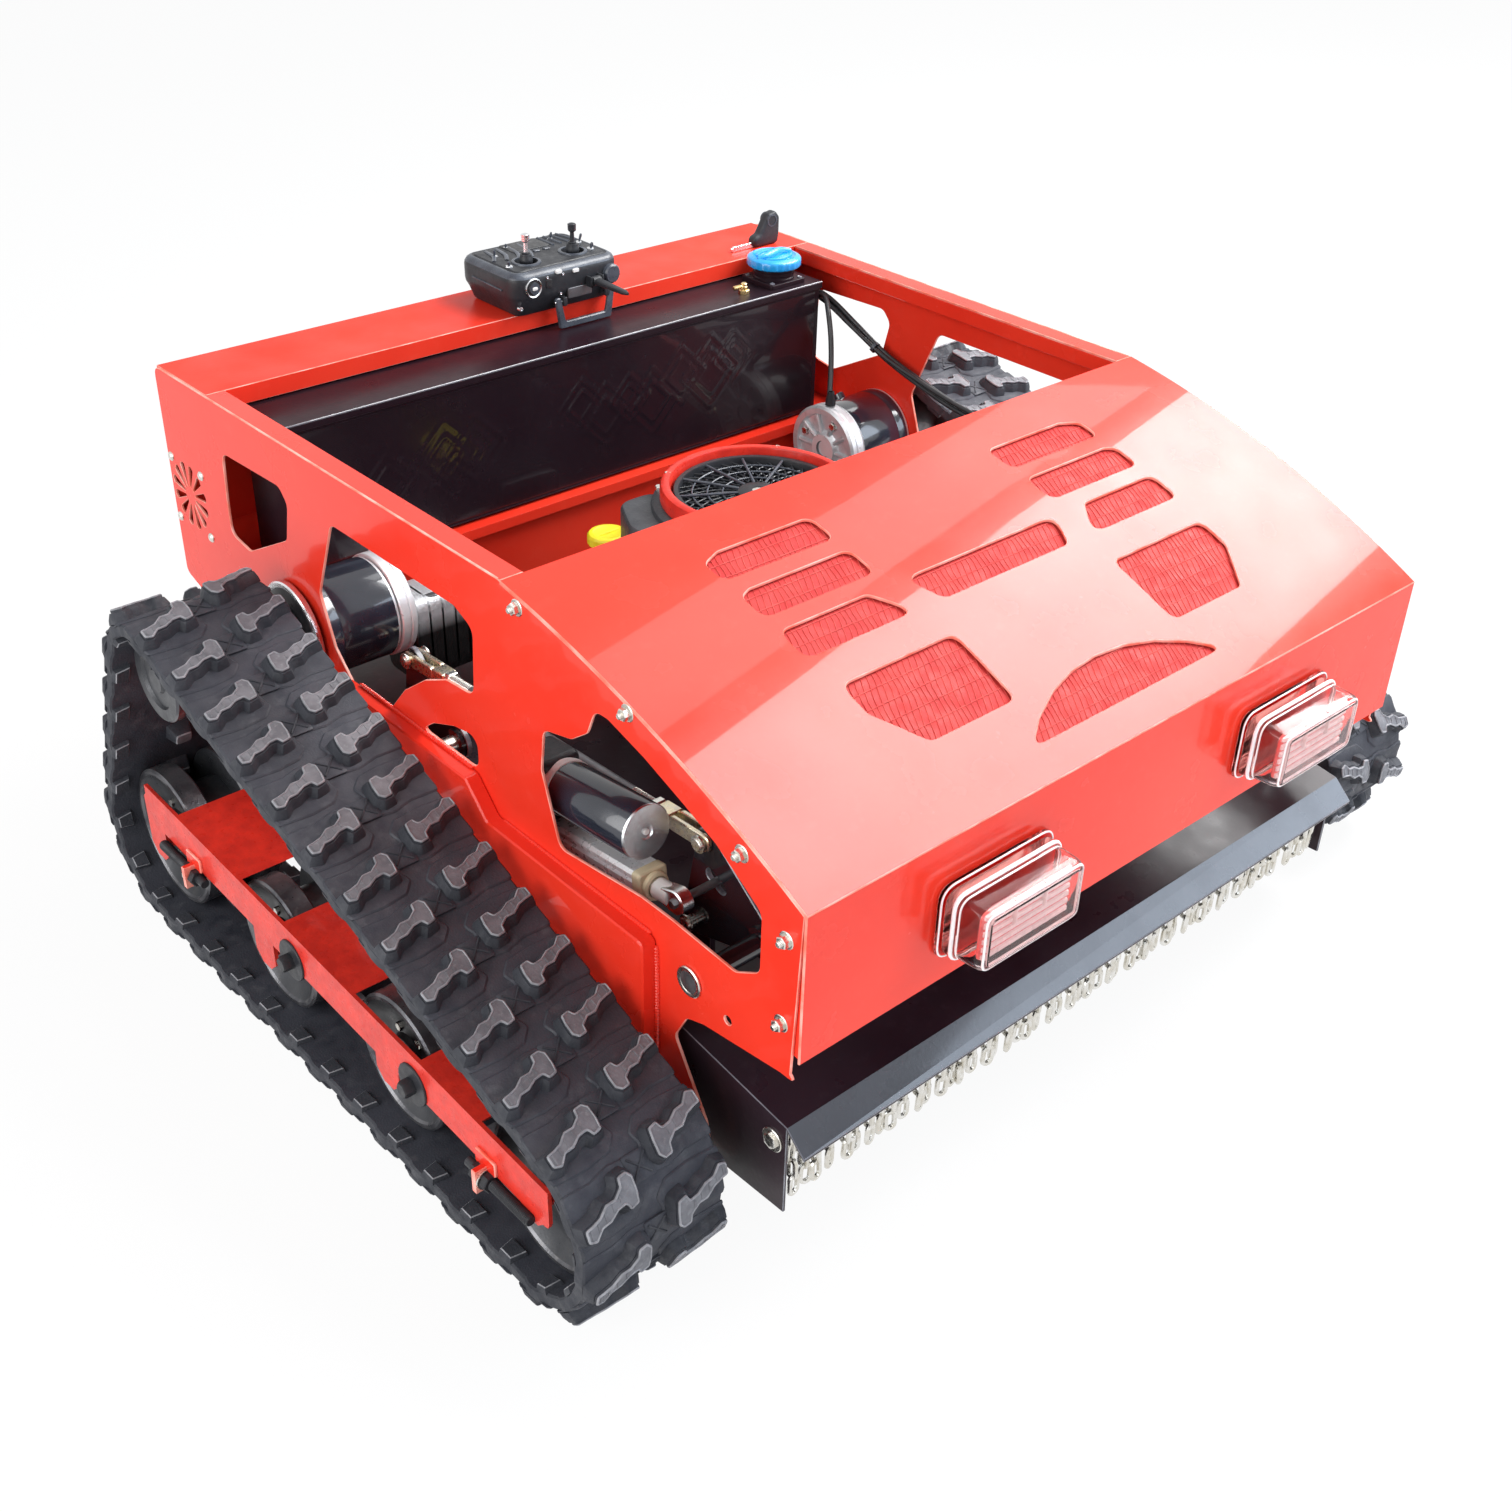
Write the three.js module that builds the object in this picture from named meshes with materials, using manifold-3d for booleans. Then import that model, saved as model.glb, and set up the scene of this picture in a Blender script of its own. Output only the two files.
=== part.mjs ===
// Remote control slope mower on rubber tracks, in millimetres, +Z up.
// The machine looks along -Y: +X is its side away from the photographed one, and "left" is -X.
// Inside the machine group, y is the distance behind the front panel and z the height above ground.
import * as THREE from "three";
import { mergeVertices } from "three/addons/utils/BufferGeometryUtils.js";
import Module from "manifold-3d";

const wasm = await Module();
wasm.setup();

// Clearances and shared allowances
const seat = 0.3;
const running = 0.5;
const overrun = 20;
const weld = 0.001;
const sidesLarge = 24;
const sidesWheel = 18;
const sidesSmall = 8;
const eyeSides = 6;
const full = Math.PI * 2;
const degree = Math.PI / 180;
const eyeStep = 45 * degree;
const beltStep = 18 * degree;

// Blade, and the room round it that sets the deck
const blade = {
  radius: 385,
  width: 62,
  plate: 6,
  z: 84,
  hub: 44,
  hubHeight: 30,
  carrier: 70,
  carrierPlate: 8,
};
const bladeRoom = { front: 117, side: 26, rear: 13 };
const deckFront = 25;
const bladeY = deckFront + bladeRoom.front + blade.radius;

// Deck with its skirts, flap and chain curtain
const deck = {
  halfWidth: blade.radius + bladeRoom.side,
  sheet: 3,
  top: 187,
  slopeEnd: 168,
  front: deckFront,
  frontTop: 166,
  rear: bladeY + blade.radius + bladeRoom.rear,
  rearBottom: 80,
  bottom: 63,
  bottomFront: 97,
  shaftHole: 46,
};
const flap = { reach: 22, drop: 20 };
const chainPlace = { inset: 16, drop: 24 };
const chain = {
  y: deck.front + chainPlace.inset,
  z: deck.frontTop - chainPlace.drop,
  rod: 5,
  head: 8,
  headLength: 5,
  sleeve: 3,
  strands: 26,
  link: 21,
  thick: 4,
  bottom: 66,
};

// Body shell of folded sheet, outside the deck
const bodyRoom = { side: 14, rear: 88 };
const body = {
  halfWidth: deck.halfWidth + bodyRoom.side,
  height: 538,
  depth: deck.rear + bodyRoom.rear,
  sheet: 3,
  hoodDepth: 384,
  foldHeight: 412,
  hoodSag: 16,
  frontBottom: 263,
  railWidth: 25,
  railLip: 20,
  rearTopDepth: 108,
  skirtBottom: 62,
  skirtFront: 100,
};
const inside = body.halfWidth - body.sheet;
const topUnder = body.height - body.sheet;
const rearTopFront = body.depth - body.rearTopDepth;

// Places in from the outer face of a side panel
const fromSide = {
  lamp: 217,
  crank: 87,
  actuator: 40,
  tank: 47,
  neck: 95,
  fitting: 157,
  battery: 230,
  muffler: 120,
  key: 55,
};

// Places forward of the rear face
const fromRear = {
  idler: 201,
  drive: 258,
  frame: 187,
  skirt: 163,
  skirtCorner: 118,
  corner: 53,
  fender: 344,
  crest: 358,
  vent: 41,
  tray: 197,
  wall: 187,
  tankFront: 184,
  tankRear: 91,
  neck: 145,
  fitting: 159,
  batteryFront: 77,
  batteryRear: 11,
  mufflerFront: 278,
  mufflerRear: 218,
  crank: 413,
  remote: 69,
  stick: 89,
  key: 81,
};

// Places down from the body's top
const fromTop = {
  tank: 22,
  tray: 194.7,
  wall: 304,
  rearWall: 242,
  corner: 259,
  skirtCorner: 333,
  vent: 135,
  rearWindow: 50,
  middleWindow: 55,
};

// Heights above the deck's top
const aboveDeck = {
  housing: 144,
  cylinder: 35,
  muffler: 39,
  oilTube: 45,
  oilCap: 187,
  frontCrank: 76,
  rearCrank: 50,
};

// Lamps on the front panel, a little below its middle
const lampDrop = 7.5;
const lamp = {
  x: body.halfWidth - fromSide.lamp,
  z: (body.frontBottom + body.foldHeight) / 2 - lampDrop,
  width: 140,
  height: 75,
  base: 18,
  lens: 30,
  rim: 6,
  corner: 16,
};

// Rubber track: belt, wheels and sprocket
const trackRoom = 31;
const belt = {
  inner: body.halfWidth + trackRoom,
  width: 150,
  carcass: 15,
  lug: 13,
  lugLength: 15,
  lugWidth: 60,
  pitch: 60,
  guide: 16,
  guideWidth: 26,
  guideLength: 22,
};
const beltMiddle = belt.inner + belt.width / 2;
const beltThickness = belt.carcass + belt.lug;
const idler = { radius: 78, frontY: 142, rearY: body.depth - fromRear.idler, hub: 48, dish: 14 };
const idlerHeight = idler.radius + beltThickness;
const roller = { radius: 70, hub: 44, dish: 12 };
const rollerHeight = roller.radius + beltThickness;
const wheelStep = (idler.rearY - idler.frontY) / 3;
const wheelDisc = { offset: 19, width: 27 };
const axle = { radius: 9.5, clearance: 0.5 };
const drive = { y: body.depth - fromRear.drive, z: 330, radius: 51, teeth: 6 };
const toothGap = { tip: 0.8, root: 13 };
const sprocket = {
  root: drive.radius - toothGap.root,
  tip: drive.radius - toothGap.tip,
  tipShare: 0.12,
  rootShare: 0.34,
  plate: 12,
  offset: 25,
  barrel: 28,
  shaft: 13,
  disc: 56,
  discPlate: 8,
  discGap: 3.5,
  coverPlate: 8,
  cover: 44,
};

// Track frame: a channel between belt and wheels
const frameInset = { inner: 8, outer: 16 };
const frame = {
  inner: belt.inner + frameInset.inner,
  outer: belt.inner + belt.width - frameInset.outer,
  sheet: 4,
  rearY: body.depth - fromRear.frame,
  frontY: 118,
  rearTop: 173,
  frontTop: 138,
  flange: 44,
  ear: 19,
  scallop: 6,
  stubSize: 36,
  stubFrontY: 250,
  stubRearY: 520,
};

// Drive gearmotors
const motor = { radius: 54, length: 84, cap: 20, capRadius: 56, nose: 22, capRelief: 4, face: 30 };

// Fuel tank, its tray and the battery behind it
const tank = {
  halfLength: body.halfWidth - fromSide.tank,
  front: body.depth - fromRear.tankFront,
  rear: body.depth - fromRear.tankRear,
  bottom: body.height - fromTop.tray,
  top: body.height - fromTop.tank,
  fold: 3,
  neckX: body.halfWidth - fromSide.neck,
  neckY: body.depth - fromRear.neck,
  neck: 26,
  neckHeight: 20,
  neckBase: 58,
  neckBasePlate: 6,
};
const fitting = {
  x: body.halfWidth - fromSide.fitting,
  y: body.depth - fromRear.fitting,
  hex: 7,
  hexHeight: 5,
  stem: 4,
  height: 13,
  nipple: 3,
  reach: 17,
};
const cap = { radius: 34, height: 15, grip: 5, gripWidth: 14 };
const tray = {
  front: body.depth - fromRear.tray,
  lip: 12,
  wallY: body.depth - fromRear.wall,
  wallBottom: body.height - fromTop.wall,
};
const battery = {
  x: body.halfWidth - fromSide.battery,
  width: 250,
  front: body.depth - fromRear.batteryFront,
  rear: body.depth - fromRear.batteryRear,
  height: 150,
};
const vent = {
  y: body.depth - fromRear.vent,
  z: body.height - fromTop.vent,
  radius: 38,
  hub: 9,
  slots: 12,
  slotShare: 0.52,
};

// Engine on the deck, with its shaft through the deck
const engine = {
  y: bladeY,
  flange: 96,
  flangePlate: 12,
  caseWidth: 170,
  caseDepth: 176,
  cylinderWidth: 96,
  cylinderReach: 195,
  cylinderBottom: deck.top + aboveDeck.cylinder,
  cylinderHeight: 100,
  fins: 5,
  finGap: 6,
  finDepth: 9,
  housingBottom: deck.top + aboveDeck.housing,
  housingHeight: 106,
  housingWall: 20,
  cornerX: -138,
  cornerShare: 0.8,
  cornerAhead: 57,
  cornerBehind: 98,
  cornerRadius: 26,
  bore: 94,
  boreDepth: 45,
  ringInset: 1,
  ringWidth: 11,
  ringHeight: 19,
  shaft: 12,
};
const housingTop = engine.housingBottom + engine.housingHeight;
const housingRadius = engine.bore + engine.housingWall;
const boreFloor = housingTop - engine.boreDepth;
const cylinderRear = engine.y + engine.cylinderReach;
const cylinderTop = engine.cylinderBottom + engine.cylinderHeight;
const ringInner = engine.bore - engine.ringInset;
const screenPlace = { inset: 4, lift: 13, rise: 11 };
const screen = {
  radius: engine.bore - screenPlace.inset,
  hub: 24,
  bottom: boreFloor + screenPlace.lift,
  rim: 6,
  top: housingTop + screenPlace.rise,
  ribs: 8,
  rib: 2.4,
  plate: 4,
};
const oilBehind = 141;
const oil = {
  x: -92,
  y: engine.y + oilBehind,
  cap: 23,
  capHeight: 14,
  tube: 13,
  top: deck.top + aboveDeck.oilCap,
  bottom: deck.top + aboveDeck.oilTube,
};
const muffler = {
  left: fromSide.muffler - body.halfWidth,
  right: -165,
  front: body.depth - fromRear.mufflerFront,
  rear: body.depth - fromRear.mufflerRear,
  bottom: deck.top + aboveDeck.muffler,
  height: 101,
  corner: 16,
  pipe: 12,
};

// Deck lift linkage, one crank on each side, front and rear
const crank = {
  x: body.halfWidth - fromSide.crank,
  plate: 6,
  frontY: 134,
  frontZ: deck.top + aboveDeck.frontCrank,
  rearY: body.depth - fromRear.crank,
  rearZ: deck.top + aboveDeck.rearCrank,
  shaft: 10,
  hub: 18,
  hangEye: 15,
  tieEye: 12,
  hangY: 90,
  hangZ: -30,
  tieY: 75,
  tieZ: 66,
  driveY: 61,
  driveZ: 29,
  slotHalf: 8,
  slotWidth: 6,
  pin: 6,
  pinOut: 12,
  shaftOut: 3,
  collar: 15,
  collarWidth: 8,
};
const hanger = { plate: 6, eye: 15 };
const tie = { rod: 6, open: 45, arm: 5, height: 15, tail: 20, nose: 9 };
const actuatorRise = 8;
const actuator = {
  x: body.halfWidth - fromSide.actuator,
  y: 391,
  z: crank.frontZ + actuatorRise,
  tube: 17,
  tubeStart: 26,
  tubeGap: 34.1,
  rod: 10,
  rodStart: 40,
  travel: 40,
  motorRise: 52,
  motor: 27,
  motorGap: 39.1,
  gearLength: 40,
  gearDrop: 22,
  gearTop: 30,
  pin: 6,
  eye: 12,
  eyeWidth: 14,
  crossPin: 4,
};

// Transmitter lying on the rear top plate, and the ignition key beside it
const remote = {
  x: 28,
  y: body.depth - fromRear.remote,
  width: 152,
  depth: 112,
  foot: 18,
  height: 54,
  inset: 8,
  corner: 20,
  stickX: 33,
  stickY: body.depth - fromRear.stick,
  pivot: 9,
  pivotWidth: 14,
  stick: 3.5,
  stickTip: 5,
  stickLength: 30,
  tipLength: 8,
};
const remoteRise = { handle: 11, antenna: 28 };
const antenna = { x: 62, z: body.height + remoteRise.antenna, length: 60, thick: 8, width: 12, knuckle: 6 };
const handle = {
  x: 50,
  halfRoot: 43,
  halfEnd: 37,
  z: body.height + remoteRise.handle,
  restGap: 1,
  bar: 8,
  plate: 5,
  pin: 1.6,
  gap: 4,
  earGap: 2.5,
};
const key = {
  x: body.halfWidth - fromSide.key,
  y: body.depth - fromRear.key,
  head: 44,
  headHeight: 42,
  thick: 14,
  bladeLength: 34,
  bladeHeight: 7,
  bladePlate: 3,
  bladeLift: 3,
};

// Cables in the engine bay: points chosen by hand along the real route
const cable = { harness: 14, motor: 7, sides: 8 };
const harnessRoute = [
  [324.4, 962, 440],
  [352, 955, 456],
  [388, 925, 482],
  [397, 880, 490],
  [398, 840, 486],
  [400, 792, 464],
  [403, 740, 440],
  [404, 680, 424],
  [403, 600, 410],
  [401, 500, 406],
  [398, 400, 410],
  [395, 300, 420],
  [385, 200, 414],
  [350, 110, 384],
  [290, 60, 356],
  [235, 34, 338],
  [212, 20, 331],
  [208, 8, 330],
];
const motorRoute = [
  [386.8, 848, 490],
  [385.5, 836, 494],
  [380, 823, 494],
  [370, 808, 484],
  [362, 794, 462],
  [354, 783, 440],
  [344, 772, 420],
  [334, 762, 402],
  [329, 756, 393],
  [329, 755, 386.4],
];

// Solids from three.js geometry

// A closed geometry as a solid: only positions are kept, and shared corners are merged.
function solid(geometry) {
  const plain = geometry.index ? geometry.toNonIndexed() : geometry.clone();
  for (const name of Object.keys(plain.attributes)) {
    if (name !== "position") plain.deleteAttribute(name);
  }
  const merged = mergeVertices(plain, weld);
  const mesh = new wasm.Mesh({
    numProp: 3,
    vertProperties: merged.attributes.position.array,
    triVerts: new Uint32Array(merged.index.array),
  });
  return new wasm.Manifold(mesh);
}

function box([x0, x1], [y0, y1], [z0, z1]) {
  const geometry = new THREE.BoxGeometry(x1 - x0, y1 - y0, z1 - z0);
  geometry.translate((x0 + x1) / 2, (y0 + y1) / 2, (z0 + z1) / 2);
  return solid(geometry);
}

// A straight round bar from one point to another.
function bar(radius, from, to, sides = sidesSmall, endRadius = radius) {
  const a = new THREE.Vector3(...from);
  const b = new THREE.Vector3(...to);
  const along = b.clone().sub(a);
  const geometry = new THREE.CylinderGeometry(endRadius, radius, along.length(), sides);
  const direction = along.clone().normalize();
  geometry.applyQuaternion(new THREE.Quaternion().setFromUnitVectors(new THREE.Vector3(0, 1, 0), direction));
  geometry.translate(...a.add(b).multiplyScalar(1 / 2).toArray());
  return solid(geometry);
}

const barX = (radius, [x0, x1], y, z, sides) => bar(radius, [x0, y, z], [x1, y, z], sides);
const barZ = (radius, x, y, [z0, z1], sides) => bar(radius, [x, y, z0], [x, y, z1], sides);

// Holes for what turns in them: the flats of the hole, not its corners, are at the radius.
const holeX = (radius, [x0, x1], y, z, sides = sidesSmall) =>
  barX(radius / Math.cos(Math.PI / sides), [x0 - overrun, x1 + overrun], y, z, sides);
const holeZ = (radius, x, y, [z0, z1], sides = sidesSmall) =>
  barZ(radius / Math.cos(Math.PI / sides), x, y, [z0 - overrun, z1 + overrun], sides);

function extruded(points, depth, matrix) {
  const shape = new THREE.Shape(points.map(([a, b]) => new THREE.Vector2(a, b)));
  const geometry = new THREE.ExtrudeGeometry(shape, { depth, bevelEnabled: false, steps: 1 });
  geometry.applyMatrix4(matrix);
  return solid(geometry);
}

// Plates: an outline in y and z, in x and z, or in x and y, thickened along the third axis.
function plateX(points, [x0, x1]) {
  const matrix = new THREE.Matrix4().makeBasis(
    new THREE.Vector3(0, 1, 0),
    new THREE.Vector3(0, 0, 1),
    new THREE.Vector3(1, 0, 0),
  );
  return extruded(points, x1 - x0, matrix.setPosition(x0, 0, 0));
}

function plateY(points, [y0, y1]) {
  const matrix = new THREE.Matrix4().makeBasis(
    new THREE.Vector3(1, 0, 0),
    new THREE.Vector3(0, 0, 1),
    new THREE.Vector3(0, -1, 0),
  );
  return extruded(points, y1 - y0, matrix.setPosition(0, y1, 0));
}

function plateZ(points, [z0, z1]) {
  return extruded(points, z1 - z0, new THREE.Matrix4().setPosition(0, 0, z0));
}

// A solid of revolution about a line along X through y, z. The profile is [distance along X, radius].
function turnedX(profile, y, z, sides = sidesLarge) {
  const points = profile.map(([x, r]) => new THREE.Vector2(r, x));
  const geometry = new THREE.LatheGeometry(points, sides);
  geometry.rotateZ(-Math.PI / 2);
  geometry.translate(0, y, z);
  return solid(geometry);
}

const join = (...solids) => solids.reduce((sum, next) => sum.add(next));
const cut = (from, ...tools) => tools.reduce((sum, next) => sum.subtract(next), from);

// Outlines

function arc(cx, cy, radius, from, to, steps) {
  const points = [];
  for (let i = 0; i <= steps; i += 1) {
    const angle = steps ? from + ((to - from) * i) / steps : from;
    points.push([cx + radius * Math.cos(angle), cy + radius * Math.sin(angle)]);
  }
  return points;
}

// The outline with each corner rounded by the same radius, as far as its sides allow.
function rounded(points, radius, steps = 2) {
  const result = [];
  points.forEach((point, i) => {
    const corner = new THREE.Vector2(...point);
    const before = new THREE.Vector2(...points[(i + points.length - 1) % points.length]).sub(corner);
    const after = new THREE.Vector2(...points[(i + 1) % points.length]).sub(corner);
    const half = Math.acos(before.dot(after) / before.length() / after.length()) / 2;
    const reach = Math.min(radius / Math.tan(half), before.length() / 2, after.length() / 2);
    const start = corner.clone().addScaledVector(before.normalize(), reach);
    const end = corner.clone().addScaledVector(after.normalize(), reach);
    for (let k = 0; k <= steps; k += 1) {
      const t = k / steps;
      const near = start.clone().lerp(corner, t);
      result.push(near.lerp(corner.clone().lerp(end, t), t).toArray());
    }
  });
  return result;
}

// A belt line round circles taken counterclockwise: round stretches and straight ones by turns.
function beltLine(circles) {
  const leaves = circles.map((from, i) => {
    const to = circles[(i + 1) % circles.length];
    const angle = Math.atan2(to.y - from.y, to.x - from.x);
    return angle - Math.PI / 2 + Math.asin((from.r - to.r) / Math.hypot(to.x - from.x, to.y - from.y));
  });
  const stretches = [];
  circles.forEach((circle, i) => {
    const next = circles[(i + 1) % circles.length];
    const start = leaves[(i + circles.length - 1) % circles.length];
    let end = leaves[i];
    while (end < start) end += full;
    stretches.push({ circle, start, end, length: circle.r * (end - start) });
    const leave = (c) => [c.x + c.r * Math.cos(end), c.y + c.r * Math.sin(end)];
    const [from, to] = [leave(circle), leave(next)];
    stretches.push({ from, to, angle: end, length: Math.hypot(to[0] - from[0], to[1] - from[1]) });
  });
  return stretches;
}

// The belt line as an outline. Its corners lie outside the round stretches, so nothing inside is cut.
function outlineRound(circles, step) {
  const points = [];
  for (const { circle, start, end } of beltLine(circles)) {
    if (!circle) continue;
    const count = Math.ceil((end - start) / step);
    const half = (end - start) / count / 2;
    points.push(...arc(circle.x, circle.y, circle.r / Math.cos(half), start + half, end - half, count - 1));
  }
  return points;
}

// The outline of a strap of one width round a chain of points, such as an eye plate or a slot.
const roundPoints = (points, r) => outlineRound(points.map(([x, y]) => ({ x, y, r })), eyeStep);

// A stretch of x from near to far, on one side of the middle.
const sideSpan = (side, near, far) => [side * near, side * far].sort((a, b) => a - b);

const rectangle = (cx, cy, width, height) => [
  [cx - width / 2, cy - height / 2],
  [cx + width / 2, cy - height / 2],
  [cx + width / 2, cy + height / 2],
  [cx - width / 2, cy + height / 2],
];

// An outline whose points are shares of a box: its low corner, width and height.
const shaped = ({ low, bottom, width, height }, shares) =>
  shares.map(([u, v]) => [low + u * width, bottom + v * height]);

// Materials

const paint = (color, roughness, metalness) => new THREE.MeshStandardMaterial({ color, roughness, metalness });
const red = paint(0xee3a25, 0.3, 0.1);
const gloss = paint(0x17171c, 0.2, 0.2);
const matte = paint(0x26262b, 0.6, 0);
const rubber = paint(0x3a3c46, 0.8, 0);
const zinc = paint(0xc8c6be, 0.35, 0.9);
const silver = paint(0xd2d4d6, 0.35, 0.8);
const darkSteel = paint(0x6b6862, 0.5, 0.7);
const blue = paint(0x2f8fd8, 0.35, 0);
const yellow = paint(0xf5ea1d, 0.45, 0);
const clear = paint(0xf4e4e2, 0.1, 0);
const white = paint(0xf0ece8, 0.3, 0.1);

// Assembly

const machine = new THREE.Group();
const mirrored = new THREE.Group();
mirrored.scale.x = -1;
machine.add(mirrored);

function meshOf(name, body3d, material) {
  const made = body3d.getMesh();
  const geometry = new THREE.BufferGeometry();
  const positions = Float32Array.from(made.vertProperties);
  geometry.setAttribute("position", new THREE.BufferAttribute(positions, made.numProp));
  geometry.setIndex(new THREE.BufferAttribute(Uint32Array.from(made.triVerts), 1));
  geometry.computeVertexNormals();
  const mesh = new THREE.Mesh(geometry, material);
  mesh.name = name;
  return mesh;
}

const add = (name, body3d, material) => machine.add(meshOf(name, body3d, material));

// A piece for +X, named right, and its mirror image for -X, named left.
function addPair(name, body3d, material) {
  add(name + "_right", body3d, material);
  mirrored.add(meshOf(name + "_left", body3d, material));
}

// Hood: an arc in side view, a fold, and the front panel below it

const hoodChord = Math.hypot(body.hoodDepth, body.height - body.foldHeight);
const hoodRadius = (hoodChord ** 2 / 4 + body.hoodSag ** 2) / (2 * body.hoodSag);
const hoodRise = (body.height - body.foldHeight) / hoodChord;
const hoodRun = body.hoodDepth / hoodChord;
const hoodCentreY = body.hoodDepth / 2 + hoodRise * (hoodRadius - body.hoodSag);
const hoodCentreZ = (body.height + body.foldHeight) / 2 - hoodRun * (hoodRadius - body.hoodSag);
const hoodSteps = 10;
const hoodHeightAt = (y, depth = 0) =>
  hoodCentreZ + Math.sqrt((hoodRadius - depth) ** 2 - (y - hoodCentreY) ** 2);

// Points of the hood's arc, sunk by a depth, from the front fold to the rear edge or between two y.
function hoodArc(depth, yFrom = 0, yTo = body.hoodDepth, steps = hoodSteps) {
  const points = [];
  for (let i = 0; i <= steps; i += 1) {
    const y = yFrom + ((yTo - yFrom) * i) / steps;
    points.push([y, hoodHeightAt(y, depth)]);
  }
  return points;
}

const hoodWindows = {
  row: { near: 122, far: 256, corner: 10 },
  centre: { half: 104, taper: 18 },
  eye: { near: 111, far: 249 },
  mouth: { half: 135 },
};
// Places along the hood's depth
const alongHoodShares = {
  rows: { first: 0.482, height: 0.091, step: 0.138 },
  eye: { front: 0.19, rear: 0.39 },
  mouth: { front: 0.081, rise: 0.117 },
};
// The outer corner of the upper row, the inner edge of the lower row and the eyes are cut at a slant.
const rowShares = {
  lower: [[0, 0], [1, 0], [1, 1], [0.21, 1]],
  middle: [[0, 0], [1, 0], [1, 0.85], [0.9, 1], [0, 1]],
  upper: [[0, 0], [1, 0], [1, 0.75], [0.83, 1], [0, 1]],
};
const eyeShares = [[0, 0], [0.77, 0], [1, 0.57], [1, 1], [0, 1]];

function hoodOpenings() {
  const { row, centre, eye, mouth } = hoodWindows;
  const along = (share) => share * body.hoodDepth;
  const first = along(alongHoodShares.rows.first);
  const height = along(alongHoodShares.rows.height);
  const outlines = [];
  Object.values(rowShares).forEach((shares, i) => {
    const bottom = first + i * along(alongHoodShares.rows.step);
    outlines.push(shaped({ low: row.near, bottom, width: row.far - row.near, height }, shares));
  });
  const eyeFront = along(alongHoodShares.eye.front);
  const eyePlace = {
    low: eye.near,
    bottom: eyeFront,
    width: eye.far - eye.near,
    height: along(alongHoodShares.eye.rear) - eyeFront,
  };
  outlines.push(shaped(eyePlace, eyeShares));
  const both = outlines.flatMap((outline) => [outline, outline.map(([x, y]) => [-x, y]).reverse()]);
  both.push([
    [centre.taper - centre.half, first],
    [centre.half - centre.taper, first],
    [centre.half, first + height],
    [-centre.half, first + height],
  ]);
  const shapes = both.map((outline) => rounded(outline, row.corner, 1));
  const rise = along(alongHoodShares.mouth.rise);
  const mouthRadius = (mouth.half ** 2 + rise ** 2) / (2 * rise);
  const mouthAngle = Math.asin(mouth.half / mouthRadius);
  const mouthCentre = along(alongHoodShares.mouth.front) + rise - mouthRadius;
  const [mouthStart, mouthEnd] = [Math.PI / 2 - mouthAngle, Math.PI / 2 + mouthAngle];
  shapes.push(arc(0, mouthCentre, mouthRadius, mouthStart, mouthEnd, hoodSteps));
  return shapes.map((outline) => plateZ(outline, [body.foldHeight - overrun, body.height + overrun]));
}

const hoodFlange = { depth: 26, sheet: 2.5 };

function frontHood() {
  const profile = [...hoodArc(0), ...hoodArc(body.sheet).reverse()];
  profile[hoodSteps + 1 + hoodSteps][0] = 0;
  const top = plateX(profile, [-body.halfWidth, body.halfWidth]);
  const panel = box([-body.halfWidth, body.halfWidth], [0, body.sheet], [body.frontBottom, body.foldHeight]);
  const flangeOuter = inside - seat;
  const flangeOutline = [
    ...hoodArc(body.sheet / 2, body.sheet),
    ...hoodArc(hoodFlange.depth, body.sheet).reverse(),
  ];
  const frontFlange = [
    [body.sheet / 2, body.frontBottom],
    [hoodFlange.depth, body.frontBottom],
    [hoodFlange.depth, body.foldHeight],
    [body.sheet / 2, body.foldHeight],
  ];
  const flanges = [-1, 1].flatMap((side) => {
    const span = sideSpan(side, flangeOuter - hoodFlange.sheet, flangeOuter);
    return [plateX(flangeOutline, span), plateX(frontFlange, span)];
  });
  return cut(join(top, panel, ...flanges), ...hoodOpenings());
}

add("front_hood", frontHood(), red);

const mesh = { sheet: 1.2, halfWidth: 285, front: 22, rearGap: 39 };
const meshRear = body.hoodDepth - mesh.rearGap;
const meshDepth = body.sheet + seat;
add(
  "hood_mesh",
  plateX(
    [
      ...hoodArc(meshDepth, mesh.front, meshRear),
      ...hoodArc(meshDepth + mesh.sheet, mesh.front, meshRear).reverse(),
    ],
    [-mesh.halfWidth, mesh.halfWidth],
  ),
  red,
);

// Side panels: windows, vent, arch, rails and fender box

// Windows between four pillars: their widths share what the pillars leave.
const pillar = { front: 50, middle: 95, narrow: 45, rear: 129 };
const openLength = body.depth - pillar.front - pillar.middle - pillar.narrow - pillar.rear;
const windowWidthShares = { front: 0.412, middle: 0.395, rear: 0.193 };
const sillRise = { front: 37, middle: -26, rear: 55 };
const frontWindow = {
  low: pillar.front,
  width: openLength * windowWidthShares.front,
  sill: crank.frontZ + sillRise.front,
};
const middleWindow = {
  low: pillar.front + frontWindow.width + pillar.middle,
  bottom: drive.z + sillRise.middle,
  width: openLength * windowWidthShares.middle,
  height: body.height - fromTop.middleWindow - drive.z - sillRise.middle,
};
const rearWindow = {
  low: middleWindow.low + middleWindow.width + pillar.narrow,
  bottom: drive.z + sillRise.rear,
  width: openLength * windowWidthShares.rear,
  height: body.height - fromTop.rearWindow - drive.z - sillRise.rear,
};
const rearWindowShares = [[0.97, 0.96], [0.1, 1], [0, 0.86], [0.08, 0.44], [0.72, 0], [1, 0.06], [1, 0.4]];
const middleWindowShares = [
  [0.86, 1], [0.1, 1], [0, 0.93], [0.02, 0.54], [0.18, 0.52], [0.32, 0.42],
  [0.46, 0.26], [0.6, 0.01], [0.8, 0], [0.93, 0.2], [1, 0.5],
];
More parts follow.
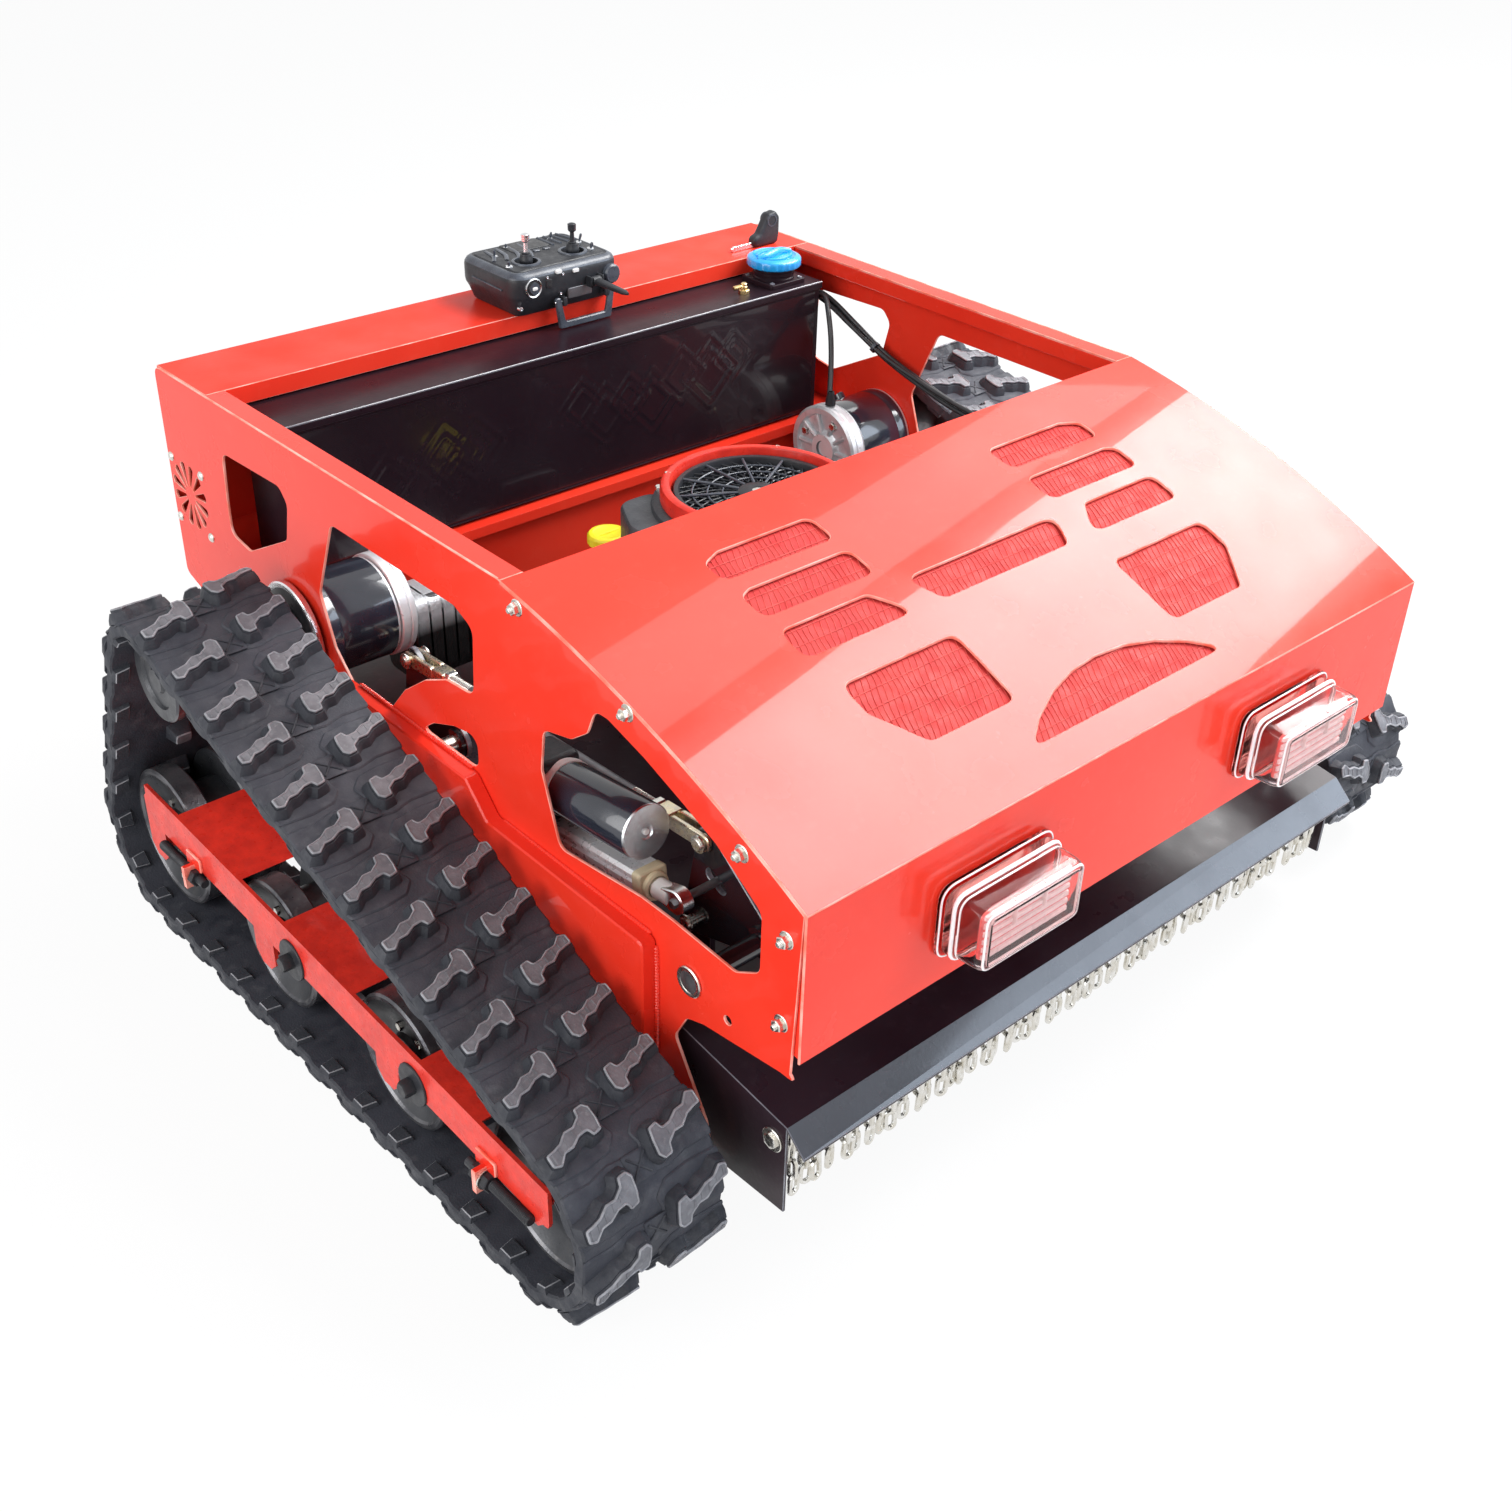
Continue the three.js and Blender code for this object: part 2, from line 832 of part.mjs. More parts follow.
// The small window lies under the middle window's low front corner, in shares of the same box.
const lowWindowShares = [
  [0.018, 0.095], [0.36, 0.095], [0.285, 0.18], [0.155, 0.258], [0.05, 0.285], [0.018, 0.247],
];
// Along the front window, and up from its sill to the hood's arc
const frontWindowShares = [
  [1, 0.311], [0.98, 0.507], [0.84, 0.573], [0.76, 0.668], [0.72, 0.807], [0.66, 0.825],
  [0.5, 0.814], [0.33, 0.785], [0.19, 0.755], [0.07, 0.678], [0, 0.623], [0, 0.187],
  [0.1, 0.057], [0.38, 0.075], [0.52, 0.07], [0.92, 0],
];
const underHood = ({ low, width, sill }, shares) =>
  shares.map(([u, v]) => {
    const y = low + u * width;
    return [y, sill + v * (hoodHeightAt(y) - sill)];
  });
const windowCorner = 9;
const archDrop = { front: 23, top: 44 };
const arch = {
  frontZ: crank.frontZ - archDrop.front,
  lobe: 22,
  topY: 138,
  top: crank.frontZ - archDrop.top,
  legY: 154,
  legZ: 189,
  lowY: 111,
  lowZ: 117,
};
const rearBottom = body.height - fromTop.rearWall;

// Welded box on the outside of each side panel, above the track's lower run
const fenderCrest = { inset: 5, slope: 31 };
const fender = {
  width: 16,
  rear: body.depth - fromRear.fender,
  rearTop: 306,
  crestRear: body.depth - fromRear.crest,
  crest: 318,
  crestFront: middleWindow.low + fenderCrest.inset,
  stepY: middleWindow.low + fenderCrest.inset - fenderCrest.slope,
  stepTop: 286,
  front: 178,
  frontTop: 283,
  frontBottom: 152,
  bottom: 100,
};

function sidePanel() {
  const front = body.sheet + seat;
  const outline = [
    [front, arch.frontZ],
    [arch.lobe, arch.frontZ],
    [arch.topY - arch.lobe, (arch.frontZ + arch.top) / 2 - body.sheet],
    [arch.topY, arch.top],
    [arch.legY, arch.legZ],
    [arch.lowY, arch.lowZ],
    [body.skirtFront, body.skirtBottom],
    [body.depth - fromRear.skirt, body.skirtBottom],
    [body.depth - fromRear.skirtCorner, body.height - fromTop.skirtCorner],
    [body.depth - fromRear.corner, body.height - fromTop.corner],
    [body.depth, rearBottom],
    [body.depth, body.height],
    [body.hoodDepth + seat, body.height],
    ...hoodArc(body.sheet + seat, front, body.hoodDepth).reverse(),
  ];
  const plate = plateX(outline, [inside, body.halfWidth]);
  const railInner = body.halfWidth - body.railWidth;
  const railSpan = [body.hoodDepth + seat, rearTopFront - seat];
  const rail = box([railInner, body.halfWidth], railSpan, [topUnder, body.height]);
  const lip = box([railInner, railInner + body.sheet], railSpan, [body.height - body.railLip, topUnder]);
  const through = [inside - overrun, body.halfWidth + fender.width + overrun];
  const openings = [
    shaped(rearWindow, rearWindowShares),
    shaped(middleWindow, middleWindowShares),
    shaped(middleWindow, lowWindowShares),
    underHood(frontWindow, frontWindowShares),
  ].map((outline) => plateX(rounded(outline, windowCorner, 1), through));
  const slots = [];
  for (let i = 0; i < vent.slots; i += 1) {
    const middle = (full * (i + 1 / 2)) / vent.slots;
    const half = (full * vent.slotShare) / vent.slots / 2;
    const at = (radius, angle) => [vent.y + radius * Math.cos(angle), vent.z + radius * Math.sin(angle)];
    const outer = [middle - half, middle + half].map((angle) => at(vent.radius, angle));
    const inner = [middle + half, middle - half].map((angle) => at(vent.hub, angle));
    slots.push(plateX([...outer, ...inner], through));
  }
  const holes = [
    holeX(crank.shaft + axle.clearance, [inside, body.halfWidth], crank.frontY, crank.frontZ),
    holeX(motor.nose + axle.clearance, [inside, body.halfWidth], drive.y, drive.z),
  ];
  const fenderBox = plateX(
    [
      [fender.rear, fender.rearTop],
      [fender.crestRear, fender.crest],
      [fender.crestFront, fender.crest],
      [fender.stepY, fender.stepTop],
      [fender.front, fender.frontTop],
      [fender.front, fender.frontBottom],
      [(fender.front + fender.stepY) / 2, fender.bottom],
      [fender.crestRear, fender.bottom],
      [fender.rear, fender.frontBottom],
    ],
    [body.halfWidth, body.halfWidth + fender.width],
  );
  return cut(join(plate, rail, lip, fenderBox), ...openings, ...slots, ...holes);
}

addPair("side_panel", sidePanel(), red);

// Rear panel with top plate and lip, and the tray that carries the tank

function rearPanel() {
  const half = inside - seat;
  const wall = box([-half, half], [body.depth - body.sheet, body.depth], [rearBottom, body.height]);
  const top = box([-half, half], [rearTopFront, body.depth], [topUnder, body.height]);
  const lipBottom = body.height - body.railLip;
  const lip = box([-half, half], [rearTopFront, rearTopFront + body.sheet], [lipBottom, body.height]);
  return join(wall, top, lip);
}

add("rear_panel", rearPanel(), red);

function tankTray() {
  const half = inside - seat;
  const top = tank.bottom - seat;
  const shelf = box([-half, half], [tray.front, body.depth - body.sheet - seat], [top - body.sheet, top]);
  const lip = box([-half, half], [tray.front, tray.front + body.sheet], [top - tray.lip, top]);
  const wall = box([-half, half], [tray.wallY, tray.wallY + body.sheet], [tray.wallBottom, top]);
  return join(shelf, lip, wall);
}

add("tank_tray", tankTray(), red);

function fuelTank() {
  const shell = plateX(
    rounded(
      [
        [tank.front, tank.bottom],
        [tank.rear, tank.bottom],
        [tank.rear, tank.top],
        [tank.front, tank.top],
      ],
      tank.fold,
      2,
    ),
    [-tank.halfLength, tank.halfLength],
  );
  const sunk = tank.top - tank.fold;
  const baseOutline = rectangle(tank.neckX, tank.neckY, tank.neckBase, tank.neckBase);
  const base = plateZ(baseOutline, [sunk, tank.top + tank.neckBasePlate]);
  const neck = barZ(tank.neck, tank.neckX, tank.neckY, [sunk, tank.top + tank.neckHeight], sidesLarge);
  return join(shell, base, neck);
}

add("fuel_tank", fuelTank(), gloss);

// The outlet on the tank's top: a hexagon, a stem and a nipple towards -X
function tankFitting() {
  const bottom = tank.top + seat;
  const top = bottom + fitting.height;
  const level = (bottom + fitting.hexHeight + top) / 2;
  return join(
    barZ(fitting.hex, fitting.x, fitting.y, [bottom, bottom + fitting.hexHeight], eyeSides),
    barZ(fitting.stem, fitting.x, fitting.y, [bottom, top]),
    barX(fitting.nipple, [fitting.x - fitting.reach, fitting.x], fitting.y, level),
  );
}

add("tank_fitting", tankFitting(), zinc);

const capBottom = tank.top + tank.neckHeight + seat;
add(
  "fuel_cap",
  join(
    barZ(cap.radius, tank.neckX, tank.neckY, [capBottom, capBottom + cap.height], sidesLarge),
    box(
      [tank.neckX - cap.radius + cap.grip, tank.neckX + cap.radius - cap.grip],
      [tank.neckY - cap.gripWidth / 2, tank.neckY + cap.gripWidth / 2],
      [capBottom + cap.height / 2, capBottom + cap.height + cap.grip],
    ),
  ),
  blue,
);

const trayTop = tank.bottom - seat;
add(
  "battery",
  box(
    [battery.x - battery.width / 2, battery.x + battery.width / 2],
    [battery.front, battery.rear],
    [trayTop + seat, trayTop + seat + battery.height],
  ),
  matte,
);

// Headlights: base ring and lens

const lampOutline = (inset) =>
  rounded(rectangle(lamp.x, lamp.z, lamp.width - 2 * inset, lamp.height - 2 * inset), lamp.corner);
addPair("headlight_base", plateY(lampOutline(0), [-seat - lamp.base, -seat]), white);
addPair(
  "headlight_lens",
  plateY(lampOutline(lamp.rim), [-2 * seat - lamp.base - lamp.lens, -2 * seat - lamp.base]),
  clear,
);

// Drive gearmotors and sprockets

function driveMotor() {
  const face = inside - seat;
  const seam = face - motor.length;
  const profile = [
    [seam, 0],
    [seam, motor.radius],
    [face, motor.radius],
    [face, 0],
  ];
  const nose = barX(motor.nose, [face - motor.capRelief, body.halfWidth], drive.y, drive.z);
  return join(turnedX(profile, drive.y, drive.z), nose);
}

addPair("drive_motor", driveMotor(), gloss);

function motorCap() {
  const seam = inside - seat - motor.length - seat;
  const end = seam - motor.cap;
  const profile = [
    [end + motor.capRelief, 0],
    [end + motor.capRelief, motor.face - motor.capRelief],
    [end, motor.face],
    [end, motor.capRadius - motor.capRelief],
    [end + motor.capRelief, motor.capRadius],
    [seam, motor.capRadius],
    [seam, 0],
  ];
  return turnedX(profile, drive.y, drive.z);
}

addPair("motor_end_cap", motorCap(), silver);

function toothedOutline() {
  const points = [];
  for (let i = 0; i < drive.teeth; i += 1) {
    const angle = (full * i) / drive.teeth;
    const step = full / drive.teeth;
    const at = (r, share) => arc(drive.y, drive.z, r, angle + share * step, 0, 0)[0];
    points.push(at(sprocket.tip, -sprocket.tipShare), at(sprocket.tip, sprocket.tipShare));
    points.push(at(sprocket.root, sprocket.rootShare), at(sprocket.root, 1 - sprocket.rootShare));
  }
  return points;
}

function driveSprocket() {
  const start = body.halfWidth + seat;
  const discStart = body.halfWidth + sprocket.discGap;
  const end = frame.outer - frame.sheet - axle.clearance;
  const shaft = barX(sprocket.shaft, [start, end], drive.y, drive.z);
  const disc = barX(sprocket.disc, [discStart, discStart + sprocket.discPlate], drive.y, drive.z, sidesWheel);
  const barrel = barX(sprocket.barrel, [discStart, end], drive.y, drive.z);
  const plates = [-1, 1].map((side) => {
    const x = beltMiddle + side * sprocket.offset;
    return plateX(toothedOutline(), [x - sprocket.plate / 2, x + sprocket.plate / 2]);
  });
  const cover = barX(sprocket.cover, [end - sprocket.coverPlate, end], drive.y, drive.z, sidesWheel);
  return join(shaft, disc, barrel, ...plates, cover);
}

addPair("drive_sprocket", driveSprocket(), darkSteel);

// Wheels: two discs on a hub, the outer one dished, with a bore for the axle

const wheelInner = beltMiddle - wheelDisc.offset - wheelDisc.width;
const wheelOuter = beltMiddle + wheelDisc.offset + wheelDisc.width;

function trackWheel(radius, hub, dish, y, z) {
  const bore = axle.radius + axle.clearance;
  const profile = [
    [wheelInner, bore],
    [wheelInner, radius],
    [beltMiddle - wheelDisc.offset, radius],
    [beltMiddle - wheelDisc.offset, hub],
    [beltMiddle + wheelDisc.offset, hub],
    [beltMiddle + wheelDisc.offset, radius],
    [wheelOuter, radius],
    [wheelOuter - dish, hub],
    [wheelOuter - dish, bore],
    [wheelInner, bore],
  ];
  return turnedX(profile, y, z, sidesWheel);
}

const wheelRadii = { idler: idler.radius - running, roller: roller.radius - running };
const idlerAt = (y) => trackWheel(wheelRadii.idler, idler.hub, idler.dish, y, idlerHeight);
const rollerAt = (y) => trackWheel(wheelRadii.roller, roller.hub, roller.dish, y, rollerHeight);
addPair("front_idler", idlerAt(idler.frontY), darkSteel);
addPair("rear_idler", idlerAt(idler.rearY), darkSteel);
const rollerY = [1, 2].map((i) => idler.frontY + i * wheelStep);
["front", "rear"].forEach((place, i) => {
  addPair("road_wheel_" + place, rollerAt(rollerY[i]), darkSteel);
});

// Track frame: channel with round cut-outs for the wheels, ears and axles, and two stubs to the body

function trackFrame() {
  const { inner, outer, sheet, rearY, frontY, rearTop, frontTop, flange, ear, scallop } = frame;
  const { stubSize, stubFrontY, stubRearY } = frame;
  const slope = (rearTop - frontTop) / (rearY - frontY);
  const topAt = (y) => frontTop + slope * (y - frontY);
  const band = (depth) => [
    [frontY, frontTop - depth],
    [rearY, rearTop - depth],
    [rearY, rearTop],
    [frontY, frontTop],
  ];
  const wheels = [
    [idler.frontY, idlerHeight, idler.radius],
    [rollerY[0], rollerHeight, roller.radius],
    [rollerY[1], rollerHeight, roller.radius],
    [idler.rearY, idlerHeight, idler.radius],
  ];
  const spans = [
    [inner, inner + sheet],
    [outer - sheet, outer],
  ];
  const cutSpan = [wheelInner - scallop / 2, outer - sheet];
  const scallops = wheels.map(([y, z, r]) => barX(r + scallop, cutSpan, y, z, sidesWheel));
  const plate = cut(plateX(band(sheet), [inner, outer]), ...scallops);
  const sides = spans.flatMap((span) => [
    plateX(rounded(band(flange), scallop), span),
    ...wheels.map(([y, z]) =>
      plateX(
        roundPoints(
          [
            [y, z],
            [y, topAt(y) - ear - sheet],
          ],
          ear,
        ),
        span,
      ),
    ),
  ]);
  const axles = wheels.map(([y, z]) => barX(axle.radius, [inner, outer], y, z));
  const stubs = [stubFrontY, stubRearY].map((y) =>
    box(
      [body.halfWidth + fender.width + seat, inner + sheet],
      [y - stubSize / 2, y + stubSize / 2],
      [topAt(y) - flange, topAt(y) - flange + stubSize],
    ),
  );
  return join(plate, ...sides, ...axles, ...stubs);
}

addPair("track_frame", trackFrame(), red);

// Belt: a closed strap round the wheels, lugs outside in two staggered rows, guide lugs inside

// The belt line at a distance outside the wheels: rear idler, sprocket, front idler.
const beltCircles = (offset) => [
  { x: idler.rearY, y: idlerHeight, r: idler.radius + offset },
  { x: drive.y, y: drive.z, r: drive.radius + offset },
  { x: idler.frontY, y: idlerHeight, r: idler.radius + offset },
];

// The place and outward angle at a share of the way round.
function alongBelt(stretches, share) {
  const total = stretches.reduce((sum, s) => sum + s.length, 0);
  let left = (share - Math.floor(share)) * total;
  for (const { circle, start, end, from, to, angle, length } of stretches) {
    const t = left / length;
    if (t <= 1 && circle) {
      const turned = start + (end - start) * t;
      const [y, z] = arc(circle.x, circle.y, circle.r, turned, 0, 0)[0];
      return { y, z, angle: turned };
    }
    if (t <= 1) return { y: from[0] + (to[0] - from[0]) * t, z: from[1] + (to[1] - from[1]) * t, angle };
    left -= length;
  }
  return alongBelt(stretches, 0);
}

// A block on the belt line: its base is sunk a little, and it stands out by a height.
function beltBlock(place, length, height, [x0, x1], sink) {
  const geometry = new THREE.BoxGeometry(x1 - x0, height + sink, length);
  geometry.translate(0, (height - sink) / 2, 0);
  geometry.rotateX(place.angle);
  geometry.translate((x0 + x1) / 2, place.y, place.z);
  return solid(geometry);
}

const beltLength = beltLine(beltCircles(0)).reduce((sum, stretch) => sum + stretch.length, 0);
const beltPitchCount = Math.round(beltLength / belt.pitch);

function trackBelt() {
  const span = [belt.inner, belt.inner + belt.width];
  const strap = cut(
    plateX(outlineRound(beltCircles(belt.carcass), beltStep), span),
    plateX(outlineRound(beltCircles(0), beltStep), [span[0] - overrun, span[1] + overrun]),
  );
  const outer = beltLine(beltCircles(belt.carcass));
  const inner = beltLine(beltCircles(0));
  const blocks = [];
  const sink = belt.carcass / 3;
  for (let i = 0; i < beltPitchCount; i += 1) {
    const rows = [
      [0, [span[0] + seat, span[0] + belt.lugWidth]],
      [1 / 2, [span[1] - belt.lugWidth, span[1] - seat]],
    ];
    for (const [shift, width] of rows) {
      const place = alongBelt(outer, (i + shift) / beltPitchCount);
      blocks.push(beltBlock(place, belt.lugLength, belt.lug, width, sink));
    }
    const place = alongBelt(inner, (i + 1 / 4) / beltPitchCount);
    const inward = { ...place, angle: place.angle + Math.PI };
    const guideSpan = [beltMiddle - belt.guideWidth / 2, beltMiddle + belt.guideWidth / 2];
    blocks.push(beltBlock(inward, belt.guideLength, belt.guide, guideSpan, sink));
  }
  return join(strap, ...blocks);
}

addPair("track_belt", trackBelt(), rubber);

// Deck pan, chain rod and chain curtain

const hangerPoints = [
  [crank.frontY + crank.hangY, crank.frontZ + crank.hangZ],
  [crank.rearY + crank.hangY, crank.rearZ + crank.hangZ],
];
const hangerSpan = [crank.x - seat - axle.clearance - hanger.plate, crank.x - seat - axle.clearance];

// The top sheet is folded down in front into a flap.
function deckPan() {
  const half = deck.halfWidth;
  const topLine = [
    [deck.front, deck.frontTop],
    [deck.slopeEnd, deck.top],
    [deck.rear, deck.top],
  ];
  const sheetLine = [[deck.front - flap.reach, deck.frontTop - flap.drop], ...topLine];
  const top = plateX([...sheetLine, ...sheetLine.map(([y, z]) => [y, z - deck.sheet]).reverse()], [-half, half]);
  const sideOutline = [
    ...topLine,
    [deck.rear, deck.rearBottom],
    [deck.rear - deck.front, deck.bottom],
    [deck.bottomFront, deck.bottom],
    [deck.front, deck.bottom + deck.sheet],
  ];
  const sides = [-1, 1].map((side) => plateX(sideOutline, sideSpan(side, half - deck.sheet, half)));
  const rear = box([-half, half], [deck.rear - deck.sheet, deck.rear], [deck.rearBottom, deck.top]);
  const shaftHole = barZ(deck.shaftHole, 0, engine.y, [deck.top - overrun, deck.top + overrun], sidesLarge);
  const hangers = [-1, 1].flatMap((side) =>
    hangerPoints.map(([y, z]) => {
      const span = sideSpan(side, ...hangerSpan);
      const ear = plateX(
        roundPoints(
          [
            [y, z],
            [y, deck.top - deck.sheet + hanger.eye],
          ],
          hanger.eye,
        ),
        span,
      );
      return cut(ear, holeX(crank.pin + axle.clearance, span, y, z));
    }),
  );
  const rodHole = holeX(chain.rod + axle.clearance, [-half, half], chain.y, chain.z);
  return cut(join(cut(top, shaftHole), ...sides, rear, ...hangers), rodHole);
}

add("deck_pan", deckPan(), gloss);

function chainRod() {
  const end = deck.halfWidth + seat;
  const heads = [-1, 1].map((side) =>
    barX(chain.head, sideSpan(side, end, end + chain.headLength), chain.y, chain.z, eyeSides),
  );
  return join(barX(chain.rod, [-end, end], chain.y, chain.z), ...heads);
}

add("chain_rod", chainRod(), zinc);

function chainCurtain() {
  const bore = chain.rod + axle.clearance;
  const half = deck.halfWidth - deck.sheet - running;
  const outer = bore + chain.sleeve;
  const tube = cut(
    plateX(rectangle(chain.y, chain.z, 2 * outer, 2 * outer), [-half, half]),
    holeX(bore, [-half, half], chain.y, chain.z),
  );
  const pitch = (2 * half - chain.link) / (chain.strands - 1);
  const depth = [chain.y - chain.thick / 2, chain.y + chain.thick / 2];
  const height = [chain.bottom, chain.z - outer + chain.sleeve / 3];
  const strands = [];
  for (let i = 0; i < chain.strands; i += 1) {
    const x = -half + i * pitch;
    strands.push(box([x, x + chain.link], depth, height));
  }
  return join(tube, ...strands);
}

add("chain_curtain", chainCurtain(), zinc);

// Engine: block, blower housing, ring, screen, oil cap, muffler, shaft and blade

const engineFoot = deck.top + seat;

function engineBlock() {
  const flange = barZ(engine.flange, 0, engine.y, [engineFoot, engineFoot + engine.flangePlate], sidesLarge);
  const top = engine.housingBottom - seat;
  const casing = plateZ(
    rounded(rectangle(0, engine.y, engine.caseWidth, engine.caseDepth), engine.cornerRadius),
    [engineFoot, top],
  );
  const half = engine.cylinderWidth / 2;
  const cylinder = box([-half, half], [engine.y, cylinderRear], [engine.cylinderBottom, cylinderTop]);
  const fins = [];
  const finStart = engine.y + engine.caseDepth / 2 + engine.finGap;
  const finPitch = (cylinderRear - finStart - 2 * engine.finGap) / engine.fins;
  for (let i = 0; i < engine.fins; i += 1) {
    const y = finStart + i * finPitch;
    for (const side of [-1, 1]) {
      const x = sideSpan(side, half - engine.finDepth, half + overrun);
      fins.push(box(x, [y, y + engine.finGap], [engine.cylinderBottom - overrun, cylinderTop + overrun]));
    }
  }
  const oilTube = barZ(oil.tube, oil.x, oil.y, [oil.bottom, oil.top - oil.capHeight - seat]);
  const oilFoot = bar(oil.tube, [oil.x, oil.y, oil.bottom + oil.tube], [0, engine.y, oil.bottom + oil.tube]);
  const bore = holeZ(engine.shaft + axle.clearance, 0, engine.y, [deck.bottom, housingTop], sidesWheel);
  return cut(join(flange, casing, cut(cylinder, ...fins), oilTube, oilFoot), bore);
}

add("engine_block", engineBlock(), darkSteel);

function blowerHousing() {
  const front = engine.y - engine.cornerAhead;
  const rear = engine.y + engine.cornerBehind;
  const round = barZ(housingRadius, 0, engine.y, [engine.housingBottom, housingTop], sidesLarge);
  const corner = plateZ(
    rounded(
      [
        [engine.cornerX, front],
        [0, front],
        [0, rear],
        [engine.cornerX * engine.cornerShare, rear],
        [engine.cornerX, rear - engine.cornerRadius * 2],
      ],
      engine.cornerRadius,
    ),
    [engine.housingBottom, housingTop - engine.finGap],
  );
  return cut(
    join(round, corner),
    barZ(engine.bore, 0, engine.y, [boreFloor, housingTop + overrun], sidesLarge),
    holeZ(engine.shaft + axle.clearance, 0, engine.y, [engine.housingBottom, housingTop], sidesWheel),
  );
}

add("blower_housing", blowerHousing(), matte);

// A round wall about the engine's shaft
const tube = (outer, inner, [bottom, top]) =>
  cut(
    barZ(outer, 0, engine.y, [bottom, top], sidesLarge),
    barZ(inner, 0, engine.y, [bottom - overrun, top + overrun], sidesLarge),
  );

const ringSpan = [housingTop + seat, housingTop + engine.ringHeight];
const screenRing = () => tube(ringInner + engine.ringWidth, ringInner, ringSpan);

add("screen_ring", screenRing(), red);

function fanScreen() {
  const base = barZ(screen.radius, 0, engine.y, [screen.bottom, screen.bottom + screen.plate], sidesLarge);
  const rim = tube(screen.radius, screen.radius - screen.rim, [screen.bottom, screen.top]);
  const hub = barZ(screen.hub, 0, engine.y, [screen.bottom, screen.top]);
  const ribs = [];
  const length = screen.radius - screen.rim / 2;
  const height = screen.top - screen.bottom - screen.plate;
  for (let i = 0; i < screen.ribs; i += 1) {
    const angle = (full * i) / screen.ribs;
    const geometry = new THREE.BoxGeometry(length, screen.rib, height);
    geometry.translate(length / 2, 0, (screen.top + screen.bottom - screen.plate) / 2);
    geometry.rotateZ(angle);
    geometry.translate(0, engine.y, 0);
    ribs.push(solid(geometry));
  }
  return join(base, rim, hub, ...ribs);
}

add("fan_screen", fanScreen(), matte);

add(
  "oil_cap",
  barZ(oil.cap, oil.x, oil.y, [oil.top - oil.capHeight, oil.top], sidesLarge / 2),
  yellow,
);

function exhaust() {
  const shell = plateX(
    rounded(
      rectangle(
        (muffler.front + muffler.rear) / 2,
        muffler.bottom + muffler.height / 2,
        muffler.rear - muffler.front,
        muffler.height,
      ),
      muffler.corner,
    ),
    [muffler.left, muffler.right],
  );
  const y = cylinderRear - muffler.pipe - engine.finGap;
  const z = (engine.cylinderBottom + cylinderTop) / 2;
  const reach = -engine.cylinderWidth / 2 - seat;
  const elbow = muffler.right - muffler.pipe;
  return join(
    shell,
    barX(muffler.pipe, [elbow - muffler.pipe, reach], y, z),
    bar(muffler.pipe, [elbow, y - muffler.pipe, z], [elbow, muffler.front + muffler.corner, z]),
  );
}

add("muffler", exhaust(), silver);

function crankshaft() {
  const top = screen.bottom - seat;
  const onBlade = blade.z + blade.plate;
  const shaft = barZ(engine.shaft, 0, engine.y, [blade.z, top], sidesWheel);
  const hub = barZ(blade.hub, 0, engine.y, [onBlade + seat, onBlade + blade.hubHeight]);
  const carrier = barZ(blade.carrier, 0, engine.y, [onBlade + seat, onBlade + blade.carrierPlate], sidesLarge);
  return join(shaft, hub, carrier);
}

add("crankshaft", crankshaft(), zinc);

function cuttingBlade() {
  const { radius, width, plate, z } = blade;
  const outline = [
    [-radius, engine.y - width / 2],
    [radius, engine.y - width / 2],
    [radius, engine.y + width / 3],
    [radius - width, engine.y + width / 2],
    [width - radius, engine.y + width / 2],
    [-radius, engine.y + width / 3],
  ];
  return cut(
    plateZ(outline, [z, z + plate]),
    holeZ(engine.shaft + seat, 0, engine.y, [z, z + plate], sidesWheel),
  );
}

add("cutting_blade", cuttingBlade(), darkSteel);

// Lift linkage: cranks, tie rods and actuators

// A crank plate round its shaft, with a tie eye, a hanger eye and, in front, a slot for the actuator's pin.
function crankPlate(y, z, slotted) {
  const span = [crank.x, crank.x + crank.plate];
  const tieEye = [y + crank.tieY, z + crank.tieZ];
  const hangEye = [y + crank.hangY, z + crank.hangZ];
  const around = [
    { x: y, y: z, r: crank.hub },
    { x: hangEye[0], y: hangEye[1], r: crank.hangEye },
    { x: tieEye[0], y: tieEye[1], r: crank.tieEye },
  ];
  const plate = plateX(outlineRound(around, eyeStep), span);
  const pins = [tieEye, hangEye].map(([py, pz]) =>
    barX(crank.pin, [crank.x - crank.pinOut, crank.x + crank.plate + crank.pinOut], py, pz),
  );
  if (!slotted) return join(plate, ...pins);
  const length = Math.hypot(crank.driveY, crank.driveZ);
  const ends = [-1, 1].map((s) => [
    y + crank.driveY * (1 + (s * crank.slotHalf) / length),
    z + crank.driveZ * (1 + (s * crank.slotHalf) / length),
  ]);
  const slot = plateX(roundPoints(ends, crank.slotWidth), [span[0] - overrun, span[1] + overrun]);
  return join(cut(plate, slot), ...pins);
}

function liftShaft() {
  const end = body.halfWidth + crank.shaftOut;
  const shaft = barX(crank.shaft, [-end, end], crank.frontY, crank.frontZ);
  const plate = crankPlate(crank.frontY, crank.frontZ, true);
  const other = plate.mirror([1, 0, 0]);
  const collars = [-1, 1].map((side) =>
    barX(crank.collar, sideSpan(side, inside - seat - crank.collarWidth, inside - seat), crank.frontY, crank.frontZ),
  );
  return join(shaft, plate, other, ...collars);
}

add("front_lift_shaft", liftShaft(), matte);

addPair(
  "rear_crank",
  join(
    crankPlate(crank.rearY, crank.rearZ, false),
    barX(crank.shaft, [crank.x, inside - seat], crank.rearY, crank.rearZ),
  ),
  matte,
);

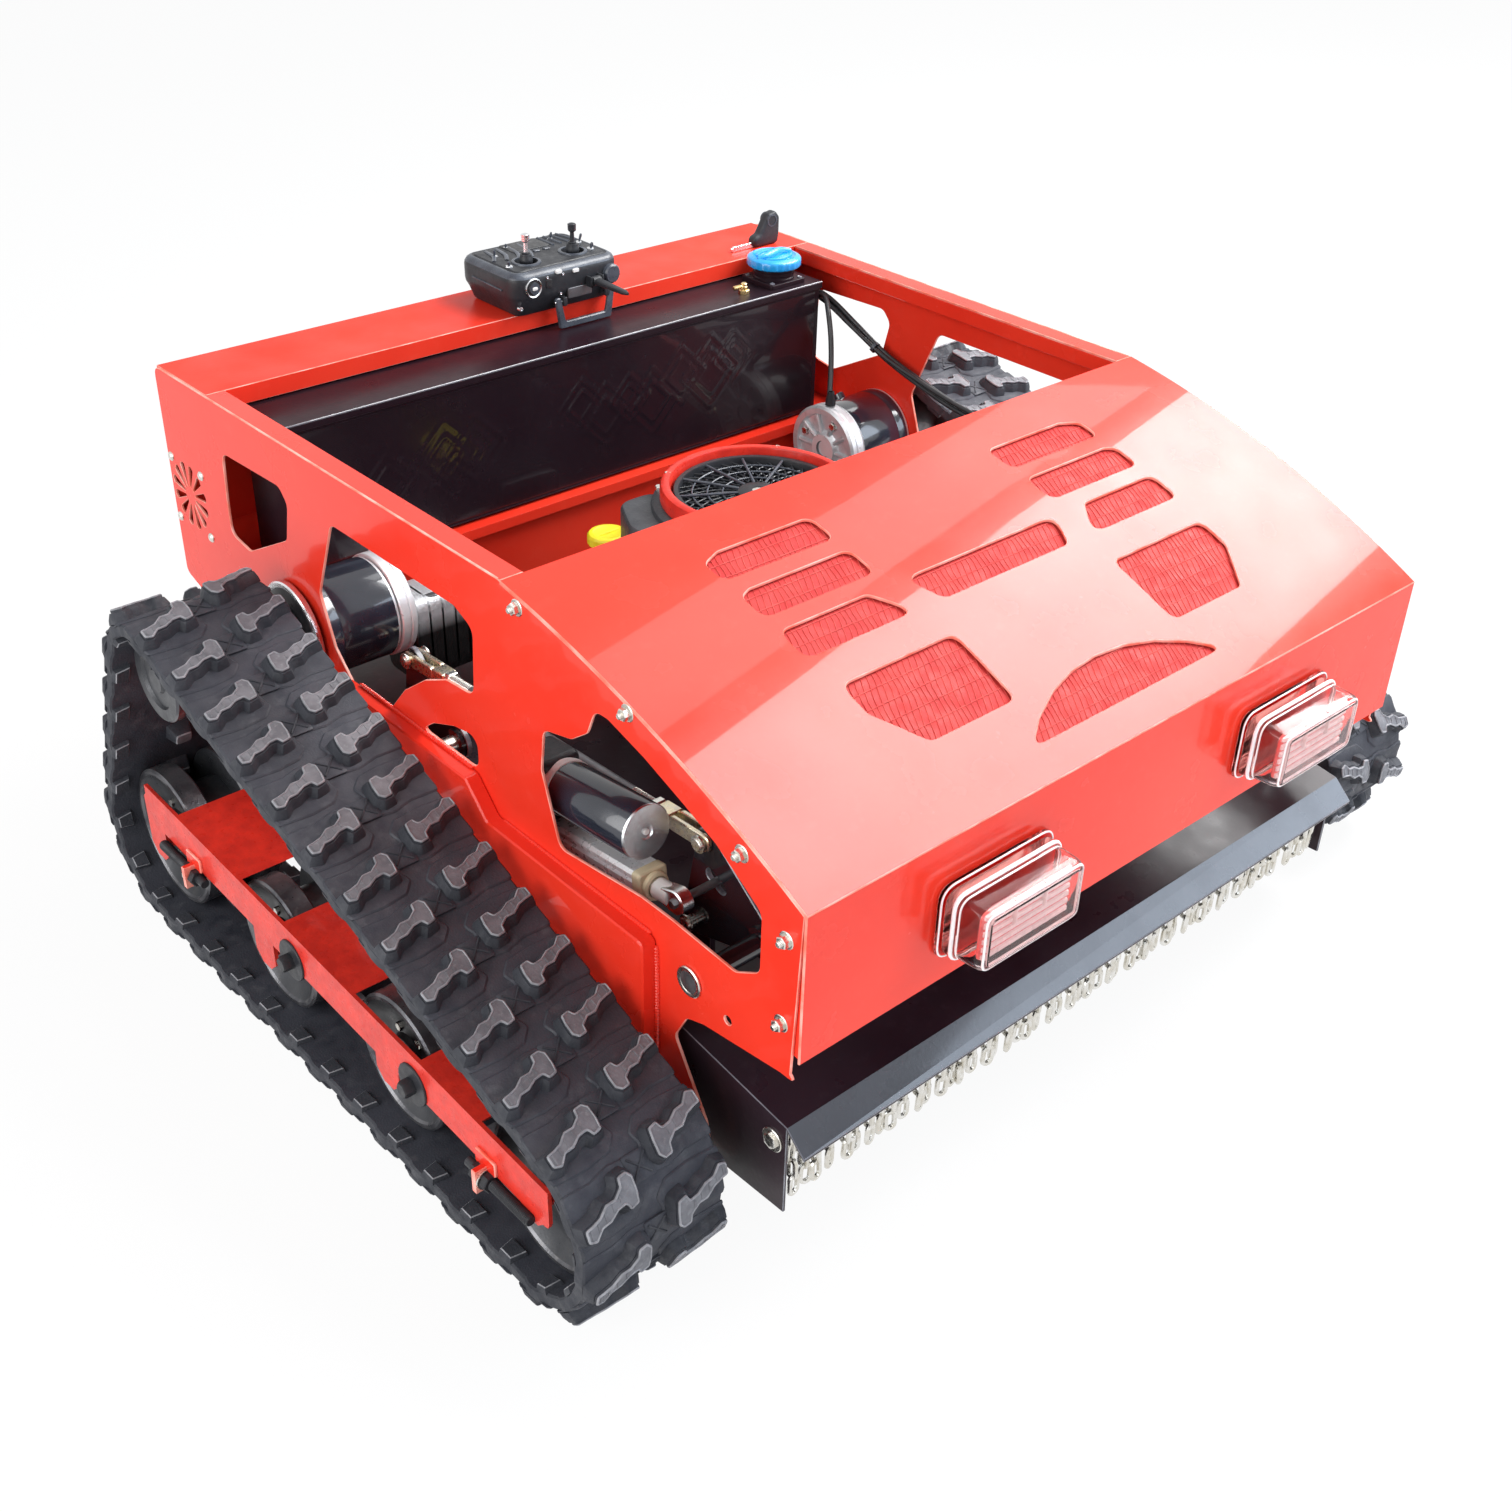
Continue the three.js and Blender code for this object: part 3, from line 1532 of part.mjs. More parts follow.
// A tie rod between the cranks' upper eyes, with a long fork at each end.
function tieRod() {
  const a = [crank.frontY + crank.tieY, crank.frontZ + crank.tieZ];
  const b = [crank.rearY + crank.tieY, crank.rearZ + crank.tieZ];
  const length = Math.hypot(b[0] - a[0], b[1] - a[1]);
  const along = [(b[0] - a[0]) / length, (b[1] - a[1]) / length];
  const middle = crank.x + crank.plate / 2;
  const gap = crank.plate / 2 + axle.clearance;
  const at = (u, v) => [a[0] + u * along[0] - v * along[1], a[1] + u * along[1] + v * along[0]];
  const block = (u0, u1, half, reach) =>
    plateX([at(u0, -half), at(u1, -half), at(u1, half), at(u0, half)], [middle - reach, middle + reach]);
  const fork = (pin, nose, open, end) => {
    const [low, high] = [nose, end].sort((u, v) => u - v);
    const [slotLow, slotHigh] = [nose + (nose - end), open].sort((u, v) => u - v);
    return cut(
      block(low, high, tie.height / 2, gap + tie.arm),
      block(slotLow, slotHigh, tie.height, gap),
      holeX(crank.pin + axle.clearance, [middle - gap, middle + gap], ...at(pin, 0)),
    );
  };
  const end = tie.open + tie.tail;
  const rodStart = end - tie.tail / 2;
  const rod = bar(tie.rod, [middle, ...at(rodStart, 0)], [middle, ...at(length - rodStart, 0)]);
  const front = fork(0, -tie.nose, tie.open, end);
  const rear = fork(length, length + tie.nose, length - tie.open, length - end);
  return join(front, rear, rod);
}

addPair("tie_rod", tieRod(), zinc);

// Actuator: everything lies along the line from its rear pin to the crank's slot.
const pinY = crank.frontY + crank.driveY;
const pinZ = crank.frontZ + crank.driveZ;
const reachY = pinY - actuator.y;
const reachZ = pinZ - actuator.z;
const reach = Math.hypot(reachY, reachZ);
const ahead = [reachY / reach, reachZ / reach];
const above = [ahead[1], -ahead[0]];
const onActuator = (along, rise = 0) => [
  actuator.x,
  actuator.y + along * ahead[0] + rise * above[0],
  actuator.z + along * ahead[1] + rise * above[1],
];

function actuatorBody() {
  const gearOutline = [
    [-actuator.eye, -actuator.gearDrop],
    [actuator.gearLength, -actuator.gearDrop],
    [actuator.gearLength, actuator.motorRise + actuator.gearTop],
    [-actuator.eye / 2, actuator.motorRise + actuator.gearTop],
  ].map(([u, v]) => onActuator(u, v).slice(1));
  const gearSpan = [actuator.x - actuator.gearDrop, actuator.x + actuator.gearDrop];
  const gear = plateX(rounded(gearOutline, actuator.eye / 2), gearSpan);
  const tubeEnd = reach - actuator.tubeGap;
  const guide = bar(actuator.tube, onActuator(actuator.tubeStart), onActuator(tubeEnd), sidesSmall);
  const can = bar(
    actuator.motor,
    onActuator(actuator.gearLength - actuator.eye, actuator.motorRise),
    onActuator(reach - actuator.motorGap, actuator.motorRise),
    sidesLarge / 2,
  );
  const pin = barX(actuator.pin, [actuator.x, inside - seat], actuator.y, actuator.z);
  const bore = bar(actuator.rod + seat, onActuator(actuator.rodStart), onActuator(tubeEnd + overrun));
  return join(cut(join(gear, guide), bore), can, pin);
}

addPair("actuator_body", actuatorBody(), darkSteel);

function actuatorRod() {
  const eyeSpan = [actuator.x - actuator.eyeWidth / 2, actuator.x + actuator.eyeWidth / 2];
  const rodEnd = reach - actuator.eye / 2;
  const rod = bar(actuator.rod, onActuator(actuator.rodStart + actuator.travel), onActuator(rodEnd));
  const eye = barX(actuator.eye, eyeSpan, pinY, pinZ);
  const pin = barX(actuator.crossPin, [crank.x - crank.pinOut / 2, actuator.x], pinY, pinZ);
  return join(rod, eye, pin);
}

addPair("actuator_rod", actuatorRod(), silver);

// Transmitter with sticks, antenna and handle

const remoteFloor = body.height + seat;
const remoteTop = remoteFloor + remote.height;
const remoteFront = remote.y - remote.depth / 2;

function remoteBody() {
  const outline = (inset) => {
    const [width, depth] = [remote.width - 2 * inset, remote.depth - 2 * inset];
    return rounded(rectangle(remote.x, remote.y, width, depth), remote.corner);
  };
  const upper = plateZ(outline(0), [remoteFloor + remote.foot, remoteTop]);
  const lower = plateZ(outline(remote.inset), [remoteFloor, remoteTop - remote.foot]);
  const socketRadius = (remote.pivot + running) / Math.cos(Math.PI / sidesSmall);
  const sockets = [-1, 1].map((side) => {
    const half = remote.pivotWidth / 2 + running;
    const x = remote.x + side * remote.stickX;
    return barX(socketRadius, [x - half, x + half], remote.stickY, remoteTop);
  });
  const earInner = antenna.width / 2 + axle.clearance;
  const ears = [-1, 1].map((side) =>
    box(
      [earInner, earInner + antenna.knuckle / 2].map((x) => antenna.x + side * x).sort((a, b) => a - b),
      [remoteFront - 2 * antenna.knuckle, remoteFront + seat],
      [antenna.z - antenna.knuckle, antenna.z + antenna.knuckle],
    ),
  );
  const earOuter = handle.halfRoot - handle.bar - handle.earGap;
  const handleEars = [-1, 1].map((side) =>
    box(
      [handle.x + side * earOuter, handle.x + side * (earOuter - handle.plate)].sort((p, q) => p - q),
      [remoteFront - handle.gap, remoteFront + remote.inset + handle.gap],
      [handle.z - handle.plate, handle.z + handle.plate],
    ),
  );
  const pins = [-1, 1].map((side) => {
    const span = [handle.x + side * (earOuter - handle.plate), handle.x + side * handle.halfRoot];
    return barX(handle.pin, span.sort((p, q) => p - q), remoteFront, handle.z);
  });
  return join(cut(join(upper, lower), ...sockets), ...ears, ...handleEars, ...pins);
}

add("remote_body", remoteBody(), matte);

["left", "right"].forEach((side, i) => {
  const x = remote.x + (2 * i - 1) * remote.stickX;
  const tip = remoteTop + remote.stickLength;
  add(
    "remote_stick_" + side,
    join(
      barX(remote.pivot, [x - remote.pivotWidth / 2, x + remote.pivotWidth / 2], remote.stickY, remoteTop),
      barZ(remote.stick, x, remote.stickY, [remoteTop, tip]),
      barZ(remote.stickTip, x, remote.stickY, [tip - remote.tipLength, tip]),
    ),
    i ? matte : silver,
  );
});

function remoteAntenna() {
  const y = remoteFront - antenna.knuckle - seat;
  const span = [antenna.x - antenna.width / 2, antenna.x + antenna.width / 2];
  const height = [antenna.z - antenna.thick / 2, antenna.z + antenna.thick / 2];
  const stub = box(span, [y - antenna.length, y], height);
  return join(stub, barX(antenna.knuckle - seat, span, y, antenna.z));
}

add("remote_antenna", remoteAntenna(), matte);

// The handle hangs over the plate's front lip: two legs and a cross bar.
function remoteHandle() {
  const top = handle.z + handle.plate;
  const low = tank.top + handle.restGap;
  const outline = [
    [handle.halfRoot, top],
    [handle.halfEnd, low],
    [-handle.halfEnd, low],
    [-handle.halfRoot, top],
    [handle.bar - handle.halfRoot, top],
    [handle.bar - handle.halfEnd, low + handle.bar],
    [handle.halfEnd - handle.bar, low + handle.bar],
    [handle.halfRoot - handle.bar, top],
  ].map(([x, z]) => [handle.x + x, z]);
  const thick = [remoteFront - handle.plate / 2, remoteFront + handle.plate / 2];
  const flat = plateY(outline.reverse(), thick);
  const across = [handle.x - handle.halfRoot, handle.x + handle.halfRoot];
  return cut(flat, holeX(handle.pin + seat, across, remoteFront, handle.z));
}

add("remote_handle", remoteHandle(), darkSteel);

const keyHeadShares = [[0, 0], [1, 0], [1, 0.8], [0.8, 1], [0.5, 0.9], [0.3, 0.4], [0, 0.3]];

function ignitionKey() {
  const floor = body.height + seat;
  const headLow = key.x - key.head / 2;
  const head = plateY(
    rounded(
      shaped({ low: headLow, bottom: floor, width: key.head, height: key.headHeight }, keyHeadShares),
      key.bladeHeight / 2,
    ),
    [key.y - key.thick / 2, key.y + key.thick / 2],
  );
  const shank = box(
    [headLow - key.bladeLength, headLow + key.bladeHeight],
    [key.y - key.bladePlate / 2, key.y + key.bladePlate / 2],
    [floor + key.bladeLift - key.bladePlate, floor + key.bladeLift + key.bladeHeight - key.bladePlate],
  );
  return join(head, shank);
}

add("ignition_key", ignitionKey(), matte);

// Cables

function cableAlong(points, diameter) {
  const curve = new THREE.CatmullRomCurve3(points.map((p) => new THREE.Vector3(...p)), false, "centripetal");
  const outline = arc(0, 0, diameter / 2, 0, full * (1 - 1 / cable.sides), cable.sides - 1);
  const shape = new THREE.Shape(outline.map(([a, b]) => new THREE.Vector2(a, b)));
  const steps = Math.ceil(curve.getLength() / (diameter * 3));
  return solid(new THREE.ExtrudeGeometry(shape, { steps, extrudePath: curve, bevelEnabled: false }));
}

add("harness_right", cableAlong(harnessRoute, cable.harness), matte);
add("motor_cable_right", cableAlong(motorRoute, cable.motor), matte);

// The origin is on the ground, under the middle of the machine's length.
const bounds = new THREE.Box3().setFromObject(machine);
machine.position.y = -(bounds.min.y + bounds.max.y) / 2;
machine.position.z = -bounds.min.z;

export default machine;
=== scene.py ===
# Looks of a remote control slope mower on rubber tracks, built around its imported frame.
# Sizes are in millimetres: x across, y behind the front panel, z above the ground.
# A profile is a list of (distance along its axis, radius). A piece's faces name its looks by number.
import math
from types import SimpleNamespace as Sizes

import bmesh
import bpy
from mathutils import Matrix, Vector, noise
from mathutils.geometry import tessellate_polygon


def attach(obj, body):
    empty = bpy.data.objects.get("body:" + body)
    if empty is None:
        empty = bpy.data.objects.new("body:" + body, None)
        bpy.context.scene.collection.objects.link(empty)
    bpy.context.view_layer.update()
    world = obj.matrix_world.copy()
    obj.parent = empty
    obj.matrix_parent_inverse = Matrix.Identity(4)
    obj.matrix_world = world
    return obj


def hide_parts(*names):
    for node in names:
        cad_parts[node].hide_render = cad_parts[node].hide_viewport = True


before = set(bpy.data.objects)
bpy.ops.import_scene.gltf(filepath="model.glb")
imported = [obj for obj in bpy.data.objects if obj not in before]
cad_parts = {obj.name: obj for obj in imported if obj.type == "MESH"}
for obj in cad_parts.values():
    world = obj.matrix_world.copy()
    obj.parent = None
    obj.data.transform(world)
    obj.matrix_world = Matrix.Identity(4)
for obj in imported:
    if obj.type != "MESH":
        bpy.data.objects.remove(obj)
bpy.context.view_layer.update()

MM = 0.001
MIDDLE_Y = 482.2
FULL = 2 * math.pi
SIDES = {"left": -1, "right": 1}
BOTH = (-1, 1)
RIGHT, LEFT = (1, 0, 0), (-1, 0, 0)
BACK, FRONT = (0, 1, 0), (0, -1, 0)
UP, DOWN = (0, 0, 1), (0, 0, -1)
FINEST, ROUND, SMALL, COARSE, HEX = 96, 48, 20, 8, 6
RIM = 0.6
SEAT = 0.3


# Camera at the photograph's viewing angle

CAMERA_AT = (-1.16447, -1.21531, 1.23279)
CAMERA_AZIMUTH = math.radians(42.938)
CAMERA_DOWN = math.radians(33.130)
CAMERA_ROLL = math.radians(1.763)
CAMERA_LENS = 42.254
CAMERA_SENSOR = 36


def place_camera():
    data = bpy.data.cameras.new("camera")
    data.lens = CAMERA_LENS
    data.sensor_width = CAMERA_SENSOR
    camera = bpy.data.objects.new("camera", data)
    bpy.context.scene.collection.objects.link(camera)
    across, down = CAMERA_AZIMUTH, CAMERA_DOWN
    ahead = Vector((math.sin(across) * math.cos(down), math.cos(across) * math.cos(down), -math.sin(down)))
    level = Vector((math.cos(across), -math.sin(across), 0))
    upright = level.cross(ahead)
    right = level * math.cos(CAMERA_ROLL) + upright * math.sin(CAMERA_ROLL)
    up = upright * math.cos(CAMERA_ROLL) - level * math.sin(CAMERA_ROLL)
    turn = Matrix((right, up, -ahead)).transposed().to_4x4()
    camera.matrix_world = Matrix.Translation(CAMERA_AT) @ turn
    bpy.context.scene.camera = camera


# Materials

class Nodes:
    """A node tree with short calls for what the finishes need."""

    def __init__(self, tree):
        self.tree = tree
        tree.nodes.clear()

    def add(self, kind, **values):
        node = self.tree.nodes.new(kind)
        for name, value in values.items():
            setattr(node, name, value)
        return node

    def link(self, source, target):
        self.tree.links.new(source, target)

    def fill(self, node, values):
        for name, value in values.items():
            node.inputs[name].default_value = value

    def noise(self, vector, scale, detail, rough=0.5):
        node = self.add("ShaderNodeTexNoise")
        self.fill(node, {"Scale": scale, "Detail": detail, "Roughness": rough})
        self.link(vector, node.inputs["Vector"])
        return node.outputs["Fac"]

    def spread(self, value, span, to_span):
        node = self.add("ShaderNodeMapRange")
        names = ("From Min", "From Max", "To Min", "To Max")
        self.fill(node, dict(zip(names, (*span, *to_span))))
        self.link(value, node.inputs["Value"])
        return node.outputs["Result"]

    def mix(self, factor, first, second):
        node = self.add("ShaderNodeMix", data_type="RGBA")
        self.link(factor, node.inputs["Factor"])
        for name, colour in (("A", first), ("B", second)):
            socket = next(s for s in node.inputs if s.name == name and s.type == "RGBA")
            if isinstance(colour, tuple):
                socket.default_value = (*colour, 1)
            else:
                self.link(colour, socket)
        return next(s for s in node.outputs if s.type == "RGBA")


FINE = 900
STRETCH = 14
DUST = (0.42, 0.38, 0.34)
SHADE_BELOW_COLOUR = (0.022, 0.021, 0.022)
PATCH_SPAN = (0.35, 0.65)
DIRT_SPAN = (0.56, 0.74)
GLOSS_SPAN = (0.3, 0.7)
GLOSS_SPREAD = 0.28
DIRT_ROUGHNESS = 0.62
DETAIL = Sizes(patch=5, dirt=8, gloss=6, grain=3)


def finish(name, colour, vary, rough, metal=0.0, patch=14, grain=400, bump=0.05, dirt=None, coat=0.0,
           level=0.5, brushed=None, clear=0.0, ior=1.5, coat_rough=0.03, shade_below=None):
    """A painted, cast, moulded or rolled surface: colour patches, dirt, uneven gloss and grain, and
    optionally painted shade towards the bottom.
    """
    made = bpy.data.materials.new(name)
    made.use_nodes = True
    nodes = Nodes(made.node_tree)
    output = nodes.add("ShaderNodeOutputMaterial")
    shader = nodes.add("ShaderNodeBsdfPrincipled")
    nodes.link(shader.outputs["BSDF"], output.inputs["Surface"])
    where = nodes.add("ShaderNodeTexCoord").outputs["Object"]
    patches = nodes.noise(where, patch, DETAIL.patch)
    mixed = nodes.mix(nodes.spread(patches, PATCH_SPAN, (0, 1)), colour, vary)
    if dirt:
        dirt_colour, amount, dirt_scale = dirt
        spots = nodes.noise(where, dirt_scale, DETAIL.dirt, DIRT_ROUGHNESS)
        mixed = nodes.mix(nodes.spread(spots, DIRT_SPAN, (0, amount)), mixed, dirt_colour)
    # Painted shade: below a band of heights the colour turns to near black.
    if shade_below:
        height = nodes.add("ShaderNodeSeparateXYZ")
        nodes.link(where, height.inputs["Vector"])
        mixed = nodes.mix(nodes.spread(height.outputs["Z"], shade_below, (0, 1)), SHADE_BELOW_COLOUR, mixed)
    nodes.link(mixed, shader.inputs["Base Color"])
    spread = GLOSS_SPREAD * rough
    uneven = nodes.noise(where, patch * 3, DETAIL.gloss)
    gloss = nodes.spread(uneven, GLOSS_SPAN, (rough - spread, rough + spread))
    nodes.link(gloss, shader.inputs["Roughness"])
    grained = where
    if brushed is not None:
        stretch = nodes.add("ShaderNodeMapping")
        stretch.inputs["Scale"].default_value = tuple(1 if i == brushed else STRETCH for i in range(3))
        nodes.link(where, stretch.inputs["Vector"])
        grained = stretch.outputs["Vector"]
    relief = nodes.add("ShaderNodeBump")
    nodes.fill(relief, {"Strength": bump, "Distance": MM})
    nodes.link(nodes.noise(grained, grain, DETAIL.grain), relief.inputs["Height"])
    nodes.link(relief.outputs["Normal"], shader.inputs["Normal"])
    nodes.fill(shader, {"Metallic": metal, "IOR": ior, "Specular IOR Level": level, "Coat Weight": coat,
                        "Coat Roughness": coat_rough, "Transmission Weight": clear})
    return made


RED = (0.80, 0.031, 0.014)
SILVER = ((0.70, 0.71, 0.73), (0.58, 0.59, 0.61))
LOOKS = {
    "red": finish("red_paint", RED, (0.84, 0.042, 0.020), 0.24, patch=5, grain=260,
                  dirt=((0.88, 0.13, 0.09), 0.07, 60), coat=0.34, level=0.14),
    "red_satin": finish("red_satin_paint", RED, (0.84, 0.046, 0.022), 0.4, patch=5, grain=260, bump=0.08,
                        dirt=((0.88, 0.15, 0.1), 0.08, 60), coat=0.06, level=0.12, coat_rough=0.1),
    # Pale pink for bevelled and cut sheet edges: a painted highlight along the edges.
    "red_edge": finish("red_painted_edge_highlight", (0.95, 0.42, 0.34), (0.9, 0.16, 0.1), 0.35, patch=40),
    "red_rough": finish("red_rough_paint", (0.76, 0.038, 0.022), (0.60, 0.028, 0.018), 0.34, patch=60,
                        grain=180, bump=0.4, dirt=((0.3, 0.02, 0.015), 0.3, 150), coat=0.15, level=0.2),
    "red_mesh": finish("red_mesh_wire", (0.66, 0.07, 0.06), (0.74, 0.12, 0.10), 0.5, patch=60, level=0.2),
    "red_screen": finish("red_mesh_backing", (0.52, 0.035, 0.035), (0.60, 0.055, 0.05), 0.55, patch=30,
                         grain=500, bump=0.3, level=0.15),
    "gloss": finish("gloss_black_paint", (0.010, 0.010, 0.013), (0.018, 0.017, 0.022), 0.16, patch=7,
                    grain=200, dirt=((0.1, 0.09, 0.1), 0.1, 90), coat=0.8),
    "tank": finish("tank_black_paint", (0.014, 0.006, 0.010), (0.020, 0.011, 0.015), 0.34, patch=6, grain=240,
                   bump=0.1, dirt=((0.08, 0.06, 0.07), 0.08, 80), coat=0.03, level=0.14, coat_rough=0.12),
    "tank_face": finish("tank_face_paint", (0.012, 0.006, 0.009), (0.018, 0.010, 0.014), 0.22, patch=6,
                        grain=240, bump=0.06, dirt=((0.07, 0.06, 0.07), 0.08, 80), coat=0.35, level=0.25,
                        coat_rough=0.05),
    "deck": finish("deck_black_paint", (0.016, 0.007, 0.011), (0.026, 0.014, 0.020), 0.34, patch=8, grain=220,
                   bump=0.12, dirt=((0.1, 0.08, 0.09), 0.12, 90), coat=0.16, level=0.16, coat_rough=0.16),
    # A lighter, bluish copy of the deck's black for the front flap: a painted sky reflection.
    "flap_painted_sky": finish("flap_black_painted_sky_reflection", (0.030, 0.034, 0.046), (0.044, 0.048, 0.062), 0.26, patch=8, grain=220,
                   bump=0.12, dirt=((0.12, 0.12, 0.13), 0.12, 90), coat=0.6, level=0.4, coat_rough=0.08),
    # A grey copy of the gloss black for bevelled edges and small screws: a painted highlight.
    "gloss_edge": finish("gloss_black_painted_highlight", (0.2, 0.2, 0.23), (0.1, 0.1, 0.12), 0.3, patch=30, coat=0.5),
    "matte": finish("matte_black_plastic", (0.016, 0.017, 0.020), (0.026, 0.027, 0.032), 0.42, patch=30,
                    grain=FINE, bump=0.25, dirt=(DUST, 0.04, 120), level=0.32),
    # A lighter blue-grey copy of the black plastic for rims, ribs, bars and small raised parts: a painted
    # highlight.
    "matte_edge": finish("plastic_painted_highlight", (0.07, 0.08, 0.10), (0.04, 0.045, 0.06), 0.3, patch=60),
    "rubber": finish("rubber", (0.023, 0.025, 0.034), (0.036, 0.038, 0.050), 0.66, patch=22, grain=500,
                     bump=0.4, dirt=((0.13, 0.13, 0.14), 0.35, 48)),
    # A darker copy of the rubber for the belt's edges and the sides of its pads, lugs and guides: painted
    # shade.
    "rubber_side": finish("rubber_side", (0.018, 0.020, 0.027), (0.030, 0.032, 0.041), 0.7, patch=30,
                          grain=420, bump=0.5, dirt=((0.1, 0.1, 0.11), 0.3, 70)),
    "lug": finish("rubber_lug_top", (0.11, 0.11, 0.122), (0.17, 0.17, 0.185), 0.6, patch=70, grain=300,
                  bump=0.5, dirt=((0.30, 0.30, 0.31), 0.5, 190)),
    # Pale grey for the chamfers round the lug tops: a painted highlight along their edges.
    "lug_edge": finish("rubber_lug_painted_highlight", (0.30, 0.30, 0.32), (0.19, 0.19, 0.205), 0.6, patch=110),
    "zinc": finish("zinc", (0.78, 0.77, 0.74), (0.66, 0.63, 0.56), 0.27, metal=1, patch=90, grain=600,
                   bump=0.12, dirt=((0.42, 0.39, 0.33), 0.5, 180)),
    "gold_zinc": finish("yellow_zinc", (0.86, 0.76, 0.52), (0.72, 0.66, 0.55), 0.3, metal=1, patch=110),
    "cast": finish("cast_aluminium", *SILVER, 0.4, metal=0.55, patch=60, grain=520, bump=0.5,
                   dirt=((0.3, 0.3, 0.31), 0.3, 120)),
    # Cast aluminium with painted shade on its lower part.
    "sooty": finish("aluminium_painted_shade_below", *SILVER, 0.42, metal=0.5, patch=60, grain=520, bump=0.5,
                    dirt=((0.3, 0.3, 0.31), 0.3, 120), shade_below=(0.285, 0.305)),
    "bright": finish("machined_steel", (0.82, 0.83, 0.85), (0.72, 0.73, 0.75), 0.2, metal=1, patch=50,
                     grain=300, bump=0.15, brushed=0),
    "satin": finish("satin_silver", (0.84, 0.85, 0.87), (0.76, 0.77, 0.79), 0.36, metal=0.45, patch=40,
                    grain=500, bump=0.2, dirt=((0.5, 0.49, 0.47), 0.2, 150)),
    "groove": finish("grooved_aluminium", (0.90, 0.90, 0.92), (0.82, 0.82, 0.85), 0.3, metal=0.45, patch=40,
                     grain=200, bump=0.3, brushed=1),
    "steel": finish("dark_steel", (0.20, 0.20, 0.21), (0.14, 0.14, 0.15), 0.42, metal=0.85, patch=40,
                    bump=0.3, dirt=((0.34, 0.30, 0.26), 0.3, 100)),
    "wheel": finish("wheel_dark_paint", (0.030, 0.032, 0.037), (0.055, 0.057, 0.063), 0.36, metal=0.3,
                    patch=25, grain=300, bump=0.25, dirt=((0.11, 0.10, 0.09), 0.4, 60)),
    "wheel_rim": finish("wheel_worn_rim", (0.16, 0.16, 0.17), (0.07, 0.07, 0.08), 0.34, metal=0.7, patch=40,
                        grain=300, bump=0.3, dirt=((0.4, 0.38, 0.35), 0.3, 120)),
    "engine": finish("engine_grey", (0.045, 0.047, 0.053), (0.07, 0.073, 0.08), 0.45, metal=0.2, patch=40,
                     grain=420, bump=0.45, dirt=((0.14, 0.13, 0.13), 0.25, 90)),
    "motor": finish("blue_black_paint", (0.014, 0.017, 0.027), (0.022, 0.026, 0.04), 0.2, patch=16, grain=260,
                    bump=0.06, coat=0.7),
    "blue": finish("cap_blue", (0.008, 0.30, 0.72), (0.015, 0.37, 0.82), 0.24, patch=50, grain=500, bump=0.15,
                   coat=0.5),
    "yellow": finish("oil_yellow", (0.88, 0.78, 0.02), (0.8, 0.68, 0.02), 0.38, patch=60, grain=FINE,
                     bump=0.2),
    "brass": finish("brass", (0.78, 0.60, 0.30), (0.66, 0.48, 0.22), 0.28, metal=1, patch=90),
    "lens": finish("clear_lens", (1.0, 0.84, 0.83), (1.0, 0.78, 0.77), 0.05, patch=20, bump=0.02, clear=1,
                   ior=1.3),
    "lens_red": finish("pink_clear_flange", (1.0, 0.42, 0.38), (1.0, 0.34, 0.3), 0.08, patch=20, bump=0.02,
                       clear=1, ior=1.2),
    "rim_white": finish("lamp_rim_white", (0.95, 0.94, 0.94), (0.88, 0.86, 0.86), 0.3, patch=40, grain=FINE),
    "lamp_red": finish("lamp_red_backing", (0.86, 0.10, 0.09), (0.80, 0.20, 0.19), 0.3, patch=40, grain=FINE),
    "white": finish("white_plastic", (0.82, 0.81, 0.79), (0.75, 0.74, 0.72), 0.35, patch=50, grain=FINE),
    "beige": finish("beige_plastic", (0.70, 0.62, 0.42), (0.62, 0.54, 0.36), 0.42, patch=60, grain=FINE),
    "cable": finish("cable_sheath", (0.014, 0.014, 0.016), (0.028, 0.028, 0.03), 0.42, patch=60, grain=300,
                    bump=0.3),
}


# Outlines and lines

STRAIGHT = 0.06


def evenly(low, high, count):
    """Values from low to high in equal steps, with both ends."""
    return [low + (high - low) * i / count for i in range(count + 1)]


def turns(count, shift=0.0):
    """Angles that share a full turn equally."""
    return [FULL * (i + shift) / count for i in range(count)]


def polar(centre, radius, angle):
    return (centre[0] + radius * math.cos(angle), centre[1] + radius * math.sin(angle))


def circle(a, b, radius, sides=SMALL):
    return [polar((a, b), radius, angle) for angle in turns(sides)]


def rectangle(x0, x1, y0, y1):
    return [(x0, y0), (x1, y0), (x1, y1), (x0, y1)]


def rounded(points, radius, steps=5):
    """The outline with each corner rounded by the same radius, as far as its sides allow."""
    result = []
    for i, point in enumerate(points):
        corner = Vector(point)
        before = Vector(points[i - 1]) - corner
        after = Vector(points[(i + 1) % len(points)]) - corner
        half = before.angle(after) / 2
        if math.pi / 2 - half < STRAIGHT:
            result.append(tuple(corner))
            continue
        reach = min(radius / max(math.tan(half), MM), before.length / 2, after.length / 2)
        start = corner + before.normalized() * reach
        end = corner + after.normalized() * reach
        for t in evenly(0, 1, steps):
            result.append(tuple(start.lerp(corner, t).lerp(corner.lerp(end, t), t)))
    return result


def area(points):
    pairs = zip(points, points[1:] + points[:1])
    return sum(a[0] * b[1] - b[0] * a[1] for a, b in pairs) / 2


def wound(points):
    """The outline counterclockwise."""
    return points if area(points) > 0 else points[::-1]


def inset(points, amount):
    """The outline moved to its left by an amount."""
    result = []
    for i, point in enumerate(points):
        here = Vector(point)
        into = (here - Vector(points[i - 1])).normalized()
        out = (Vector(points[(i + 1) % len(points)]) - here).normalized()
        first = Vector((-into.y, into.x))
        second = Vector((-out.y, out.x))
        share = max(1 + first.dot(second), 0.5)
        result.append(tuple(here + (first + second) * (amount / share)))
    return result


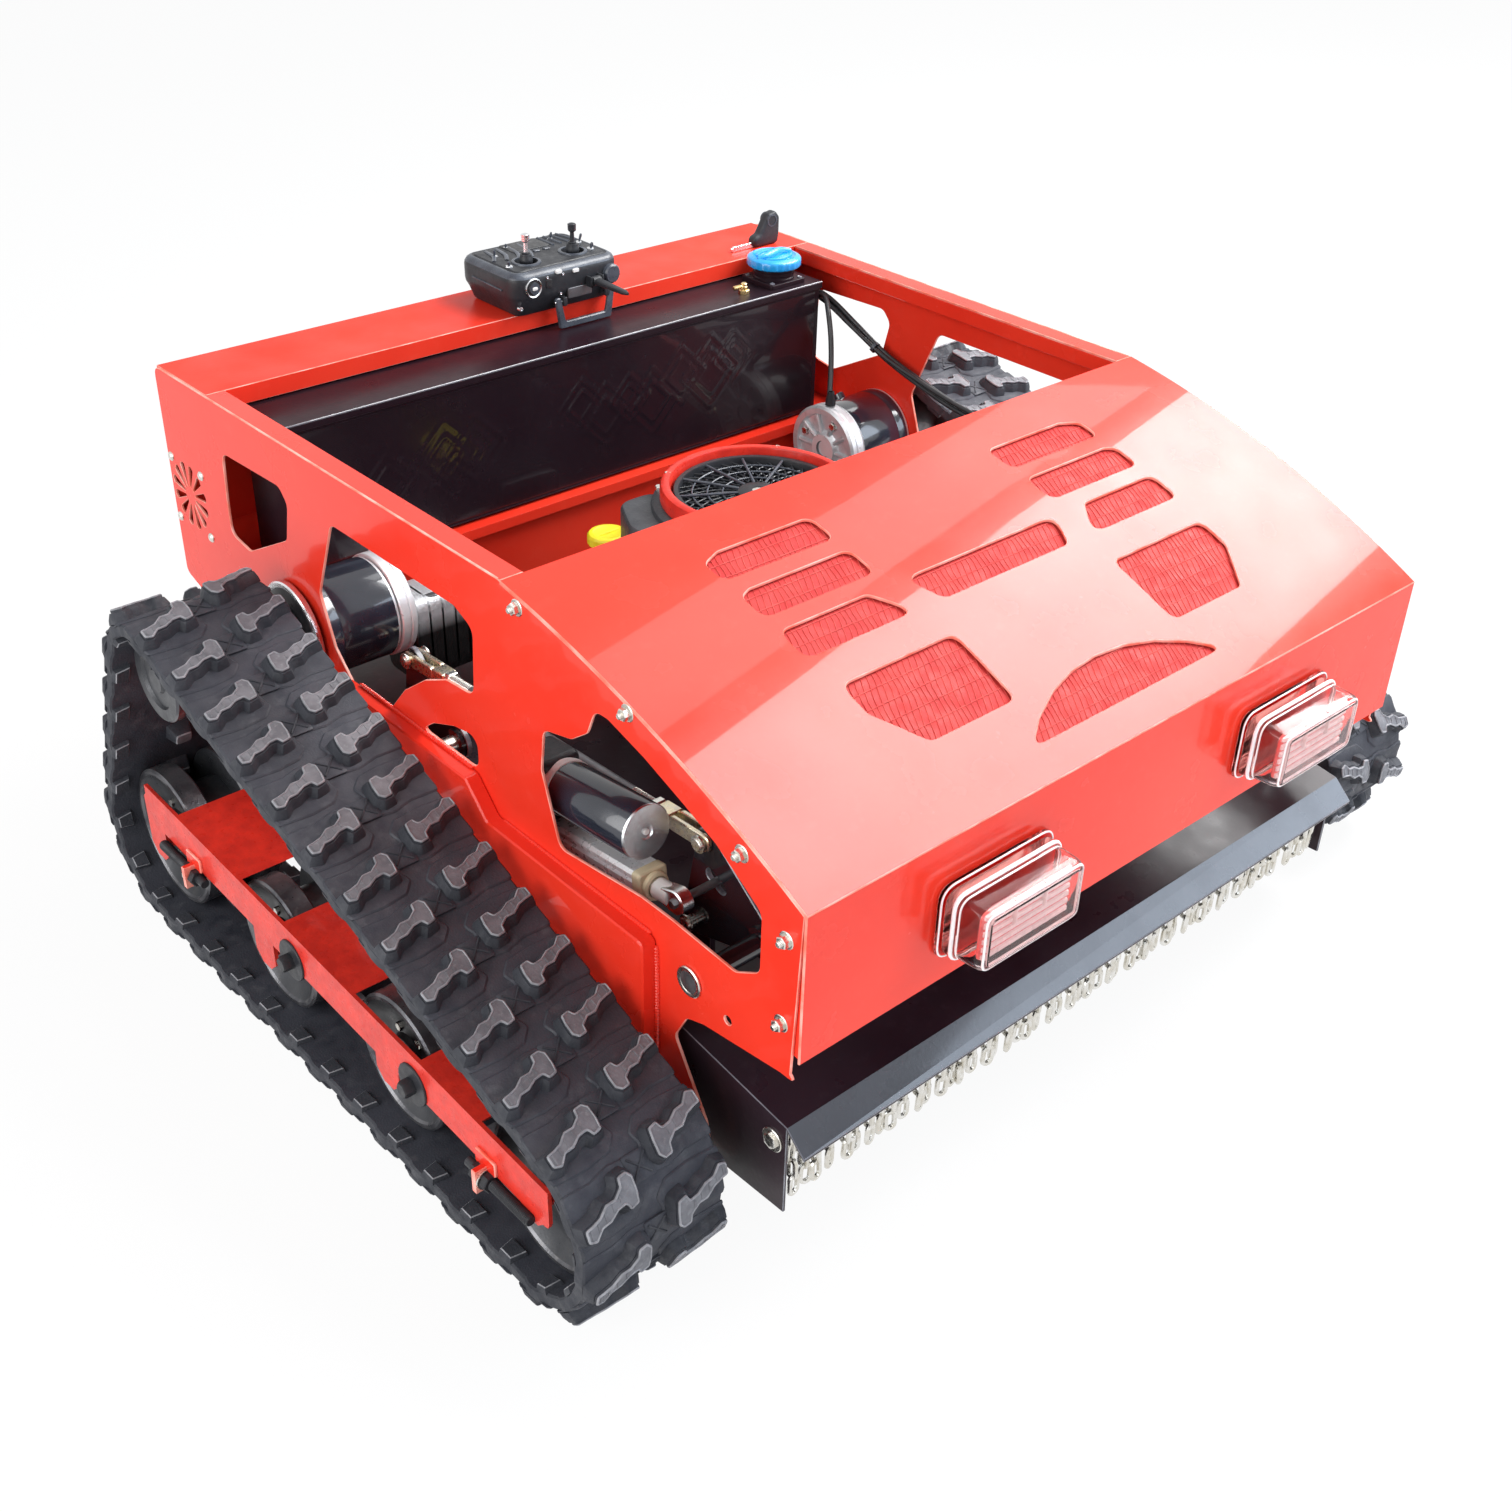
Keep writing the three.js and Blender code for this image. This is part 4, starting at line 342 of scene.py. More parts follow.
def shaped(box, shares):
    """Shares of a box of low corner, bottom, width and height as points."""
    low, bottom, width, height = box
    return [(low + u * width, bottom + v * height) for u, v in shares]


def smooth_path(points, steps):
    """A Catmull-Rom line through the points."""
    known = [Vector(p) for p in points]
    known = [2 * known[0] - known[1], *known, 2 * known[-1] - known[-2]]
    result = []
    for i in range(1, len(known) - 2):
        a, b, c, d = known[i - 1 : i + 3]
        for k in range(steps):
            t = k / steps
            bend = 2 * b + (c - a) * t + (2 * a - 5 * b + 4 * c - d) * t * t
            result.append((bend + (3 * b - 3 * c + d - a) * t**3) / 2)
    return [*result, known[-2]]


def wrapped(circles):
    """(a, b, radius, first angle, last angle) for each circle inside a band that runs counterclockwise."""
    leaves = []
    for i, (a, b, r) in enumerate(circles):
        na, nb, nr = circles[(i + 1) % len(circles)]
        toward = math.atan2(nb - b, na - a)
        leaves.append(toward - math.pi / 2 + math.asin((r - nr) / math.hypot(na - a, nb - b)))
    arcs = []
    for i, (a, b, r) in enumerate(circles):
        start, end = leaves[i - 1], leaves[i]
        while end < start:
            end += FULL
        arcs.append((a, b, r, start, end))
    return arcs


STRAP_STEP = 0.35


def strap(circles):
    """The outline of a band round circles (a, b, radius) taken counterclockwise."""
    points = []
    for a, b, r, start, end in wrapped(circles):
        steps = max(2, math.ceil((end - start) / STRAP_STEP))
        points += [polar((a, b), r, angle) for angle in evenly(start, end, steps)]
    return points


# Pieces

AXES = {
    "x": lambda a, b, c: (c, a, b),
    "y": lambda a, b, c: (a, c, b),
    "z": lambda a, b, c: (a, b, c),
}
BEAD = Sizes(step=3.2, low=0.82, ripple=0.18, tip=0.45)
BOLT_SHARES = Sizes(washer_edge=0.7, shoulder=0.82, top=0.86, crown=0.5, thread=1 / 3.4, root=0.88, tip=0.7)
THREAD_PITCH = 1.5
BEVEL_ANGLE = 40


def on_ring(axis, centre, radius, angle, level):
    """A point on a circle round an axis, at a level along that axis."""
    return AXES[axis](*polar(centre, radius, angle), level)


def nth(value, i):
    """The value itself, or its part number i where it is a list."""
    return value[i] if isinstance(value, (list, tuple)) else value


class Piece:
    """One piece under construction, as a mesh in millimetres. side -1 mirrors it to -X at the end."""

    def __init__(self, name, *looks, side=1):
        self.name = name
        self.looks = looks
        self.side = side
        self.bm = bmesh.new()

    def faces(self, rings, look=0, closed=True):
        """Quads between rings of points, each ring closed on itself. look may be a list per gap."""
        made = [[self.bm.verts.new(p) for p in ring] for ring in rings]
        pairs = list(zip(made, made[1:]))
        if closed:
            pairs.append((made[-1], made[0]))
        for k, (first, second) in enumerate(pairs):
            for i in range(len(first)):
                j = (i + 1) % len(first)
                face = self.bm.faces.new((first[i], first[j], second[j], second[i]))
                face.material_index = nth(look, k)
        return made

    def cap(self, loops, look=0):
        """Flat or gently bent triangles that fill the first loop of vertices round the others."""
        every = [v for loop in loops for v in loop]
        for triangle in tessellate_polygon([[v.co for v in loop] for loop in loops]):
            corners = [every[i] for i in triangle]
            if len(set(corners)) == 3 and not self.bm.faces.get(corners):
                self.bm.faces.new(corners).material_index = look

    def stack(self, rings, look=0, low=0, high=0):
        """Rings joined in turn, with both ends filled in their own looks."""
        made = self.faces(rings, look, closed=False)
        self.cap([made[-1]], high)
        self.cap([made[0]], low)

    def plate(self, axis, outline, span, holes=(), rim=RIM, look=0, edge=None):
        """An outline with holes, thickened along an axis, with its edges broken by a rim."""
        to = AXES[axis]
        low, high = sorted(span)
        rim = min(rim, (high - low) / 3)
        bottoms, tops = [], []
        for loop in [wound(outline), *(wound(hole)[::-1] for hole in holes)]:
            inner = inset(loop, rim)
            levels = [(inner, low), (loop, low + rim), (loop, high - rim), (inner, high)]
            rings = [[to(a, b, c) for a, b in ring] for ring, c in levels]
            made = self.faces(rings, look if edge is None else edge, closed=False)
            bottoms.append(made[0])
            tops.append(made[-1])
        for loops in (bottoms, tops):
            if len(loops) == 1 and len(outline) == 4:
                self.bm.faces.new(loops[0]).material_index = look
            else:
                self.cap(loops, look)

    def block(self, xs, ys, zs, rim=RIM, look=0, edge=None, axis="z"):
        spans = {"x": (ys, zs, xs), "y": (xs, zs, ys), "z": (xs, ys, zs)}[axis]
        self.plate(axis, rectangle(*sorted(spans[0]), *sorted(spans[1])), spans[2], rim=rim, look=look,
                   edge=edge)

    def soft_plate(self, axis, outline, span, fillet, look=0, steps=3):
        """An outline thickened along an axis, with a quarter-round fillet at both ends."""
        to = AXES[axis]
        low, high = sorted(span)
        quarter = evenly(0, math.pi / 2, steps)
        levels = [(fillet * (1 - math.sin(a)), low + fillet * (1 - math.cos(a))) for a in quarter]
        levels += [(i, high + low - c) for i, c in levels[::-1]]
        self.stack([[to(a, b, c) for a, b in inset(wound(outline), i)] for i, c in levels], look, look, look)

    def soft_block(self, xs, ys, zs, corner, fillet, axis="z", look=0):
        """A block with round corners in plan and a quarter-round fillet at both ends."""
        spans = {"x": (ys, zs, xs), "y": (xs, zs, ys), "z": (xs, ys, zs)}[axis]
        outline = rounded(rectangle(*sorted(spans[0]), *sorted(spans[1])), corner)
        self.soft_plate(axis, outline, spans[2], fillet, look)

    def turned(self, profile, at, along=UP, sides=ROUND, look=0, start=0.0, wave=None):
        """A profile turned about a line from a point. A radius of 0 closes it."""
        turn = Vector(UP).rotation_difference(Vector(along).normalized()).to_matrix()
        rows = []
        for distance, radius in profile:
            ring = []
            for i in range(sides if radius else 1):
                angle = start + FULL * i / sides
                r = radius * (wave(angle, distance) if wave else 1)
                place = turn @ Vector((r * math.cos(angle), r * math.sin(angle), distance))
                ring.append(self.bm.verts.new(Vector(at) + place))
            rows.append(ring)
        for k, (first, second) in enumerate(zip(rows, rows[1:])):
            for i in range(sides if len(first) + len(second) > 2 else 0):
                j = (i + 1) % sides
                corners = [first[i % len(first)], first[j % len(first)],
                           second[j % len(second)], second[i % len(second)]]
                self.bm.faces.new(list(dict.fromkeys(corners))).material_index = nth(look, k)

    def collar(self, at, along, span, inner, outer, sides=SMALL, look=0):
        """A square-edged ring about a line, from and to a distance from a point on it."""
        low, high = span
        self.turned([(low, inner), (low, outer), (high, outer), (high, inner), (low, inner)], at, along,
                    sides, look)

    def rod(self, a, b, radius, sides=SMALL, look=0, rim=RIM):
        a, b = Vector(a), Vector(b)
        length = (b - a).length
        rim = min(rim, length / 3, radius / 3)
        profile = [(0, 0), (0, radius - rim), (rim, radius), (length - rim, radius), (length, radius - rim),
                   (length, 0)]
        self.turned(profile, a, b - a, sides, look)

    def tube(self, points, radius, sides=12, look=0, closed=False, flat=1.0, up=UP):
        """A bar along a line of points. radius may be a list, and flat squashes it along up."""
        line = [Vector(p) for p in points]
        count = len(line)
        normal = Vector(up)
        rings = []
        for i, point in enumerate(line):
            before = line[i - 1] if i or closed else point
            after = line[(i + 1) % count] if i + 1 < count or closed else point
            along = (after - before).normalized()
            normal = (normal - along * normal.dot(along)).normalized()
            other = along.cross(normal)
            rings.append([point + (normal * math.cos(a) * flat + other * math.sin(a)) * nth(radius, i)
                          for a in turns(sides)])
        made = self.faces(rings, look, closed=closed)
        if not closed:
            for ring in (made[0], made[-1]):
                self.bm.faces.new(ring).material_index = look

    def bead(self, points, radius):
        """A weld bead: a rippled low bar along a line."""
        line = smooth_path(points, 8)
        total = sum((b - a).length for a, b in zip(line, line[1:]))
        count = max(int(total / BEAD.step) * 3, 6)
        placed = []
        radii = []
        for i, target in enumerate(evenly(0, total, count)):
            for a, b in zip(line, line[1:]):
                length = (b - a).length
                if target <= length or b is line[-1]:
                    placed.append(a.lerp(b, min(target / max(length, MM), 1)))
                    break
                target -= length
            ripple = BEAD.low + BEAD.ripple * math.cos(FULL * i / 3)
            radii.append(radius * ripple * min(1, BEAD.tip + min(i, count - i) / 4))
        self.tube(placed, radii, COARSE)

    def bolt(self, at, along, across=13, head=6, washer=None, look=0, stud=0.0, turn=0.2):
        """A hexagon head on a washer, with an optional threaded end."""
        s = BOLT_SHARES
        along = Vector(along).normalized()
        radius = across / 2 / math.cos(math.pi / HEX)
        lift = 0
        if washer:
            lift = head / 4
            profile = [(0, 0), (0, washer), (lift * s.washer_edge, washer), (lift, washer - RIM), (lift, 0)]
            self.turned(profile, at, along, SMALL, look)
        on = Vector(at) + along * lift
        profile = [(0, 0), (0, radius), (head * s.shoulder, radius), (head, radius * s.top),
                   (head, radius * s.crown), (head - RIM / 2, 0)]
        self.turned(profile, on, along, HEX, look, start=turn)
        if stud:
            thread = across * s.thread
            profile = [(0, 0), (0, thread)]
            rows = int(stud / THREAD_PITCH)
            for i in range(rows):
                profile += [(stud * (i + 0.3) / rows, thread), (stud * (i + 0.8) / rows, thread * s.root)]
            profile += [(stud, thread * s.tip), (stud, 0)]
            self.turned(profile, on + along * (head - RIM), along, 14, look)

    def move_since(self, first, matrix):
        """Moves what was made since the piece had a number of points."""
        self.bm.verts.ensure_lookup_table()
        bmesh.ops.transform(self.bm, matrix=matrix, verts=self.bm.verts[first:])

    def done(self, body="root", nodes=(), angle=32):
        """The mesh becomes an object in metres that rides on a body."""
        for vert in self.bm.verts:
            vert.co.x *= self.side
        bmesh.ops.recalc_face_normals(self.bm, faces=self.bm.faces)
        for vert in self.bm.verts:
            vert.co = Vector((vert.co.x, vert.co.y - MIDDLE_Y, vert.co.z)) * MM
        mesh = bpy.data.meshes.new(self.name)
        self.bm.to_mesh(mesh)
        self.bm.free()
        for look in self.looks:
            mesh.materials.append(LOOKS[look])
        mesh.shade_smooth()
        mesh.set_sharp_from_angle(angle=math.radians(angle))
        made = bpy.data.objects.new(self.name, mesh)
        bpy.context.scene.collection.objects.link(made)
        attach(made, body)
        if nodes:
            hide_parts(*nodes)


def keep(node, *looks, bevel):
    """A frame node whose shape is right stays, with a better finish and broken edges."""
    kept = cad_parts[node]
    kept.data.materials.clear()
    for look in looks:
        kept.data.materials.append(LOOKS[look])
    weld = kept.modifiers.new("weld", "WELD")
    weld.merge_threshold = MM / 100
    broken = kept.modifiers.new("broken_edges", "BEVEL")
    broken.width = bevel * MM
    broken.segments = 2
    broken.limit_method = "ANGLE"
    broken.angle_limit = math.radians(BEVEL_ANGLE)
    broken.harden_normals = False
    # The bevel faces take the second look, a painted edge highlight.
    broken.material = 1
    return kept


# Body shell: hood with its mesh, and side panels

BODY = Sizes(half=425, top=538, depth=1013, sheet=3, hood=384, fold=412, sag=16, front_bottom=263, rail=25,
             lip=20, rear_top=108, rear_bottom=296, skirt=62, skirt_front=100, skirt_rear=850)
INSIDE = BODY.half - BODY.sheet
CHORD = math.hypot(BODY.hood, BODY.top - BODY.fold)
HOOD_RADIUS = (CHORD**2 / 4 + BODY.sag**2) / (2 * BODY.sag)
HOOD_RISE = (BODY.top - BODY.fold) / CHORD
HOOD_RUN = BODY.hood / CHORD
HOOD_Y = BODY.hood / 2 + HOOD_RISE * (HOOD_RADIUS - BODY.sag)
HOOD_Z = (BODY.top + BODY.fold) / 2 - HOOD_RUN * (HOOD_RADIUS - BODY.sag)
ROWS = Sizes(near=122, far=256, first=185, height=35, step=53, corner=12)
ROW_SHARES = (
    [(0, 0), (1, 0), (1, 1), (0.21, 1)],
    [(0, 0), (1, 0), (1, 0.85), (0.9, 1), (0, 1)],
    [(0, 0), (1, 0), (1, 0.75), (0.83, 1), (0, 1)],
)
EYE_BOX = (111, 73, 138, 77)
EYE_SHARES = [(0, 0), (0.77, 0), (1, 0.57), (1, 1), (0, 1)]
CENTRE_WINDOW = Sizes(half=104, taper=18)
MOUTH = Sizes(half=135, front=31, rise=45, steps=8)
HOOD_STRIPS = 44
FLANGE = Sizes(depth=26, sheet=2.5, foot=4, end=1, steps=24)


def hood_height(y, depth=0.0):
    return HOOD_Z + math.sqrt((HOOD_RADIUS - depth) ** 2 - (y - HOOD_Y) ** 2)


def hood_windows():
    outlines = [shaped(EYE_BOX, EYE_SHARES)]
    for i, shares in enumerate(ROW_SHARES):
        box = (ROWS.near, ROWS.first + i * ROWS.step, ROWS.far - ROWS.near, ROWS.height)
        outlines.append(shaped(box, shares))
    outlines += [[(-x, y) for x, y in outline][::-1] for outline in outlines]
    half, taper = CENTRE_WINDOW.half, CENTRE_WINDOW.taper
    first, last = ROWS.first, ROWS.first + ROWS.height
    outlines.append([(taper - half, first), (half - taper, first), (half, last), (-half, last)])
    radius = (MOUTH.half**2 + MOUTH.rise**2) / (2 * MOUTH.rise)
    angle = math.asin(MOUTH.half / radius)
    centre = (0, MOUTH.front + MOUTH.rise - radius)
    outlines.append([polar(centre, radius, math.pi / 2 + a) for a in evenly(-angle, angle, MOUTH.steps)])
    return [rounded(outline, ROWS.corner, 6) for outline in outlines]


def bend_to_hood(piece, low, high, strips):
    """Flat points at (x, y, minus their depth) go onto the hood's arc, cut into strips that follow it."""
    for y in evenly(low, high, strips)[1:-1]:
        geometry = piece.bm.verts[:] + piece.bm.edges[:] + piece.bm.faces[:]
        bmesh.ops.bisect_plane(piece.bm, geom=geometry, dist=MM, plane_co=(0, y, 0), plane_no=BACK)
    for vert in piece.bm.verts:
        vert.co.z = hood_height(vert.co.y, -vert.co.z)


def front_hood():
    piece = Piece("hood_sheet", "red", "red_edge")
    half, sheet = BODY.half, BODY.sheet
    piece.plate("z", rectangle(-half, half, 0, BODY.hood), (-sheet, 0), hood_windows(), edge=1)
    bend_to_hood(piece, 0, BODY.hood, HOOD_STRIPS)
    for vert in piece.bm.verts:
        if vert.co.y < RIM + MM:
            vert.co.z = max(vert.co.z, hood_height(vert.co.y) - sheet / 2)
    piece.block((-half, half), (0, sheet), (BODY.front_bottom, BODY.fold - RIM), edge=1, axis="y")
    outer = INSIDE - SEAT
    steps = evenly(sheet, BODY.hood - FLANGE.end, FLANGE.steps)
    arc = [(y, hood_height(y, sheet)) for y in steps]
    arc += [(y, hood_height(y, FLANGE.depth)) for y in steps[::-1]]
    front = [(sheet, BODY.front_bottom), (FLANGE.depth, BODY.front_bottom + FLANGE.foot),
             (FLANGE.depth, BODY.fold), (sheet, BODY.fold - sheet)]
    for side in BOTH:
        for outline in (arc, front):
            piece.plate("x", outline, (side * outer, side * (outer - FLANGE.sheet)))
    piece.done(nodes=["front_hood"], angle=24)


MESH = Sizes(half=285, front=22, rear=345, under=3.3, sheet=0.6, wire=0.45, pitch=6.4, lean=0.42, steps=24,
             rim=0.1, wave=1.6, wave_length=9, wave_shift=0.7, weave=0.3, cross_weave=0.5, cross_pitch=16,
             cross_first=4)


def hood_mesh():
    """Red woven wire behind the windows: slanting and crossing wires on a thin backing."""
    piece = Piece("hood_mesh_wires", "red_screen", "red_mesh")
    m = MESH
    under = m.under + 2.4 * m.wire
    piece.plate("z", rectangle(-m.half, m.half, m.front, m.rear), (-under - m.sheet, -under), rim=m.rim)
    bend_to_hood(piece, m.front, m.rear, m.steps)
    length = m.rear - m.front
    for i in range(int((2 * m.half + length * m.lean) / m.pitch)):
        start = -m.half - length * m.lean + i * m.pitch
        points = []
        for y in evenly(m.front, m.rear, m.steps):
            x = start + m.lean * (y - m.front) + m.wave * math.sin(y / m.wave_length + i * m.wave_shift)
            if abs(x) < m.half - 1:
                points.append((x, y, hood_height(y, under - m.weave)))
        if len(points) > 1:
            piece.tube(points, m.wire, 4, 1)
    for i in range(int(length / m.cross_pitch)):
        y = m.front + m.cross_first + i * m.cross_pitch
        z = hood_height(y, under - m.cross_weave)
        piece.tube([(1 - m.half, y, z), (m.half - 1, y, z)], m.wire, 4, 1)
    piece.done(nodes=["hood_mesh"])


DRIVE = Sizes(y=755, z=330, radius=51)
PIVOT = (134, 263)
GAPS = Sizes(front=50, middle=95, rear=45, back=129)
OPEN_LENGTH = BODY.depth - GAPS.front - GAPS.middle - GAPS.rear - GAPS.back
FRONT_WIDTH, MIDDLE_WIDTH, REAR_WIDTH = (OPEN_LENGTH * share for share in (0.412, 0.395, 0.193))
MIDDLE_LOW = GAPS.front + FRONT_WIDTH + GAPS.middle
OPENING = Sizes(sill=37, middle_low=26, middle_top=55, rear_low=55, rear_top=50, corner=13, shaft=24.4,
                pivot=11.4, hole=4.5, hole_at=(86, 252))
SILL = PIVOT[1] + OPENING.sill
MIDDLE_BOX = (MIDDLE_LOW, DRIVE.z - OPENING.middle_low, MIDDLE_WIDTH,
              BODY.top - OPENING.middle_top - DRIVE.z + OPENING.middle_low)
REAR_BOX = (MIDDLE_LOW + MIDDLE_WIDTH + GAPS.rear, DRIVE.z + OPENING.rear_low, REAR_WIDTH,
            BODY.top - OPENING.rear_top - DRIVE.z - OPENING.rear_low)
REAR_SHARES = [(0.97, 0.96), (0.1, 1), (0, 0.86), (0.08, 0.44), (0.72, 0), (1, 0.06), (1, 0.4)]
MIDDLE_SHARES = [(0.86, 1), (0.1, 1), (0, 0.93), (0.02, 0.54), (0.18, 0.52), (0.32, 0.42), (0.46, 0.26),
                 (0.6, 0.01), (0.8, 0), (0.93, 0.2), (1, 0.5)]
LOW_SHARES = [(0.018, 0.095), (0.36, 0.095), (0.285, 0.18), (0.155, 0.258), (0.05, 0.285), (0.018, 0.247)]
FRONT_SHARES = [(1, 0.311), (0.98, 0.507), (0.84, 0.573), (0.76, 0.668), (0.72, 0.807), (0.66, 0.825),
                (0.5, 0.814), (0.33, 0.785), (0.19, 0.755), (0.07, 0.678), (0, 0.623), (0, 0.187),
                (0.1, 0.057), (0.38, 0.075), (0.52, 0.07), (0.92, 0)]
ARCH = [(3.3, 240), (22, 240), (116, 226.5), (138, 219), (154, 189), (111, 117)]
TAIL = [(895, 205), (960, 279)]
PANEL_CORNER = 11
VENT = Sizes(at=(972, 403), radius=38, drawn=36, hub=11, slots=12, share=0.52, narrow=0.7, corner=2.2)
FENDER = Sizes(width=16, rear=669, rear_top=306, crest_rear=655, crest=318, crest_front=MIDDLE_LOW + 5,
               step=MIDDLE_LOW - 26, step_top=286, front=178, front_top=283, front_bottom=152, bottom=100,
               corner=8, rim=1.6)
PANEL_BOLTS = [(360, 522), (213, 489), (74, 429), (21, 377), (23, 292)]
VENT_BOLTS = [(1005, 438), (938, 438), (1005, 367), (935, 367)]
VENT_BOLT_PROFILE = [(0, 0), (0, 5.6), (1.6, 5.2), (3, 3.4), (3.4, 0)]
PIVOT_CAP_PROFILE = [(0, 0), (0, 15), (1.2, 15), (2, 14), (2, 11.5), (1.4, 10.5), (1.8, 4), (2.4, 0)]
# Weld beads on the outer side, as (radius, [(y, z)])
WELDS = [
    (3.4, [(405, 256), (416, 262), (430, 282)]),
    (2.6, [(FENDER.front - 1, FENDER.front_top - 8), (FENDER.front - 2, 226),
           (FENDER.front - 1, FENDER.front_bottom + 6)]),
    (2.4, [(y, FENDER.front_top + 1.5) for y in (FENDER.front + 6, 300, FENDER.step - 6)]),
    (2.4, [(y, FENDER.crest + 1.5) for y in (FENDER.crest_front + 8, 540, 640)]),
]


def vent_slot(middle):
    half = FULL * VENT.share / VENT.slots / 2
    corners = ((-half, VENT.drawn), (0, VENT.radius), (half, VENT.drawn), (half * VENT.narrow, VENT.hub),
               (-half * VENT.narrow, VENT.hub))
    return rounded([polar(VENT.at, radius, middle + angle) for angle, radius in corners], VENT.corner, 3)


def side_openings():
    front = []
    for u, v in FRONT_SHARES:
        y = GAPS.front + u * FRONT_WIDTH
        front.append((y, SILL + v * (hood_height(y) - SILL)))
    windows = [shaped(REAR_BOX, REAR_SHARES), shaped(MIDDLE_BOX, MIDDLE_SHARES),
               shaped(MIDDLE_BOX, LOW_SHARES)]
    return [*(rounded(outline, OPENING.corner, 6) for outline in [*windows, front]),
            *(vent_slot(middle) for middle in turns(VENT.slots, 0.5)),
            circle(*PIVOT, OPENING.pivot, 24), circle(DRIVE.y, DRIVE.z, OPENING.shaft, 32),
            circle(*OPENING.hole_at, OPENING.hole, 16)]


def side_panel(name, side):
    piece = Piece(f"side_panel_sheet_{name}", "red", "red_edge", "zinc", side=side)
    half, sheet, top, f = BODY.half, BODY.sheet, BODY.top, FENDER
    under_hood = [(y, hood_height(y, sheet + SEAT)) for y in evenly(BODY.hood, ARCH[0][0], 30)]
    straight = [*ARCH, (BODY.skirt_front, BODY.skirt), (BODY.skirt_rear, BODY.skirt), *TAIL,
                (BODY.depth, BODY.rear_bottom), (BODY.depth, top), (BODY.hood + SEAT, top)]
    piece.plate("x", rounded(straight, PANEL_CORNER, 4) + under_hood, (INSIDE, half), side_openings(), edge=1)
    inner = half - BODY.rail
    rail = (BODY.hood + SEAT, BODY.depth - BODY.rear_top - SEAT)
    piece.block((inner, half - RIM), rail, (top - sheet, top - MM), edge=1)
    piece.block((inner, inner + sheet), rail, (top - BODY.lip, top - sheet + MM))
    fender = [(f.rear, f.rear_top), (f.crest_rear, f.crest), (f.crest_front, f.crest), (f.step, f.step_top),
              (f.front, f.front_top), (f.front, f.front_bottom), ((f.front + f.step) / 2, f.bottom),
              (f.crest_rear, f.bottom), (f.rear, f.front_bottom)]
    piece.plate("x", rounded(fender, f.corner, 4), (half - MM, half + f.width), rim=f.rim)
    for radius, line in WELDS:
        piece.bead([(half + 1, y, z) for y, z in line], radius)
    for y, z in PANEL_BOLTS:
        piece.bolt((half - RIM, y, z), RIGHT, 10, 6, 8, 2, stud=3.5, turn=y)
        piece.bolt((INSIDE - 4, y, z), LEFT, 10, 5, None, 2, turn=z)
    for place in VENT_BOLTS:
        piece.turned(VENT_BOLT_PROFILE, (half - RIM, *place), RIGHT, SMALL, 2)
    piece.done(nodes=[f"side_panel_{name}"], angle=28)
    cap = Piece(f"pivot_cap_{name}", "zinc", "steel", side=side)
    cap.turned(PIVOT_CAP_PROFILE, (half + RIM, *PIVOT), RIGHT, 32, [0, 0, 0, 0, 0, 1, 1])
    cap.done("front_lift")


# Tracks: belts, wheels, sprockets and what is bolted to their frames

BELT = Sizes(inner=456, width=150, carcass=15, lug=13, pitch=60, pad=1.6, scallop=2.4, slope=2, edge=1.6,
             steps=12, power=0.5, margin=0.4)
BELT_MIDDLE = BELT.inner + BELT.width / 2
BASE = BELT.carcass - BELT.pad
TOP = BELT.carcass + BELT.lug
IDLER = Sizes(radius=78, front=142, rear=812, z=106)
BELT_CIRCLES = ((IDLER.rear, IDLER.z, IDLER.radius), (DRIVE.y, DRIVE.z, DRIVE.radius),
                (IDLER.front, IDLER.z, IDLER.radius))


def belt_stretches():
    """Round and straight stretches of the line on which the wheels run, counterclockwise."""
    arcs = wrapped(BELT_CIRCLES)
    stretches = []
    for (y, z, r, start, end), (ny, nz, nr, _, _) in zip(arcs, arcs[1:] + arcs[:1]):
        stretches.append(("round", (y, z, r, start, end), (r + BELT.carcass) * (end - start)))
        a, b = polar((y, z), r, end), polar((ny, nz), nr, end)
        stretches.append(("straight", (a, b, end), math.dist(a, b)))
    return stretches


STRETCHES = belt_stretches()
BELT_LENGTH = sum(length for _, _, length in STRETCHES)
PITCHES = round(BELT_LENGTH / BELT.pitch)
STEP = BELT_LENGTH / PITCHES


def belt_point(x, along, height):
    """A point of the belt at a distance round it and a height over the wheels' line."""
    left = along % BELT_LENGTH
    for kind, facts, length in STRETCHES:
        if left <= length:
            break
        left -= length
    t = min(left / length, 1)
    if kind == "round":
        y, z, r, start, end = facts
        return (x, *polar((y, z), r + height, start + (end - start) * t))
    (ay, az), (by, bz), angle = facts
    return (x, *polar((ay + (by - ay) * t, az + (bz - az) * t), height, angle))


# A lug's bar is a line of (in from the belt's edge, along the belt) with half its breadth at each point.
LUG_LINE = [(4.5, 9), (12, 9.5), (20, 5), (29, 1.5), (38, -1), (46, -5)]
LUG_HALF = [5.2, 6.8, 4.4, 7.0, 4.6, 5.6]
LUG_HEAD = [(46, -11), (47.5, -18), (56, -19), (60.5, -14), (60, -3), (58, 6.5), (49, 8.5), (46.5, 2.5)]
LUG_OUTLINE = wound([(w, t - h) for (w, t), h in zip(LUG_LINE[:-1], LUG_HALF)] + LUG_HEAD
                    + [(w, t + h) for (w, t), h in zip(LUG_LINE[:-1], LUG_HALF)][::-1])
LUG_FOOT = rounded(inset(LUG_OUTLINE, -5.5), 5, 2)
LUG_TOP = wound(rounded(LUG_OUTLINE, 2.4, 2))
LUG_RIB = Sizes(count=5, first=0.6, half=0.8, short=2.4)
PAD_OUTLINE = wound(rounded([(0.6, -25), (30, -24), (50, -29), (70, -27), (71, -9), (66, 0), (70, 12),
                             (58, 24), (34, 27), (0.6, 25)], 5, 2))
SQUARE = Sizes(half=12.5, corner=2, cross=9, cross_wire=1.1)
